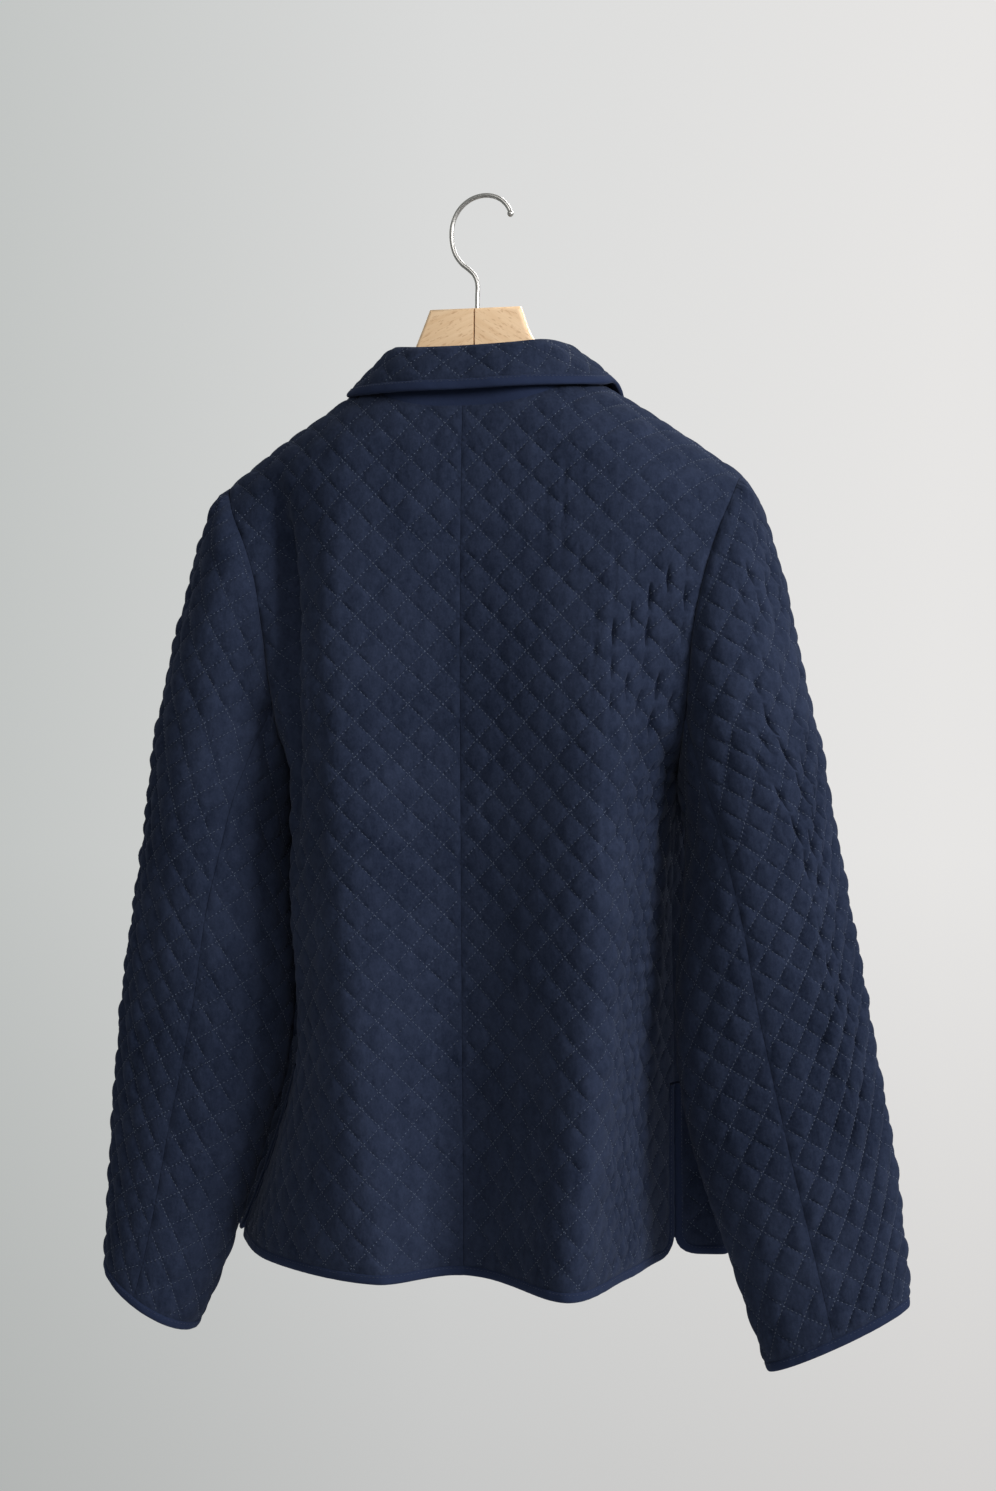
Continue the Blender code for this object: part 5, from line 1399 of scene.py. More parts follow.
@dataclass
class Panel:
    """One cut piece of quilted cloth: quilted outside, lined inside."""

    name: str
    sheet: Sheet
    seams: list[Seam]
    grain: float = 0.0
    origin: tuple[float, float] = (0.0, 0.0)
    hang: Hang = field(default_factory=Hang)

    HEAD_REACH = 12.0
    FENCE_STEP = 2.2                # between the points from which distances are taken
    GRID_CLEAR = 0.72               # share of a grid's step that it keeps off the outline
    EASE_LIMIT, EASE_BLUR = 2.6, 1.5
    RIPPLE, RIPPLE_REACH = 0.35, (11.0, 26.0)
    LEAN = (0.82, 0.36)             # least and spread of the power that shapes a puff's sides
    FULL = (0.68, 0.64)             # least and spread of a puff's height
    PILLOW_POWER, ROLL_POWER, ROLL_HEIGHT, ROLL_MOST = 0.62, 0.8, 1.35, 0.85
    SLIT = (4.4, 2.6)               # depth and reach of a nip's crease
    BANKS = (1.0, 5.4, 2.8)         # height, place and reach of the banks beside it
    DRAWN = (1.6, 2.4, 7.0)         # cloth that it draws in, and over which reaches
    NIP_CLEAR, NIP_FADE = 2.0, 8.0  # how far nips stay off the seams
    SEW_STEP, SEW_CLEAR, SEW_LIFT, SEW_FEWEST = 0.1, 3.0, 0.14, 4

    def __post_init__(self) -> None:
        """Join the seams into one anticlockwise outline."""
        uv, xyz, normal = (np.concatenate([seam[k][:-1] for seam in self.seams]) for k in range(3))
        if signed_area(uv) < 0:
            uv, xyz, normal = uv[::-1], xyz[::-1], normal[::-1]
        self.cut = inset(uv, SEAM_GAP / 2)
        self.area = signed_area(self.cut) / 2 * MM**2
        laid = self.sheet.place(uv)
        self.edge = xyz + self.sheet.place(self.cut) - laid
        self.edge_normal = normal
        self.fence, self.pull = self.densely(self.cut, xyz - laid)
        turn = math.radians(self.grain)
        self.axes = np.array([[math.cos(turn), math.sin(turn)], [-math.sin(turn), math.cos(turn)]])

    @staticmethod
    def densely(outline: Array, pull: Array) -> tuple[Array, Array]:
        """More points along a closed outline, each with its part of the pull."""
        both = np.hstack([outline, pull])
        found = []
        for here, following in zip(both, np.roll(both, -1, axis=0)):
            count = max(1, math.ceil(np.linalg.norm((following - here)[:2]) / Panel.FENCE_STEP))
            share = np.arange(count)[:, None] / count
            found.append(here + (following - here) * share)
        joined = np.vstack(found)
        return joined[:, :2], joined[:, 2:]

    def local(self, uv: Array) -> Array:
        """Flat points counted from the quilting's origin, along and across its grain."""
        return (uv - np.array(self.origin)) @ self.axes.T

    def cells(self, uv: Array) -> Array:
        """Quilting coordinates, which are whole numbers on the stitch lines."""
        a, b = (self.local(uv) / (DIAMOND / 2)).T
        return np.column_stack([(a + b) / 2, (b - a) / 2])

    def flat(self, cells: Array) -> Array:
        """Flat points of quilting coordinates."""
        local = np.column_stack([cells[:, 0] - cells[:, 1], cells[:, 0] + cells[:, 1]])
        return local * (DIAMOND / 2) @ self.axes + np.array(self.origin)

    def relief(self, uv: Array, clear: Array) -> Array:
        """Height of the folds, which the lining shares."""
        found = self.hang.wave * soft_noise(uv, self.hang.wave_reach, self.hang.seed)
        ripples = soft_noise(uv, self.RIPPLE_REACH, self.hang.seed + 3)
        found += self.RIPPLE * self.hang.wave * ripples
        for crease in self.hang.creases:
            found = found + crease.relief(uv)
        return found * (1 - np.exp(-((clear / CREASE_EASE) ** 2)))

    def puffs(self, uv: Array, clear: Array) -> Array:
        """Height of the quilting's puffs."""
        cells = self.cells(uv)
        low = np.floor(cells)
        t = cells - low
        i, j = low[:, 0], low[:, 1]
        seed = self.hang.seed
        least, spread = self.LEAN
        lots = np.column_stack([chance(i, j, seed + 1), chance(j, i, seed + 2)])
        t = np.clip(t, 0, 1) ** (least + spread * lots)
        pillow = np.prod(4 * t * (1 - t), axis=1)
        least, spread = self.FULL
        full = self.hang.puff * (least + spread * chance(i, j, seed))
        full = full * (1 + sum(place.share(uv) for place in self.hang.fullness))
        rolls = (place.share(uv) for place in self.hang.rolls)
        share = np.clip(sum(rolls, np.zeros(len(uv))), 0, self.ROLL_MOST)
        rolled = (4 * t[:, 0] * (1 - t[:, 0])) ** self.ROLL_POWER * (0.75 + 0.25 * pillow)
        held = np.clip(clear / SEAM_ROLL, 0, 1) ** 0.6
        single = pillow**self.PILLOW_POWER * (1 - share)
        return full * (single + self.ROLL_HEIGHT * rolled * share) * held

    def nips(self, uv: Array) -> tuple[Array, Array]:
        """The short creases at the stitch crossings: their depth, and how far cloth is drawn in."""
        if not self.hang.pinches:
            return np.zeros(len(uv)), np.zeros(len(uv))
        a, b = (self.local(uv) / (DIAMOND / 2)).T
        i, j = np.round(a), np.round(b)
        odd = (i + j) % 2 != 0
        i = np.where(odd & (np.abs(a - i) > np.abs(b - j)), i + np.where(a >= i, 1, -1), i)
        j = np.where(odd & ((i + j) % 2 != 0), j + np.where(b >= j, 1, -1), j)
        off_u, off_v = (a - i) * DIAMOND / 2, (b - j) * DIAMOND / 2
        room = np.clip(1 - (0.8 * np.abs(off_u) + np.abs(off_v)) / (DIAMOND / 2), 0, 1) ** 0.5
        lot = np.clip(2.0 * chance(i, j, self.hang.seed + 5) - 0.1, 0.2, 1.1)
        most = np.zeros(len(uv))
        for patch in self.hang.pinches:
            near = np.exp(-(patch.off(uv) ** 2))
            most = np.maximum(most, patch.amount * near * lot * room)
        deep, reach = self.SLIT
        high, aside, width = self.BANKS
        bank = high * np.exp(-(((np.abs(off_u) - aside) / width) ** 2))
        slit = deep * np.exp(-((off_u / reach) ** 2)) - bank
        most_drawn, turn, fade = self.DRAWN
        drawn = -most_drawn * np.tanh(off_u / turn) * np.exp(-((off_u / fade) ** 2))
        return most * slit, most * drawn

    def eased(self, uv: Array, clear: Array) -> Array:
        """How far each flat point follows its seams, whose pull fades with the distance."""
        found = np.zeros((len(uv), 3))
        size = np.sum(self.fence**2, axis=1)
        close = np.flatnonzero(clear < self.EASE_LIMIT * SEAM_EASE)
        for low in range(0, len(close), CHUNK):
            some = close[low : low + CHUNK]
            gaps = size - 2 * uv[some] @ self.fence.T + np.sum(uv[some] ** 2, axis=1)[:, None]
            weight = (np.maximum(gaps, 0) + self.EASE_BLUR) ** -2
            found[some] = weight @ self.pull / weight.sum(axis=1)[:, None]
        return found * np.exp(-((clear / SEAM_EASE) ** 2))[:, None]

    def skin(self, uv: Array, face: bool, lift: float) -> Array:
        """Points of the quilted face, or of the smooth folds under it.

        Args:
            uv: flat points within the outline.
            face: whether the puffs and nips are added.
            lift: distance outwards from there.

        Returns:
            The points.
        """
        clear = clearance(self.fence, uv)
        eased = self.eased(uv, clear)
        height = self.relief(uv, clear) + lift
        drawn = np.zeros((len(uv), 2))
        if face:
            depth, aside = self.nips(uv)
            free = np.clip((clear - self.NIP_CLEAR) / self.NIP_FADE, 0, 1)
            height = height + self.puffs(uv, clear) - depth * free
            drawn = (aside * free)[:, None] * self.axes[0]
        place = self.sheet.place(uv + drawn) + eased + self.sheet.normals(uv) * height[:, None]
        if self.hang.fall:
            head = self.sheet.place(np.array([[0.0, -1.0]]))
            off = np.linalg.norm(place - head, axis=1) / self.HEAD_REACH
            free = 1 - np.exp(-((clear / 4) ** 2))
            place[:, 2] -= self.hang.fall * off * np.exp(1 - off) * free
        return place

    def filling(self, step: float) -> tuple[Array, list[tuple[int, int, int]]]:
        """A grid along the quilting within the outline, and the triangles of the whole face.

        Returns:
            The grid's flat points, and triangles over the outline's points followed by them.
        """
        local = self.local(self.cut) / step
        low = np.floor(local.min(axis=0)).astype(int)
        size = np.ceil(local.max(axis=0)).astype(int) - low + 1
        i, j = np.indices(tuple(size)).reshape(2, -1)
        uv = (np.column_stack([i, j]) + low) * step @ self.axes + np.array(self.origin)
        clear = clearance(self.fence, uv)
        kept = (inside(self.cut, uv) & (clear > self.GRID_CLEAR * step)).reshape(size)
        number = np.full(size, -1)
        number[kept] = np.arange(kept.sum()) + len(self.cut)
        cell = kept[:-1, :-1] & kept[1:, :-1] & kept[:-1, 1:] & kept[1:, 1:]
        k, m = np.nonzero(cell)
        a, b, c, d = number[k, m], number[k + 1, m], number[k + 1, m + 1], number[k, m + 1]
        rising = (k + m + low.sum() + 1) % STEPS != 0
        first = np.where(rising[:, None], np.column_stack([a, b, c]), np.column_stack([a, b, d]))
        second = np.where(rising[:, None], np.column_stack([a, c, d]), np.column_stack([b, c, d]))
        faces = [tuple(face) for face in np.vstack([first, second]).tolist()]
        return uv[kept.reshape(-1)], faces + self.margin_faces(uv, kept, number, cell, low, step)

    def margin_faces(
        self, uv: Array, kept: Array, number: Array, cell: Array, low: Array, step: float
    ) -> list[tuple[int, int, int]]:
        """Triangles between the outline and the grid's whole cells."""
        padded = np.pad(cell, 1)
        about = padded[:-1, :-1] & padded[1:, :-1] & padded[:-1, 1:] & padded[1:, 1:]
        rim = np.flatnonzero((kept & ~about).reshape(-1))
        count = len(self.cut)
        where = {int(flat): k + count for k, flat in enumerate(rim)}
        rows, columns = kept.shape
        edges = []
        up = padded[1:-1, :] != 0
        for k, m in zip(*np.nonzero(padded[1:, 1:-1] != padded[:-1, 1:-1])):
            edges.append((where[k * columns + m], where[k * columns + m + 1]))
        for k, m in zip(*np.nonzero(up[:, 1:] != up[:, :-1])):
            edges.append((where[k * columns + m], where[(k + 1) * columns + m]))
        points = [Vector(p) for p in np.vstack([self.cut, uv[rim]])]
        made = geometry.delaunay_2d_cdt(points, edges, [list(range(count))], 1, 1e-7)
        source = [ids[0] for ids in made[3]]
        real = [*range(count), *(int(number.reshape(-1)[flat]) for flat in rim)]
        found = []
        for face in made[2]:
            ids = [source[i] for i in face]
            middle = np.mean([points[i] for i in ids], axis=0)
            k, m = np.floor(self.local(middle) / step).astype(int) - low
            if 0 <= k < rows - 1 and 0 <= m < columns - 1 and cell[k, m]:
                continue
            p, q, r = (points[i] for i in ids)
            if anticlockwise(p, r, q):
                ids = [ids[0], ids[2], ids[1]]
            found.append(tuple(real[i] for i in ids))
        return found

    def build(self) -> bpy.types.Object:
        """Make the panel, in place of its solid."""
        fine, face = self.filling(FINE)
        plain, back = self.filling(PLAIN)
        outer = np.vstack([self.edge, self.skin(fine, True, 0.0)])
        inner = np.vstack([self.edge - self.edge_normal * WALL, self.skin(plain, False, -WALL)])
        shift, count = len(outer), len(self.cut)
        faces = [*face, *((a + shift, c + shift, b + shift) for a, b, c in back)]
        for i in range(count):
            j = (i + 1) % count
            faces += [(j, i, i + shift), (j, i + shift, j + shift)]
        if self.sheet.turn() < 0:
            faces = [one[::-1] for one in faces]
        which = np.ones(len(faces), int)
        which[: len(face)] = 0
        uv = self.cells(np.vstack([self.cut, fine, self.cut, plain]))
        points, finishes = np.vstack([outer, inner]), (Finish.QUILTED, Finish.LINING)
        made = add_mesh(self.name + "_quilted", points, faces, finishes, which, uv)
        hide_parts(self.name)
        LOG.info("%s: %d faces, %.3f square metres cut", made.name, len(faces), self.area)
        return made

    def stitch_lines(self) -> list[Array]:
        """The quilting's stitch lines, on the cloth."""
        span = self.cells(self.cut)
        low, high = np.floor(span.min(axis=0)), np.ceil(span.max(axis=0))
        runs = []
        for axis in (0, 1):
            along = np.arange(low[1 - axis], high[1 - axis], self.SEW_STEP)
            for line in np.arange(low[axis], high[axis] + 1):
                cells = np.empty((len(along), 2))
                cells[:, axis], cells[:, 1 - axis] = line, along
                runs.append(self.flat(cells))
        uv = np.vstack(runs)
        kept = inside(self.cut, uv)
        kept[kept] = clearance(self.fence, uv[kept]) > self.SEW_CLEAR
        points = np.zeros((len(uv), 3))
        points[kept] = self.skin(uv[kept], True, self.SEW_LIFT)
        found, start = [], 0
        for run in runs:
            state = kept[start : start + len(run)]
            ends = np.flatnonzero(np.diff(np.concatenate([[0], state, [0]])))
            for first, last in zip(ends[::2], ends[1::2]):
                if last - first > self.SEW_FEWEST:
                    found.append(points[start + first : start + last])
            start += len(run)
        return found


@dataclass
class Binding:
    """A folded tape along an edge: its centre line, outward normals and way to the edge."""

    name: str
    centre: Array
    normal: Array
    across: Array
    closed: bool = False
    seed: int = 3

    SECTION = (
        (-4.7, 0.10), (-4.2, 0.62), (-2.4, 0.92), (-0.2, 0.95), (1.8, 0.60), (2.85, -0.25),
        (3.15, -1.3), (2.85, -2.4), (1.8, -3.15), (-0.2, -3.4), (-2.4, -3.4), (-4.2, -3.2),
        (-4.7, -2.8),
    )
    MIDDLE = -1.3                       # height of the bound edge within the section
    PUCKERS = ((0.16, (3.4, 9.0)), (0.10, (17.0, 9.0)))
    STITCH = (-3.2, 0.95)
    SEWING = (3.2, 2.4, 0.4)            # pitch, length and width of its stitches

    def build(self) -> bpy.types.Object:
        """Make the tape, in place of its solid."""
        count, sides = len(self.centre), len(self.SECTION)
        along = np.column_stack([arc_lengths(self.centre), np.zeros(count)])
        pucker = np.ones(count)
        for share, reach in self.PUCKERS:
            pucker += share * soft_noise(along, reach, self.seed)
        runs = []
        for out, up in self.SECTION:
            rise = (up - self.MIDDLE) * pucker + self.MIDDLE
            runs.append(self.centre + self.across * out + self.normal * rise[:, None])
        points = np.stack(runs, axis=1).reshape(-1, 3)
        if self.closed:
            rings = [i * sides for i in range(count)]
            pairs = zip(rings, rings[1:] + rings[:1])
            faces = [face for pair in pairs for face in band(*pair, sides)]
        else:
            faces = loft(count, sides)
        tangent = self.centre[1] - self.centre[0]
        if np.dot(np.cross(self.across[0], self.normal[0]), tangent) > 0:
            faces = [face[::-1] for face in faces]
        made = add_mesh(self.name + "_tape", points, faces, (Finish.TAPE,))
        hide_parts(self.name)
        return made

    def stitch_line(self) -> Array:
        """The line of edge stitching on it."""
        out, up = self.STITCH
        line = self.centre + self.across * out + self.normal * up
        return np.vstack([line, line[:1]]) if self.closed else line


def bound_edge(sheet: Sheet, run: Array, outward: int) -> tuple[Array, Array, Array]:
    """Centre line of the binding along a run of flat points, with its normals and ways out."""
    tangent = unit(np.gradient(run, axis=0))
    away = np.column_stack([tangent[:, 1], -tangent[:, 0]]) * outward
    across = unit(sheet.place(run + away * PROBE) - sheet.place(run))
    centre = sheet.place(run) + across * (BIND_WIDTH / 2 + BIND_GAP)
    return centre, sheet.normals(run), across


@dataclass
class Half:
    """One side of the jacket: half a back, a front and a sleeve, and the seams they share."""

    side: int
    back_rows: Sequence[BackRow]
    front_rows: Sequence[FrontRow]
    armhole: Sequence[ArmholeRow]
    rings: Sequence[Ring]
    hangs: dict[str, Hang]
    gather: tuple[float, float]

    STATIONS = 57
    ELBOW_SPLIT = 40
    FRONT_SPLIT = 48
    CUFF_BIND = 7.0
    VENT_ROUND = 14.0
    FRONT_ROUND = 34.0
    LEAD = 60.0
    EDGE_STEP = 3.0
    RIDGE_POINTS, SIDE_POINTS, VENT_POINTS, SLEEVE_POINTS = 45, 84, 48, 161
    VENT_PIECES, FRONT_PIECES, UPPER_PIECES, UNDER_PIECES = 8, 14, 84, 48
    SLEEVE_GRAIN = -10.0
    BACK_ORIGIN = (0.0, -175.0)
    FRONT_ORIGIN = (18.0, -175.0)
    VENT_TRIM, NECK_TRIM = 1.8, 1.0     # how far bindings end before a panel's edge does

    def __post_init__(self) -> None:
        """Lay out the sheets and their seams."""
        self.word = "right" if self.side > 0 else "left"
        backs, fronts = self.back_rows, self.front_rows
        self.back = BodySheet(self.side, False, backs, self.armhole, fronts, self.gather[0])
        self.front = BodySheet(self.side, True, fronts, self.armhole, backs)
        self.sleeve = SleeveSheet(self.side, self.rings, self.gather[1])
        x = np.linspace(NECK_POINT[0], SHOULDER_TIP[0], self.RIDGE_POINTS)
        v = ridge_z(x) + ROOF_EXTRA
        place = np.column_stack([x * self.side, 0 * v, ridge_z(x)])
        self.ridge = self.shared(self.back.u_at(x, v), self.front.u_at(x, v), v, place)
        v = np.linspace(UNDERARM_Z, VENT_TOP, self.SIDE_POINTS)
        self.side_seam = self.shared(self.back.edge_u(v), self.front.edge_u(v), v)
        self.make_armhole()

    def shared(
        self, back_u: Array, front_u: Array, v: Array, place: Array | None = None
    ) -> list[Seam]:
        """A seam between the back and the front, on both sheets."""
        flats = [np.column_stack([back_u, v]), np.column_stack([front_u, v])]
        if place is None:
            place = self.back.place(flats[0])
        normal = unit(self.back.normals(flats[0]) + self.front.normals(flats[1]))
        return [Seam(flat, place, normal.copy()) for flat in flats]

    def sleeve_flat(self, places: Array, back: bool) -> Array:
        """Flat points on the sleeve of places along the armhole."""
        v = np.interp(places[:, 2], self.sleeve.points[:, 0, 2], self.sleeve.v)
        inner = np.interp(v, self.sleeve.v, self.sleeve.rows[:, 0])
        outer = np.interp(v, self.sleeve.v, self.sleeve.rows[:, 2])
        across = np.clip((np.abs(places[:, 0]) - inner) / (outer - inner), 0, 1)
        angle = np.degrees(np.arccos(2 * across - 1)) * (1 if back else -1)
        angle[-1] = 180.0 if back else -180.0
        flat = np.column_stack([self.sleeve.u_of(angle, v), v])
        flat[0] = (0.0, self.sleeve.v[-1] - 0.5)
        return flat

    def make_armhole(self) -> None:
        """The armhole seam, tip to underarm, at the back and at the front."""
        self.hole = {}
        for name, sheet in (("back", self.back), ("front", self.front)):
            uv = sheet.armhole_outline(self.armhole, self.STATIONS)
            place = sheet.place(uv)
            flat = self.sleeve_flat(place, name == "back")
            body, sleeve = crotch_normals(sheet.normals(uv), self.sleeve.normals(flat))
            self.hole[name] = (Seam(uv, place, body), Seam(flat, place.copy(), sleeve))
        back, front = self.hole["back"], self.hole["front"]
        tip = unit((back[0].normal[0] + front[0].normal[0])[None])[0]
        for layer in (0, 1):
            under = unit((back[layer].normal[-1] + front[layer].normal[-1])[None])[0]
            for seam in (back[layer], front[layer]):
                seam.normal[0], seam.normal[-1] = tip, under
                seam.xyz[0], seam.xyz[-1] = self.ridge[0].xyz[-1], self.side_seam[0].xyz[0]
        for k in (0, 1):
            self.side_seam[k].normal[0] = back[0].normal[-1]
            self.ridge[k].normal[-1] = tip

    def vent_run(self, sheet: BodySheet) -> Array:
        """Flat points where a panel meets its binding down the vent and round its corner."""
        v = np.linspace(VENT_TOP, HEM_Z + CUT, self.VENT_POINTS)
        vent = np.column_stack([sheet.edge_u(v) - CUT, v])
        corner = vent[-1]
        beside = (corner[0] - self.LEAD, corner[1])
        arc = rounded(corner, vent[-8], beside, self.VENT_ROUND, self.VENT_PIECES)
        return np.vstack([vent[vent[:, 1] > corner[1] + self.VENT_ROUND + 1], arc])

    def hem_run(self, first: float, last: float) -> Array:
        """Flat points along a hem."""
        u = np.linspace(first, last, int(abs(first - last) / self.EDGE_STEP) + 2)[1:]
        return np.column_stack([u, np.full(len(u), HEM_Z + CUT)])

    def back_run(self) -> Array:
        """Flat points where the back meets its binding."""
        vent = self.vent_run(self.back)
        return np.vstack([vent, self.hem_run(vent[-1][0], 0.0)])

    def front_run(self) -> Array:
        """Flat points where the front meets its binding: vent, hem and front edge."""
        vent = self.vent_run(self.front)
        corner = np.array([CUT, HEM_Z + CUT])
        hem = self.hem_run(vent[-1][0], CUT + self.FRONT_ROUND)[:-1]
        above = (CUT, corner[1] + self.LEAD)
        turn = rounded(corner, hem[-1], above, self.FRONT_ROUND, self.FRONT_PIECES)
        top = neck_run(self.front, FRONT_NECK)[-1][1]
        v = np.arange(turn[-1][1] + self.EDGE_STEP, top, self.EDGE_STEP)
        edge = np.column_stack([np.full(len(v), CUT), v])
        return np.vstack([vent, hem, turn, edge, [[CUT, top]]])

    def outer_seams(self, layer: int, sheet: BodySheet, run: Array) -> list[Seam]:
        """The seams of the back (0) or the front (1) from the neck point round to its edge."""
        side = self.side_seam[layer]
        return [
            self.ridge[layer],
            self.hole[("back", "front")[layer]][0],
            side,
            seam_on(sheet, np.vstack([side.uv[-1], run[0]])),
            seam_on(sheet, run),
        ]

    def back_panel(self) -> Panel:
        """The back's half, from its centre seam to the armhole, side seam and vent."""
        run = self.back_run()
        v = np.arange(HEM_Z + CUT, BACK_NECK[0][1], self.EDGE_STEP)
        v = np.append(v, BACK_NECK[0][1])
        centre = seam_on(self.back, np.column_stack([0 * v, v]))
        centre.normal[:] = unit(centre.normal * np.array([0, 1, 1]))
        neck = seam_on(self.back, neck_run(self.back, BACK_NECK))
        seams = [centre, neck, *self.outer_seams(0, self.back, run)]
        hang = self.hangs["back"]
        return Panel("back_" + self.word, self.back, seams, 0.0, self.BACK_ORIGIN, hang)

    def front_panel(self) -> Panel:
        """A front, from its bound edge round to the side seam."""
        run = self.front_run()
        neck = neck_run(self.front, FRONT_NECK)
        neck = np.vstack([neck[neck[:, 0] > run[-1][0] + 2.0], run[-1]])
        seams = [seam_on(self.front, neck[::-1]), *self.outer_seams(1, self.front, run)]
        hang = self.hangs["front"]
        return Panel("front_" + self.word, self.front, seams, 0.0, self.FRONT_ORIGIN, hang)

    def seam_down(self, name: str, start: float, split: Array, turned: bool) -> tuple[Array, float]:
        """A seam down the sleeve from the armhole to the cuff.

        Args:
            name: its column in SLEEVE_SEAMS.
            start: where it leaves the armhole, down the sleeve.
            split: the flat point there.
            turned: whether its angles run on past 180 degrees.

        Returns:
            Its flat points and its angle at the cuff.
        """
        end = self.sleeve.ring_v[-1] + self.CUFF_BIND
        v = np.linspace(start, end, self.SLEEVE_POINTS)[1:]
        z = np.interp(v, self.sleeve.v, (self.sleeve.rows[:, 1] + self.sleeve.rows[:, 3]) / 2)
        angle = through(column(SLEEVE_SEAMS, "z"), column(SLEEVE_SEAMS, name), z)
        flat = np.column_stack([self.sleeve.u_of(angle - (0 if turned else 360), v), v])
        flat[:3] = split + (flat[3] - split) * np.array([[0.25], [0.5], [0.75]])
        return np.vstack([split, flat]), float(angle[-1])

    def cuff_run(self, start: float, end: float, v: float, pieces: int) -> Array:
        """Flat points round the cuff between two angles."""
        angle = np.linspace(start, end, pieces + 1)
        level = np.full(len(angle), v)
        return np.column_stack([self.sleeve.u_of(angle, level), level])

    def sleeve_panels(self) -> list[Panel]:
        """The upper and the under sleeve."""
        sheet = self.sleeve
        back, front = self.hole["back"][1], self.hole["front"][1]
        start = back.uv[self.ELBOW_SPLIT]
        elbow_flat, elbow_end = self.seam_down("elbow", start[1], start, True)
        split = front.uv[self.FRONT_SPLIT]
        outer, front_end = self.seam_down("front", split[1], split, False)
        row = int(sheet.row_at(split[1]))
        angle = 360.0 + np.degrees(np.interp(split[0], sheet.run[row], sheet.ANGLE))
        under = np.array([sheet.u_of([angle], [split[1]])[0], split[1]])
        inner, _ = self.seam_down("front", split[1], under, True)
        v = elbow_flat[-1][1]
        upper_cuff = self.cuff_run(elbow_end, front_end - 360, v, self.UPPER_PIECES)
        under_cuff = self.cuff_run(elbow_end, front_end, v, self.UNDER_PIECES)
        run = np.vstack([upper_cuff[::-1], under_cuff[1:-1]])
        place = sheet.place(run)
        across = unit(sheet.place(run - [0, PROBE]) - place)
        centre = place + across * (BIND_WIDTH / 2 + BIND_GAP)
        name = "binding_cuff_" + self.word
        self.cuff = Binding(name, centre, sheet.normals(run), across, closed=True)
        normal = unit(sheet.normals(outer) + sheet.normals(inner))
        place = sheet.place(inner)
        place[0], normal[0] = front.xyz[self.FRONT_SPLIT], front.normal[self.FRONT_SPLIT]
        elbow = seam_on(sheet, elbow_flat)
        elbow.xyz[0], elbow.normal[0] = back.xyz[self.ELBOW_SPLIT], back.normal[self.ELBOW_SPLIT]
        upper = [
            back.part(0, self.ELBOW_SPLIT).flip(),
            front.part(0, self.FRONT_SPLIT),
            Seam(outer, place, normal),
            seam_on(sheet, upper_cuff).flip(),
            elbow.flip(),
        ]
        last = len(back.uv) - 1
        lower = front.part(self.FRONT_SPLIT, last)
        half_turn = np.full(len(lower.uv), 180.0)
        wrap = sheet.u_of(half_turn, lower.uv[:, 1]) - sheet.u_of(-half_turn, lower.uv[:, 1])
        lower = Seam(lower.uv + np.column_stack([wrap, 0 * wrap]), lower.xyz, lower.normal)
        lower_sleeve = [
            back.part(self.ELBOW_SPLIT, last),
            lower.flip(),
            Seam(inner, place, normal),
            seam_on(sheet, under_cuff).flip(),
            elbow.flip(),
        ]
        name, grain = "sleeve_" + self.word, self.SLEEVE_GRAIN
        return [
            Panel(name + "_upper", sheet, upper, grain, hang=self.hangs["sleeve"]),
            Panel(name + "_under", sheet, lower_sleeve, grain, hang=self.hangs["under"]),
        ]

    def bindings(self) -> list[Binding]:
        """The tape of the front's edges and of the cuff."""
        run = trimmed(self.front_run(), self.VENT_TRIM, self.NECK_TRIM)
        edge = bound_edge(self.front, run, -1)
        return [Binding("binding_front_" + self.word, *edge, seed=9 + self.side), self.cuff]

    def hem_edge(self) -> tuple[Array, Array, Array]:
        """Centre line, normals and ways out of this half of the back's binding."""
        return bound_edge(self.back, trimmed(self.back_run(), self.VENT_TRIM), -1)


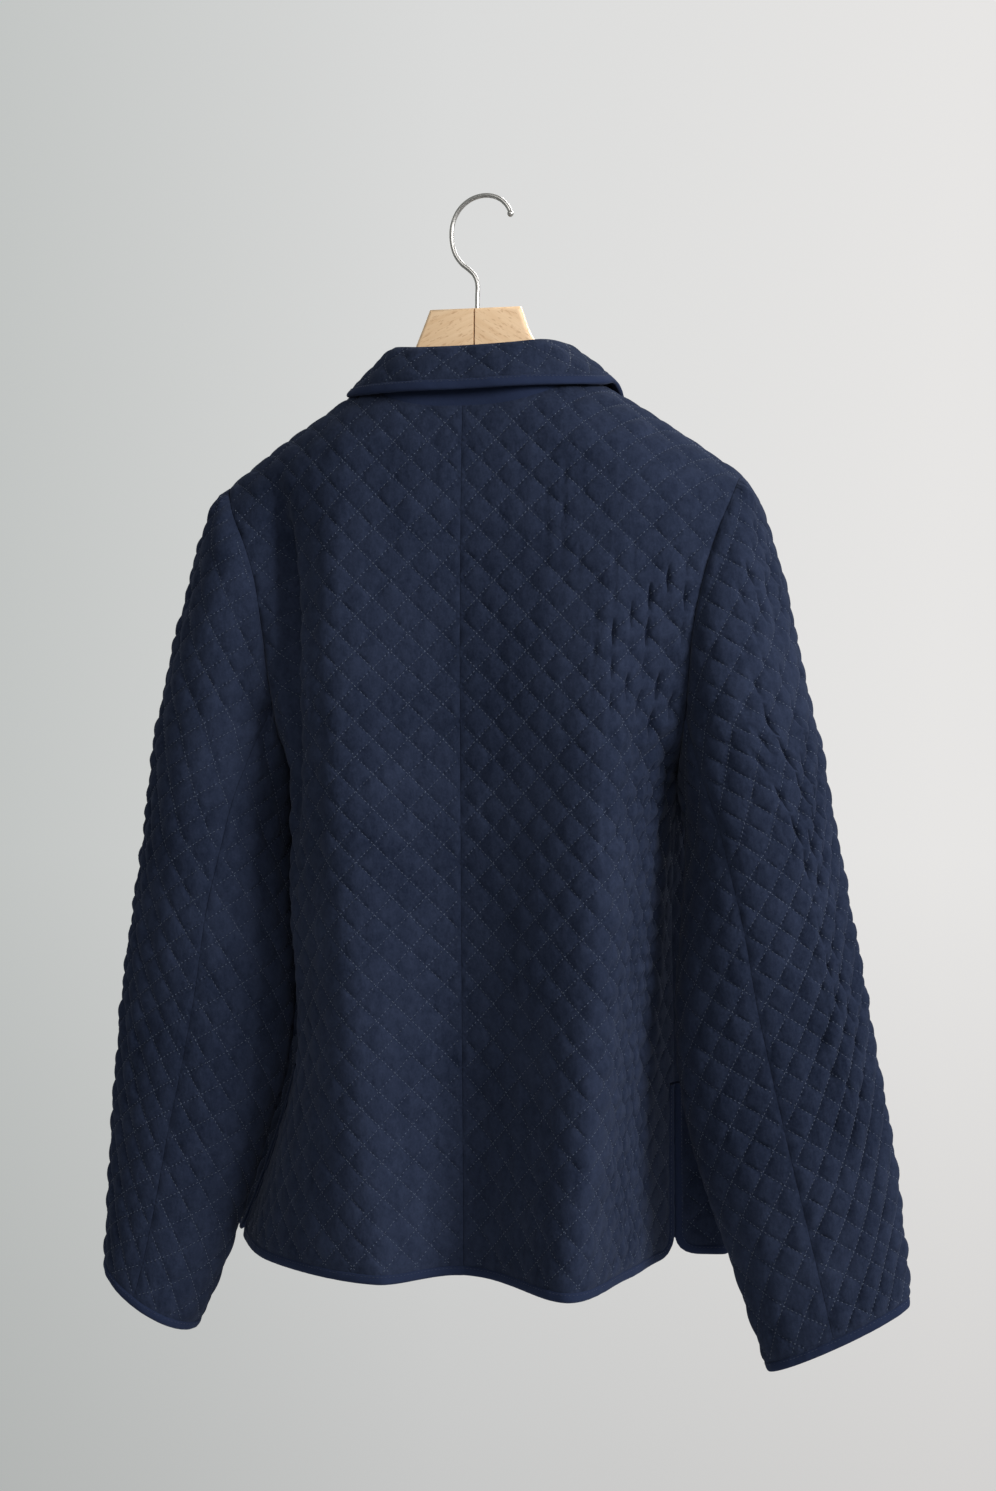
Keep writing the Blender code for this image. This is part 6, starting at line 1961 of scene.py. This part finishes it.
@dataclass
class Collar:
    """The stand on the neckline and the fall turned down from it."""

    neck: Array
    hang: Hang

    ROUND = 9.0
    LIFT = -0.9
    LEVELS = 9
    POINTS, END_POINTS = 133, 14
    END_GAP, TOP_DROP = 4.0, 0.8        # how far the stand stays inside the fall

    def __post_init__(self) -> None:
        """Lay out the fall and its two seams."""
        self.sheet = CollarSheet(COLLAR)
        first, last = self.sheet.u[0] + CUT, self.sheet.u[-1] - CUT
        u = np.linspace(first, last, self.POINTS)
        self.fold = np.column_stack([u, 0 * u])
        edge_u = np.linspace(last, first, self.POINTS)[1:-1]
        edge = np.column_stack([edge_u, CUT - self.sheet.height_at(edge_u)])
        ends = [np.array([end, CUT - float(self.sheet.height_at(end))]) for end in (last, first)]
        right = rounded(ends[0], (last, 0.0), edge[4], self.ROUND, 6)
        left = rounded(ends[1], edge[-5], (first, 0.0), self.ROUND, 6)
        down = np.linspace((last, 0.0), (last, right[0][1]), self.END_POINTS)[:-1]
        up = np.linspace((first, left[-1][1]), (first, 0.0), self.END_POINTS)[1:]
        middle = edge[(edge[:, 0] < right[-1][0] - 2) & (edge[:, 0] > left[0][0] + 2)]
        self.bound = np.vstack([down, right, middle, left, up])

    def panel(self) -> Panel:
        """The fall."""
        seams = [seam_on(self.sheet, self.fold), seam_on(self.sheet, self.bound)]
        return Panel("collar_fall", self.sheet, seams, 0.0, (0.0, -6.0), self.hang)

    def binding(self) -> Binding:
        """The tape round the fall's three free edges."""
        middle = len(self.bound) // 2
        for way in (1, -1):
            centre, normal, across = bound_edge(self.sheet, self.bound, way)
            if (centre - self.sheet.place(self.bound))[middle, 2] < 0:
                break
        return Binding("binding_collar", centre, normal, across, seed=21)

    def stand(self) -> bpy.types.Object:
        """The stand, between the neckline and the fold."""
        share = arc_lengths(self.neck) / arc_lengths(self.neck)[-1]
        middle = share[len(share) // 2]
        spread = (share - middle) / np.where(share < middle, middle, 1 - middle)
        fold, _, out = self.sheet.rails(spread * (self.sheet.u[-1] - self.END_GAP))
        top = fold - out * STAND_IN - np.array([0, 0, self.TOP_DROP])
        bottom = self.neck + np.array([0, 0, self.LIFT])
        rise = np.linspace(0, 1, self.LEVELS)[:, None, None]
        outer = bottom * (1 - rise) + top * rise + out * np.sin(rise * math.pi)
        inner = outer - out * STAND_WALL
        count, shift = len(self.neck), self.LEVELS * len(self.neck)
        faces = []
        for r in range(self.LEVELS - 1):
            for i in range(count - 1):
                a, b = r * count + i, r * count + i + 1
                faces.append((a, b, b + count, a + count))
                faces.append((a + count + shift, b + count + shift, b + shift, a + shift))
        rim = [*range(count), *(r * count + count - 1 for r in range(1, self.LEVELS))]
        rim += [(self.LEVELS - 1) * count + i for i in range(count - 2, -1, -1)]
        rim += [r * count for r in range(self.LEVELS - 2, 0, -1)]
        faces += [(b, a, a + shift, b + shift) for a, b in zip(rim, rim[1:] + rim[:1])]
        side = np.cross(outer[0][1] - outer[0][0], outer[1][0] - outer[0][0])
        if np.dot(side, outer[0][0] - inner[0][0]) < 0:
            faces = [face[::-1] for face in faces]
        points = np.vstack([outer.reshape(-1, 3), inner.reshape(-1, 3)])
        made = add_mesh("collar_stand_cloth", points, faces, (Finish.TAPE,))
        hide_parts("collar_stand")
        tall = float(np.mean(np.linalg.norm(top - bottom, axis=1))) * MM
        return made


@dataclass
class Buttons:
    """Flat four-hole buttons sewn down the front that laps over."""

    sheet: Sheet

    SIDES = 48
    HOLE, HOLE_REACH, HOLE_SIDES = 1.0, 2.1, 12
    SPOTS = ((1, 1), (-1, 1), (-1, -1), (1, -1))
    STAND_OFF = 0.9
    PROFILE = (
        (8.0, 0.0), (8.6, 0.25), (8.95, 0.9), (9.0, 1.6), (8.95, 2.5), (8.6, 3.1), (8.1, 3.36),
        (7.6, 3.30), (7.1, 2.95), (6.6, 2.62), (6.0, 2.5),
    )
    STRAND, STRAND_SIDES, STRAND_POINTS = 0.36, 6, 9
    STRAND_OFF = 0.32
    STRAND_DEEP, STRAND_RISE = 1.1, 1.55

    def frame_of(self, number: int) -> tuple[Array, Array]:
        """The middle of a button's back, and its axes as columns."""
        flat = np.array([[FRONT_EDGE_X, BUTTON_Z[number]]])
        normal = self.sheet.normals(flat)[0]
        turn = Vector(normal).to_track_quat("Z", "Y").to_matrix()
        return self.sheet.place(flat)[0] + normal * self.STAND_OFF, np.array(turn)

    @staticmethod
    def circle(sides: int) -> Array:
        """Points round a level circle that reaches one from its middle."""
        angle = np.linspace(0, 2 * math.pi, sides, endpoint=False)
        return np.column_stack([np.cos(angle), np.sin(angle), 0 * angle])

    def build(self, number: int) -> list[bpy.types.Object]:
        """One button and its cross of thread."""
        centre, axes = self.frame_of(number)
        ring = self.circle(self.SIDES)
        points = [ring * [radius, radius, 0] + [0, 0, height] for radius, height in self.PROFILE]
        small, reach = self.circle(self.HOLE_SIDES) * self.HOLE, self.HOLE_REACH
        for height in (self.PROFILE[-1][1], 0.0):
            points += [small + [x * reach, y * reach, height] for x, y in self.SPOTS]
        local = np.vstack(points)
        low = len(self.PROFILE) * self.SIDES
        faces = []
        for first in range(0, low - self.SIDES, self.SIDES):
            faces += band(first, first + self.SIDES, self.SIDES)
        faces += self.caps(local, low)
        for first in range(low, low + len(self.SPOTS) * self.HOLE_SIDES, self.HOLE_SIDES):
            faces += band(first, first + len(self.SPOTS) * self.HOLE_SIDES, self.HOLE_SIDES)
        name = f"button_{number + 1}"
        place = local @ axes.T + centre
        made = add_mesh(name + "_sewn", place, faces, (Finish.BUTTON,), crease=40.0)
        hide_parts(name)
        return [made, self.thread(name, centre, axes)]

    def caps(self, local: Array, low: int) -> list[tuple[int, ...]]:
        """The dished face and the back, each with its four holes.

        Args:
            local: the button's points, its profile's rings first and then its holes'.
            low: index of the first hole's first point.

        Returns:
            The faces, as indices of points.
        """
        found = []
        holes = np.array(self.SPOTS) * self.HOLE_REACH
        for layer, ring in enumerate((low - self.SIDES, 0)):
            real, loops = list(range(ring, ring + self.SIDES)), [list(range(self.SIDES))]
            for hole in range(len(holes)):
                first = low + (layer * len(holes) + hole) * self.HOLE_SIDES
                loops.append(list(range(len(real), len(real) + self.HOLE_SIDES))[::-1])
                real += range(first, first + self.HOLE_SIDES)
            flat = local[real, :2]
            edges = [pair for loop in loops for pair in zip(loop, loop[1:] + loop[:1])]
            made = geometry.delaunay_2d_cdt([Vector(p) for p in flat], edges, [], 2, 1e-7)
            for face in made[2]:
                ids = [made[3][i][0] for i in face]
                gaps = np.linalg.norm(holes - np.mean(flat[ids], axis=0), axis=1)
                if gaps.min() < self.HOLE * 0.97:
                    continue
                up = anticlockwise(*flat[ids[:3]])
                ids = ids if up == (layer == 0) else ids[::-1]
                found.append(tuple(real[i] for i in ids))
        return found

    def thread(self, name: str, centre: Array, axes: Array) -> bpy.types.Object:
        """Two crossed bars of thread through the holes."""
        share = np.linspace(-1, 1, self.STRAND_POINTS)
        rise = self.PROFILE[-1][1] - self.STRAND_DEEP + self.STRAND_RISE * (1 - share**4)
        radius = np.full(len(share), self.STRAND)
        points, faces = [], []
        for x, y in self.SPOTS[:2]:
            for strand in (-self.STRAND_OFF, self.STRAND_OFF):
                side = np.array([-y, x]) / math.sqrt(2) * strand
                flat = [way * self.HOLE_REACH * share + off for way, off in zip((x, y), side)]
                line = np.column_stack([*flat, rise])
                start = len(points) * len(share) * self.STRAND_SIDES
                bar = wire(line, (0.0, 0.0, 1.0), radius, self.STRAND_SIDES, start)
                points.append(bar[0])
                faces += bar[1]
        place = np.vstack(points) @ axes.T + centre
        made = add_mesh(name + "_thread", place, faces, (Finish.TAPE_THREAD,))
        return made


@dataclass
class Hanger:
    """Two beech arms jointed beside the middle, and the hook screwed into them."""

    THICKNESS = 12.0
    JOINT_X, JOINT_Z = -5.0, -125.0
    EDGE, EDGE_POINTS = 3.2, 6
    CURVE_POINTS = 181
    TOP = (
        (37.0, -88.0), (47.0, -113.0), (60.0, -131.0), (84.0, -150.2), (120.0, -172.2),
        (150.0, -191.8), (184.0, -214.8),
    )
    END = ((192.0, -222.0), (195.0, -231.0), (191.0, -241.0), (183.0, -244.0))
    UNDER = ((120.0, -205.0), (70.0, -180.0), (30.0, -166.0))
    CENTRE_UNDER_Z = -162.0
    ROUTE = (
        (23.2, -16.0), (20.8, -8.6), (14.6, -1.8), (6.0, 1.7), (-3.0, 1.6), (-12.0, -1.8),
        (-20.0, -9.2), (-24.8, -20.0), (-25.4, -32.0), (-22.8, -43.0), (-17.4, -51.2),
        (-11.0, -56.6), (-6.4, -61.6), (-4.0, -68.5), (-4.0, -78.0), (-4.0, -87.6),
    )
    WIRE, WIRE_SIDES, WIRE_POINTS = 1.9, 24, 160
    BALL, BALL_GAP = 2.7, 0.8

    def outline(self, side: int) -> Array:
        """The (x, z) outline of one arm, with its curves read finely."""
        top = np.array([(x + self.JOINT_X * side if x < 60 else x, z) for x, z in self.TOP])
        round_end = np.vstack([top, self.END, self.UNDER, [[6.0, self.CENTRE_UNDER_Z]]])
        knots = arc_lengths(round_end)
        curve = through(knots, round_end, np.linspace(0, knots[-1], self.CURVE_POINTS))
        start = self.JOINT_X * side + SEAM_GAP / 2
        line = np.vstack([[(start, self.TOP[0][1])], curve, [(start, self.CENTRE_UNDER_Z)]])
        return line * [side, 1]

    def arm(self, side: int) -> bpy.types.Object:
        """One arm, with rounded long edges."""
        line = self.outline(side)
        if signed_area(line) < 0:
            line = line[::-1]
        half, edge = self.THICKNESS / 2, self.EDGE
        turns = np.linspace(math.pi / 2, 0, self.EDGE_POINTS)
        rounding = [(half - edge * (1 - math.cos(a)), edge * (1 - math.sin(a))) for a in turns]
        levels = [(-y, cut) for y, cut in rounding[::-1]] + rounding
        rings = [np.insert(self.cut_back(line, cut, side), 1, y, axis=1) for y, cut in levels]
        count, faces = len(line), []
        last = (len(levels) - 1) * count
        for low in range(0, last, count):
            faces += band(low, low + count, count, turned=True)
        flat = rings[0][:, [0, 2]]
        points = [Vector(p) for p in flat]
        made = geometry.delaunay_2d_cdt(points, [], [list(range(count))], 1, 1e-7)
        cap = []
        for face in made[2]:
            ids = [made[3][i][0] for i in face]
            cap.append(tuple(ids if anticlockwise(*flat[ids]) else ids[::-1]))
        faces += cap
        faces += [tuple(i + last for i in face[::-1]) for face in cap]
        word = "right" if side > 0 else "left"
        finish = Finish.BEECH_RIGHT if side > 0 else Finish.BEECH_LEFT
        made = add_mesh(f"hanger_arm_{word}", np.vstack(rings), faces, (finish,), crease=60.0)
        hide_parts("hanger_" + word)
        return made

    def cut_back(self, line: Array, cut: float, side: int) -> Array:
        """The outline moved inwards, but not at the joint."""
        moved = inset(line, cut)
        joint = self.JOINT_X + side * SEAM_GAP / 2
        at_joint = np.abs(line[:, 0] - joint) < 0.01
        moved[at_joint, 0] = joint + side * min(cut, 0.5)
        moved[at_joint, 1] = line[at_joint, 1] - np.sign(line[at_joint, 1] - self.JOINT_Z) * cut
        return moved

    def hook(self) -> bpy.types.Object:
        """The steel wire from its ball end over the top and down to its stem."""
        line = smooth(self.ROUTE, self.WIRE_POINTS)
        run = arc_lengths(line)
        ball = self.BALL * (1 - np.cos(np.linspace(0.12, math.pi * 0.80, 14)))
        at = np.concatenate([ball, run[run > ball[-1] + self.BALL_GAP]])
        x, z = read_line(at, run, line).T
        line = np.column_stack([x, 0 * at, z])
        swell = self.BALL * np.sqrt(np.clip(1 - (at / self.BALL - 1) ** 2, 0, 1))
        radius = np.maximum(swell, np.where(at < self.BALL, 0.0, self.WIRE))
        points, faces = wire(line, (0.0, 1.0, 0.0), radius, self.WIRE_SIDES)
        made = add_mesh("hook_wire", points, faces, (Finish.STEEL,))
        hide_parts("hook")
        return made


@dataclass(frozen=True)
class Lamp:
    """A soft square light: where it stands, its size, its power and its colour."""

    name: str
    place: tuple[float, float, float]
    size: float
    power: float
    colour: Colour = (1.0, 1.0, 1.0)

    def build(self, target: Sequence[float]) -> bpy.types.Object:
        """Hang the light, facing the target."""
        light = bpy.data.lights.new(self.name, "AREA")
        light.shape, light.size = "SQUARE", self.size
        light.energy, light.color = self.power, self.colour
        made = add_object(self.name, light)
        made.location = self.place
        aim = Vector(target) - Vector(self.place)
        made.rotation_euler = aim.to_track_quat("-Z", "Y").to_euler()
        made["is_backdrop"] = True
        return made


@dataclass
class Studio:
    """The pale floor and surroundings, the soft light and the camera."""

    FLOOR_Z = -2.15
    FLOOR_REACH = 2.2
    FLOOR_SHADES = ((0.60, 0.60, 0.60), (0.66, 0.66, 0.655))
    AIM = (0.0, 0.0, -0.45)
    LAMPS = (
        Lamp("key", (2.4, -1.25, 0.45), 0.9, 95.0, (0.98, 0.985, 1.0)),
        Lamp("fill", (0.45, -2.6, 1.0), 1.4, 20.0, (1.0, 0.99, 0.975)),
        Lamp("front_key", (0.7, 2.3, 1.5), 1.2, 50.0),
        Lamp("front_fill", (-1.6, 2.3, 0.3), 2.0, 16.0),
    )
    SHADES = ((0.0, (0.52, 0.54, 0.53)), (0.45, (0.70, 0.705, 0.70)), (0.9, (0.80, 0.79, 0.78)))
    ACROSS = ((-0.26, 0.26), (0.0, 1.0))
    BEHIND = ((-0.7, 0.8), (0.46, 1.0))     # directions, and how bright it is there
    BELOW = ((-0.45, -0.05), (0.74, 1.0))
    LOOK_FROM = (0.3857, -1.6043, -0.436)
    TURN = 13.0
    ROLL = 0.38
    LENS = 50.0

    def build(self) -> None:
        """Set the stage up."""
        for lamp in self.LAMPS:
            lamp.build(self.AIM)
        self.floor()
        self.surroundings()
        self.camera()

    def floor(self) -> None:
        """A pale plain floor, well below the jacket."""
        shader = Shader("studio_floor")
        cloud = shader.noise(shader.place(), 1.2, 2.0)
        shader.surface(Base_Color=shader.blend(cloud, *self.FLOOR_SHADES), Roughness=0.8)
        mesh = bpy.data.meshes.new("floor")
        reach = self.FLOOR_REACH
        spots = ((-1, -1), (1, -1), (1, 1), (-1, 1))
        corners = [(x * reach, y * reach, self.FLOOR_Z) for x, y in spots]
        mesh.from_pydata(corners, [], [(0, 1, 2, 3)])
        mesh.materials.append(shader.material)
        made = add_object("floor", mesh)
        made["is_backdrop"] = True

    def surroundings(self) -> None:
        """Pale surroundings, brighter to the right, above and behind the jacket."""
        s = Sky("surroundings")
        turned = s.mapped(s.place("Generated"), (1, 1, 1), (0, 0, math.radians(-self.TURN)))
        x, y, z = s.parts(turned)
        across = s.ranged(x, *self.ACROSS)
        shade = s.node("ShaderNodeValToRGB", {"stops": self.SHADES}, [across])
        for part, limits in ((y, self.BEHIND), (z, self.BELOW)):
            shade = s.blend(1.0, shade, s.ranged(part, *limits), "MULTIPLY")
        s.feed(s.tree.nodes["Background"].inputs["Color"], shade)
        bpy.context.scene.view_settings.view_transform = "Standard"

    def camera(self) -> None:
        """The camera, level with the middle of the back and a little to its right."""
        lens = bpy.data.cameras.new("camera")
        lens.lens, lens.sensor_fit, lens.sensor_height = self.LENS, "VERTICAL", 36.0
        made = add_object("camera", lens)
        turn = math.radians(self.TURN)
        facing = Matrix.Rotation(turn, 4, "Z") @ Matrix.Rotation(math.pi / 2, 4, "X")
        facing = facing @ Matrix.Rotation(math.radians(self.ROLL), 4, "Z")
        made.matrix_world = Matrix.Translation(self.LOOK_FROM) @ facing
        bpy.context.scene.camera = made


RIGHT_BACK = Hang(
    seed=11,
    creases=(
        Crease(((150, -262), (152, -330), (148, -420), (150, -520)), 13, -2.6),
        Crease(((186, -300), (194, -380), (202, -470), (212, -560)), 9, 2.4),
        Crease(((236, -430), (240, -520), (252, -620), (260, -740)), 14, 4.0),
        Crease(((60, -205), (92, -222), (130, -226)), 8, -1.4),
    ),
    fullness=(
        Patch(174, -400, 50, 110, 0.8),
        Patch(198, -640, 62, 190, 1.1),
        Patch(90, -200, 50, 25, 0.3),
    ),
    pinches=(
        Patch(156, -360, 50, 80, 1.0),
        Patch(170, -480, 52, 95, 1.2),
        Patch(186, -620, 56, 100, 1.2),
        Patch(204, -770, 56, 85, 1.1),
        Patch(84, -262, 20, 60, 0.45),
    ),
)
LEFT_BACK = Hang(
    seed=23,
    creases=(
        Crease(((160, -226), (153, -285), (149, -350), (151, -420), (163, -520)), 10, -18.0),
        Crease(((186, -262), (181, -300), (182, -340)), 5.0, 3.0),
        Crease(((146, -250), (142, -300), (148, -370), (150, -430)), 8, 2.6),
        Crease(((170, -440), (168, -520), (170, -610), (176, -700)), 15, 5.4),
        Crease(((118, -300), (112, -400), (120, -520), (132, -640)), 14, -2.2),
        Crease(((126, -200), (112, -214), (90, -222)), 7, -1.2),
    ),
    fullness=(Patch(140, -420, 40, 150, 0.35), Patch(160, -680, 40, 120, 0.35)),
    pinches=(Patch(150, -300, 20, 50, 0.7), Patch(130, -420, 22, 70, 0.45)),
)
RIGHT_FRONT = Hang(
    seed=31,
    creases=(
        Crease(((196, -330), (190, -420), (196, -520), (206, -640)), 14, 5.0),
        Crease(((150, -250), (146, -330), (150, -420)), 10, 2.2),
        Crease(((120, -480), (132, -600), (146, -740)), 13, 2.2),
    ),
    fullness=(Patch(170, -420, 45, 130, 0.5),),
    pinches=(Patch(176, -350, 34, 70, 0.8), Patch(190, -520, 36, 100, 0.6)),
)
LEFT_FRONT = Hang(
    seed=37,
    creases=(
        Crease(((190, -330), (184, -420), (190, -520), (200, -640)), 14, 8.5),
        Crease(((146, -260), (140, -340), (146, -430)), 10, 2.2),
        Crease(((110, -480), (120, -600), (130, -740)), 13, 2.0),
    ),
    fullness=(Patch(165, -420, 45, 130, 0.4),),
    pinches=(Patch(172, -350, 30, 70, 0.7), Patch(180, -520, 36, 100, 0.45)),
)
RIGHT_SLEEVE = Hang(
    puff=1.9,
    wave=1.1,
    wave_reach=(26.0, 90.0),
    seed=41,
    creases=(
        Crease(((30, -50), (36, -120), (30, -190)), 7, -2.2),
        Crease(((10, -240), (24, -300), (30, -380)), 9, -2.0),
        Crease(((84, -60), (96, -130), (104, -210)), 12, 1.8),
        Crease(((56, -330), (60, -420), (50, -520)), 12, 1.8),
    ),
    fullness=(Patch(20, -200, 50, 190, 0.6), Patch(20, -470, 66, 190, 0.8)),
    rolls=(Patch(14, -450, 74, 230, 1.0), Patch(26, -200, 45, 130, 0.5)),
    pinches=(
        Patch(36, -110, 34, 80, 1.0),
        Patch(50, -240, 36, 100, 1.0),
        Patch(36, -400, 40, 110, 0.6),
        Patch(-60, -220, 40, 160, 0.45),
    ),
    fall=5.0,
)
LEFT_SLEEVE = Hang(
    puff=1.9,
    wave=1.1,
    wave_reach=(26.0, 90.0),
    seed=43,
    creases=(
        Crease(((34, -40), (38, -110), (30, -180)), 7, -2.0),
        Crease(((16, -250), (26, -330), (30, -400)), 9, -1.8),
        Crease(((96, -50), (108, -110), (118, -170)), 9, -2.0),
        Crease(((50, -330), (56, -430), (48, -520)), 12, 1.6),
    ),
    fullness=(Patch(15, -200, 40, 190, 0.7), Patch(15, -460, 40, 150, 0.6)),
    rolls=(Patch(10, -350, 50, 220, 0.4),),
    pinches=(
        Patch(20, -130, 24, 80, 0.8),
        Patch(20, -300, 30, 110, 0.7),
        Patch(-60, -220, 40, 160, 0.4),
    ),
    fall=14.0,
)
RIGHT_UNDER = Hang(puff=1.8, seed=47)
LEFT_UNDER = Hang(puff=1.8, seed=53)
COLLAR_HANG = Hang(wave=0.4, wave_reach=(40.0, 30.0), seed=59)


class Jacket:
    """The whole jacket."""

    ARMS = ("hanger_left", "hanger_right")
    PANELS = ("back", "front", "sleeve", "under")

    def __init__(self) -> None:
        """Lay out its two halves and its collar."""
        hangs = dict(zip(self.PANELS, (RIGHT_BACK, RIGHT_FRONT, RIGHT_SLEEVE, RIGHT_UNDER)))
        rows = BACK_RIGHT, FRONT_RIGHT, ARMHOLE_RIGHT, SLEEVE_RIGHT
        self.right = Half(1, *rows, hangs, gather=(28.0, 0.6))
        hangs = dict(zip(self.PANELS, (LEFT_BACK, LEFT_FRONT, LEFT_SLEEVE, LEFT_UNDER)))
        rows = BACK_LEFT, FRONT_LEFT, ARMHOLE_LEFT, SLEEVE_LEFT
        self.left = Half(-1, *rows, hangs, gather=(14.0, 0.5))
        self.collar = Collar(self.neck_line(), COLLAR_HANG)

    def neck_line(self) -> Array:
        """The neck seam, from the left front edge round the back to the right one."""
        backs, fronts = [], []
        for half in (self.left, self.right):
            backs.append(half.back.place(neck_run(half.back, BACK_NECK)))
            place = half.front.place(neck_run(half.front, FRONT_NECK))
            fronts.append(place[place[:, 0] * half.side > 2.0])
        return np.vstack([fronts[0][::-1][:-1], backs[0][::-1], backs[1][1:], fronts[1][1:]])

    def hem_binding(self) -> Binding:
        """The tape round the back's hem and vents."""
        edges = zip(self.right.hem_edge(), self.left.hem_edge())
        joined = [np.vstack([a, b[::-1][1:]]) for a, b in edges]
        return Binding("binding_back_hem", *joined, seed=15)

    def build(self) -> None:
        """Make every piece of cloth."""
        tapes = {"back_right": [self.hem_binding()], "collar_fall": [self.collar.binding()]}
        panels = [self.collar.panel()]
        for half in (self.right, self.left):
            sleeves = half.sleeve_panels()
            front, cuff = half.bindings()
            tapes["front_" + half.word] = [front]
            tapes[f"sleeve_{half.word}_upper"] = [cuff]
            panels += [half.back_panel(), half.front_panel(), *sleeves]
        buttons = Buttons(self.left.front)
        for panel in panels:
            made = panel.build()
            name, lines = panel.name + "_stitches", panel.stitch_lines()
            going = [StitchRows(name, Finish.QUILT_THREAD, lines=lines).build("cloth")]
            for tape in tapes.get(panel.name, ()):
                going.append(tape.build())
                name, lines = tape.name + "_stitches", [tape.stitch_line()]
                sewn = StitchRows(name, Finish.TAPE_THREAD, *tape.SEWING, lines=lines)
                going.append(sewn.build("binding"))
            if panel.name == "front_left":
                for number in range(len(BUTTON_Z)):
                    going += buttons.build(number)
        self.collar.stand()


def main() -> None:
    """Build the jacket, its hanger and the studio."""
    logging.basicConfig(level=logging.INFO, format="%(name)s: %(message)s")
    Studio().build()
    hanger = Hanger()
    for side in (1, -1):
        hanger.arm(side)
    hanger.hook()
    Jacket().build()
    bpy.context.view_layer.update()
    boxes = {"cad": CAD_BOX, "visual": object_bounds()}
    for name, (low, high) in boxes.items():
        LOG.info("%s box: %s to %s", name, np.round(low, 4), np.round(high, 4))


if __name__ == "__main__":
    main()
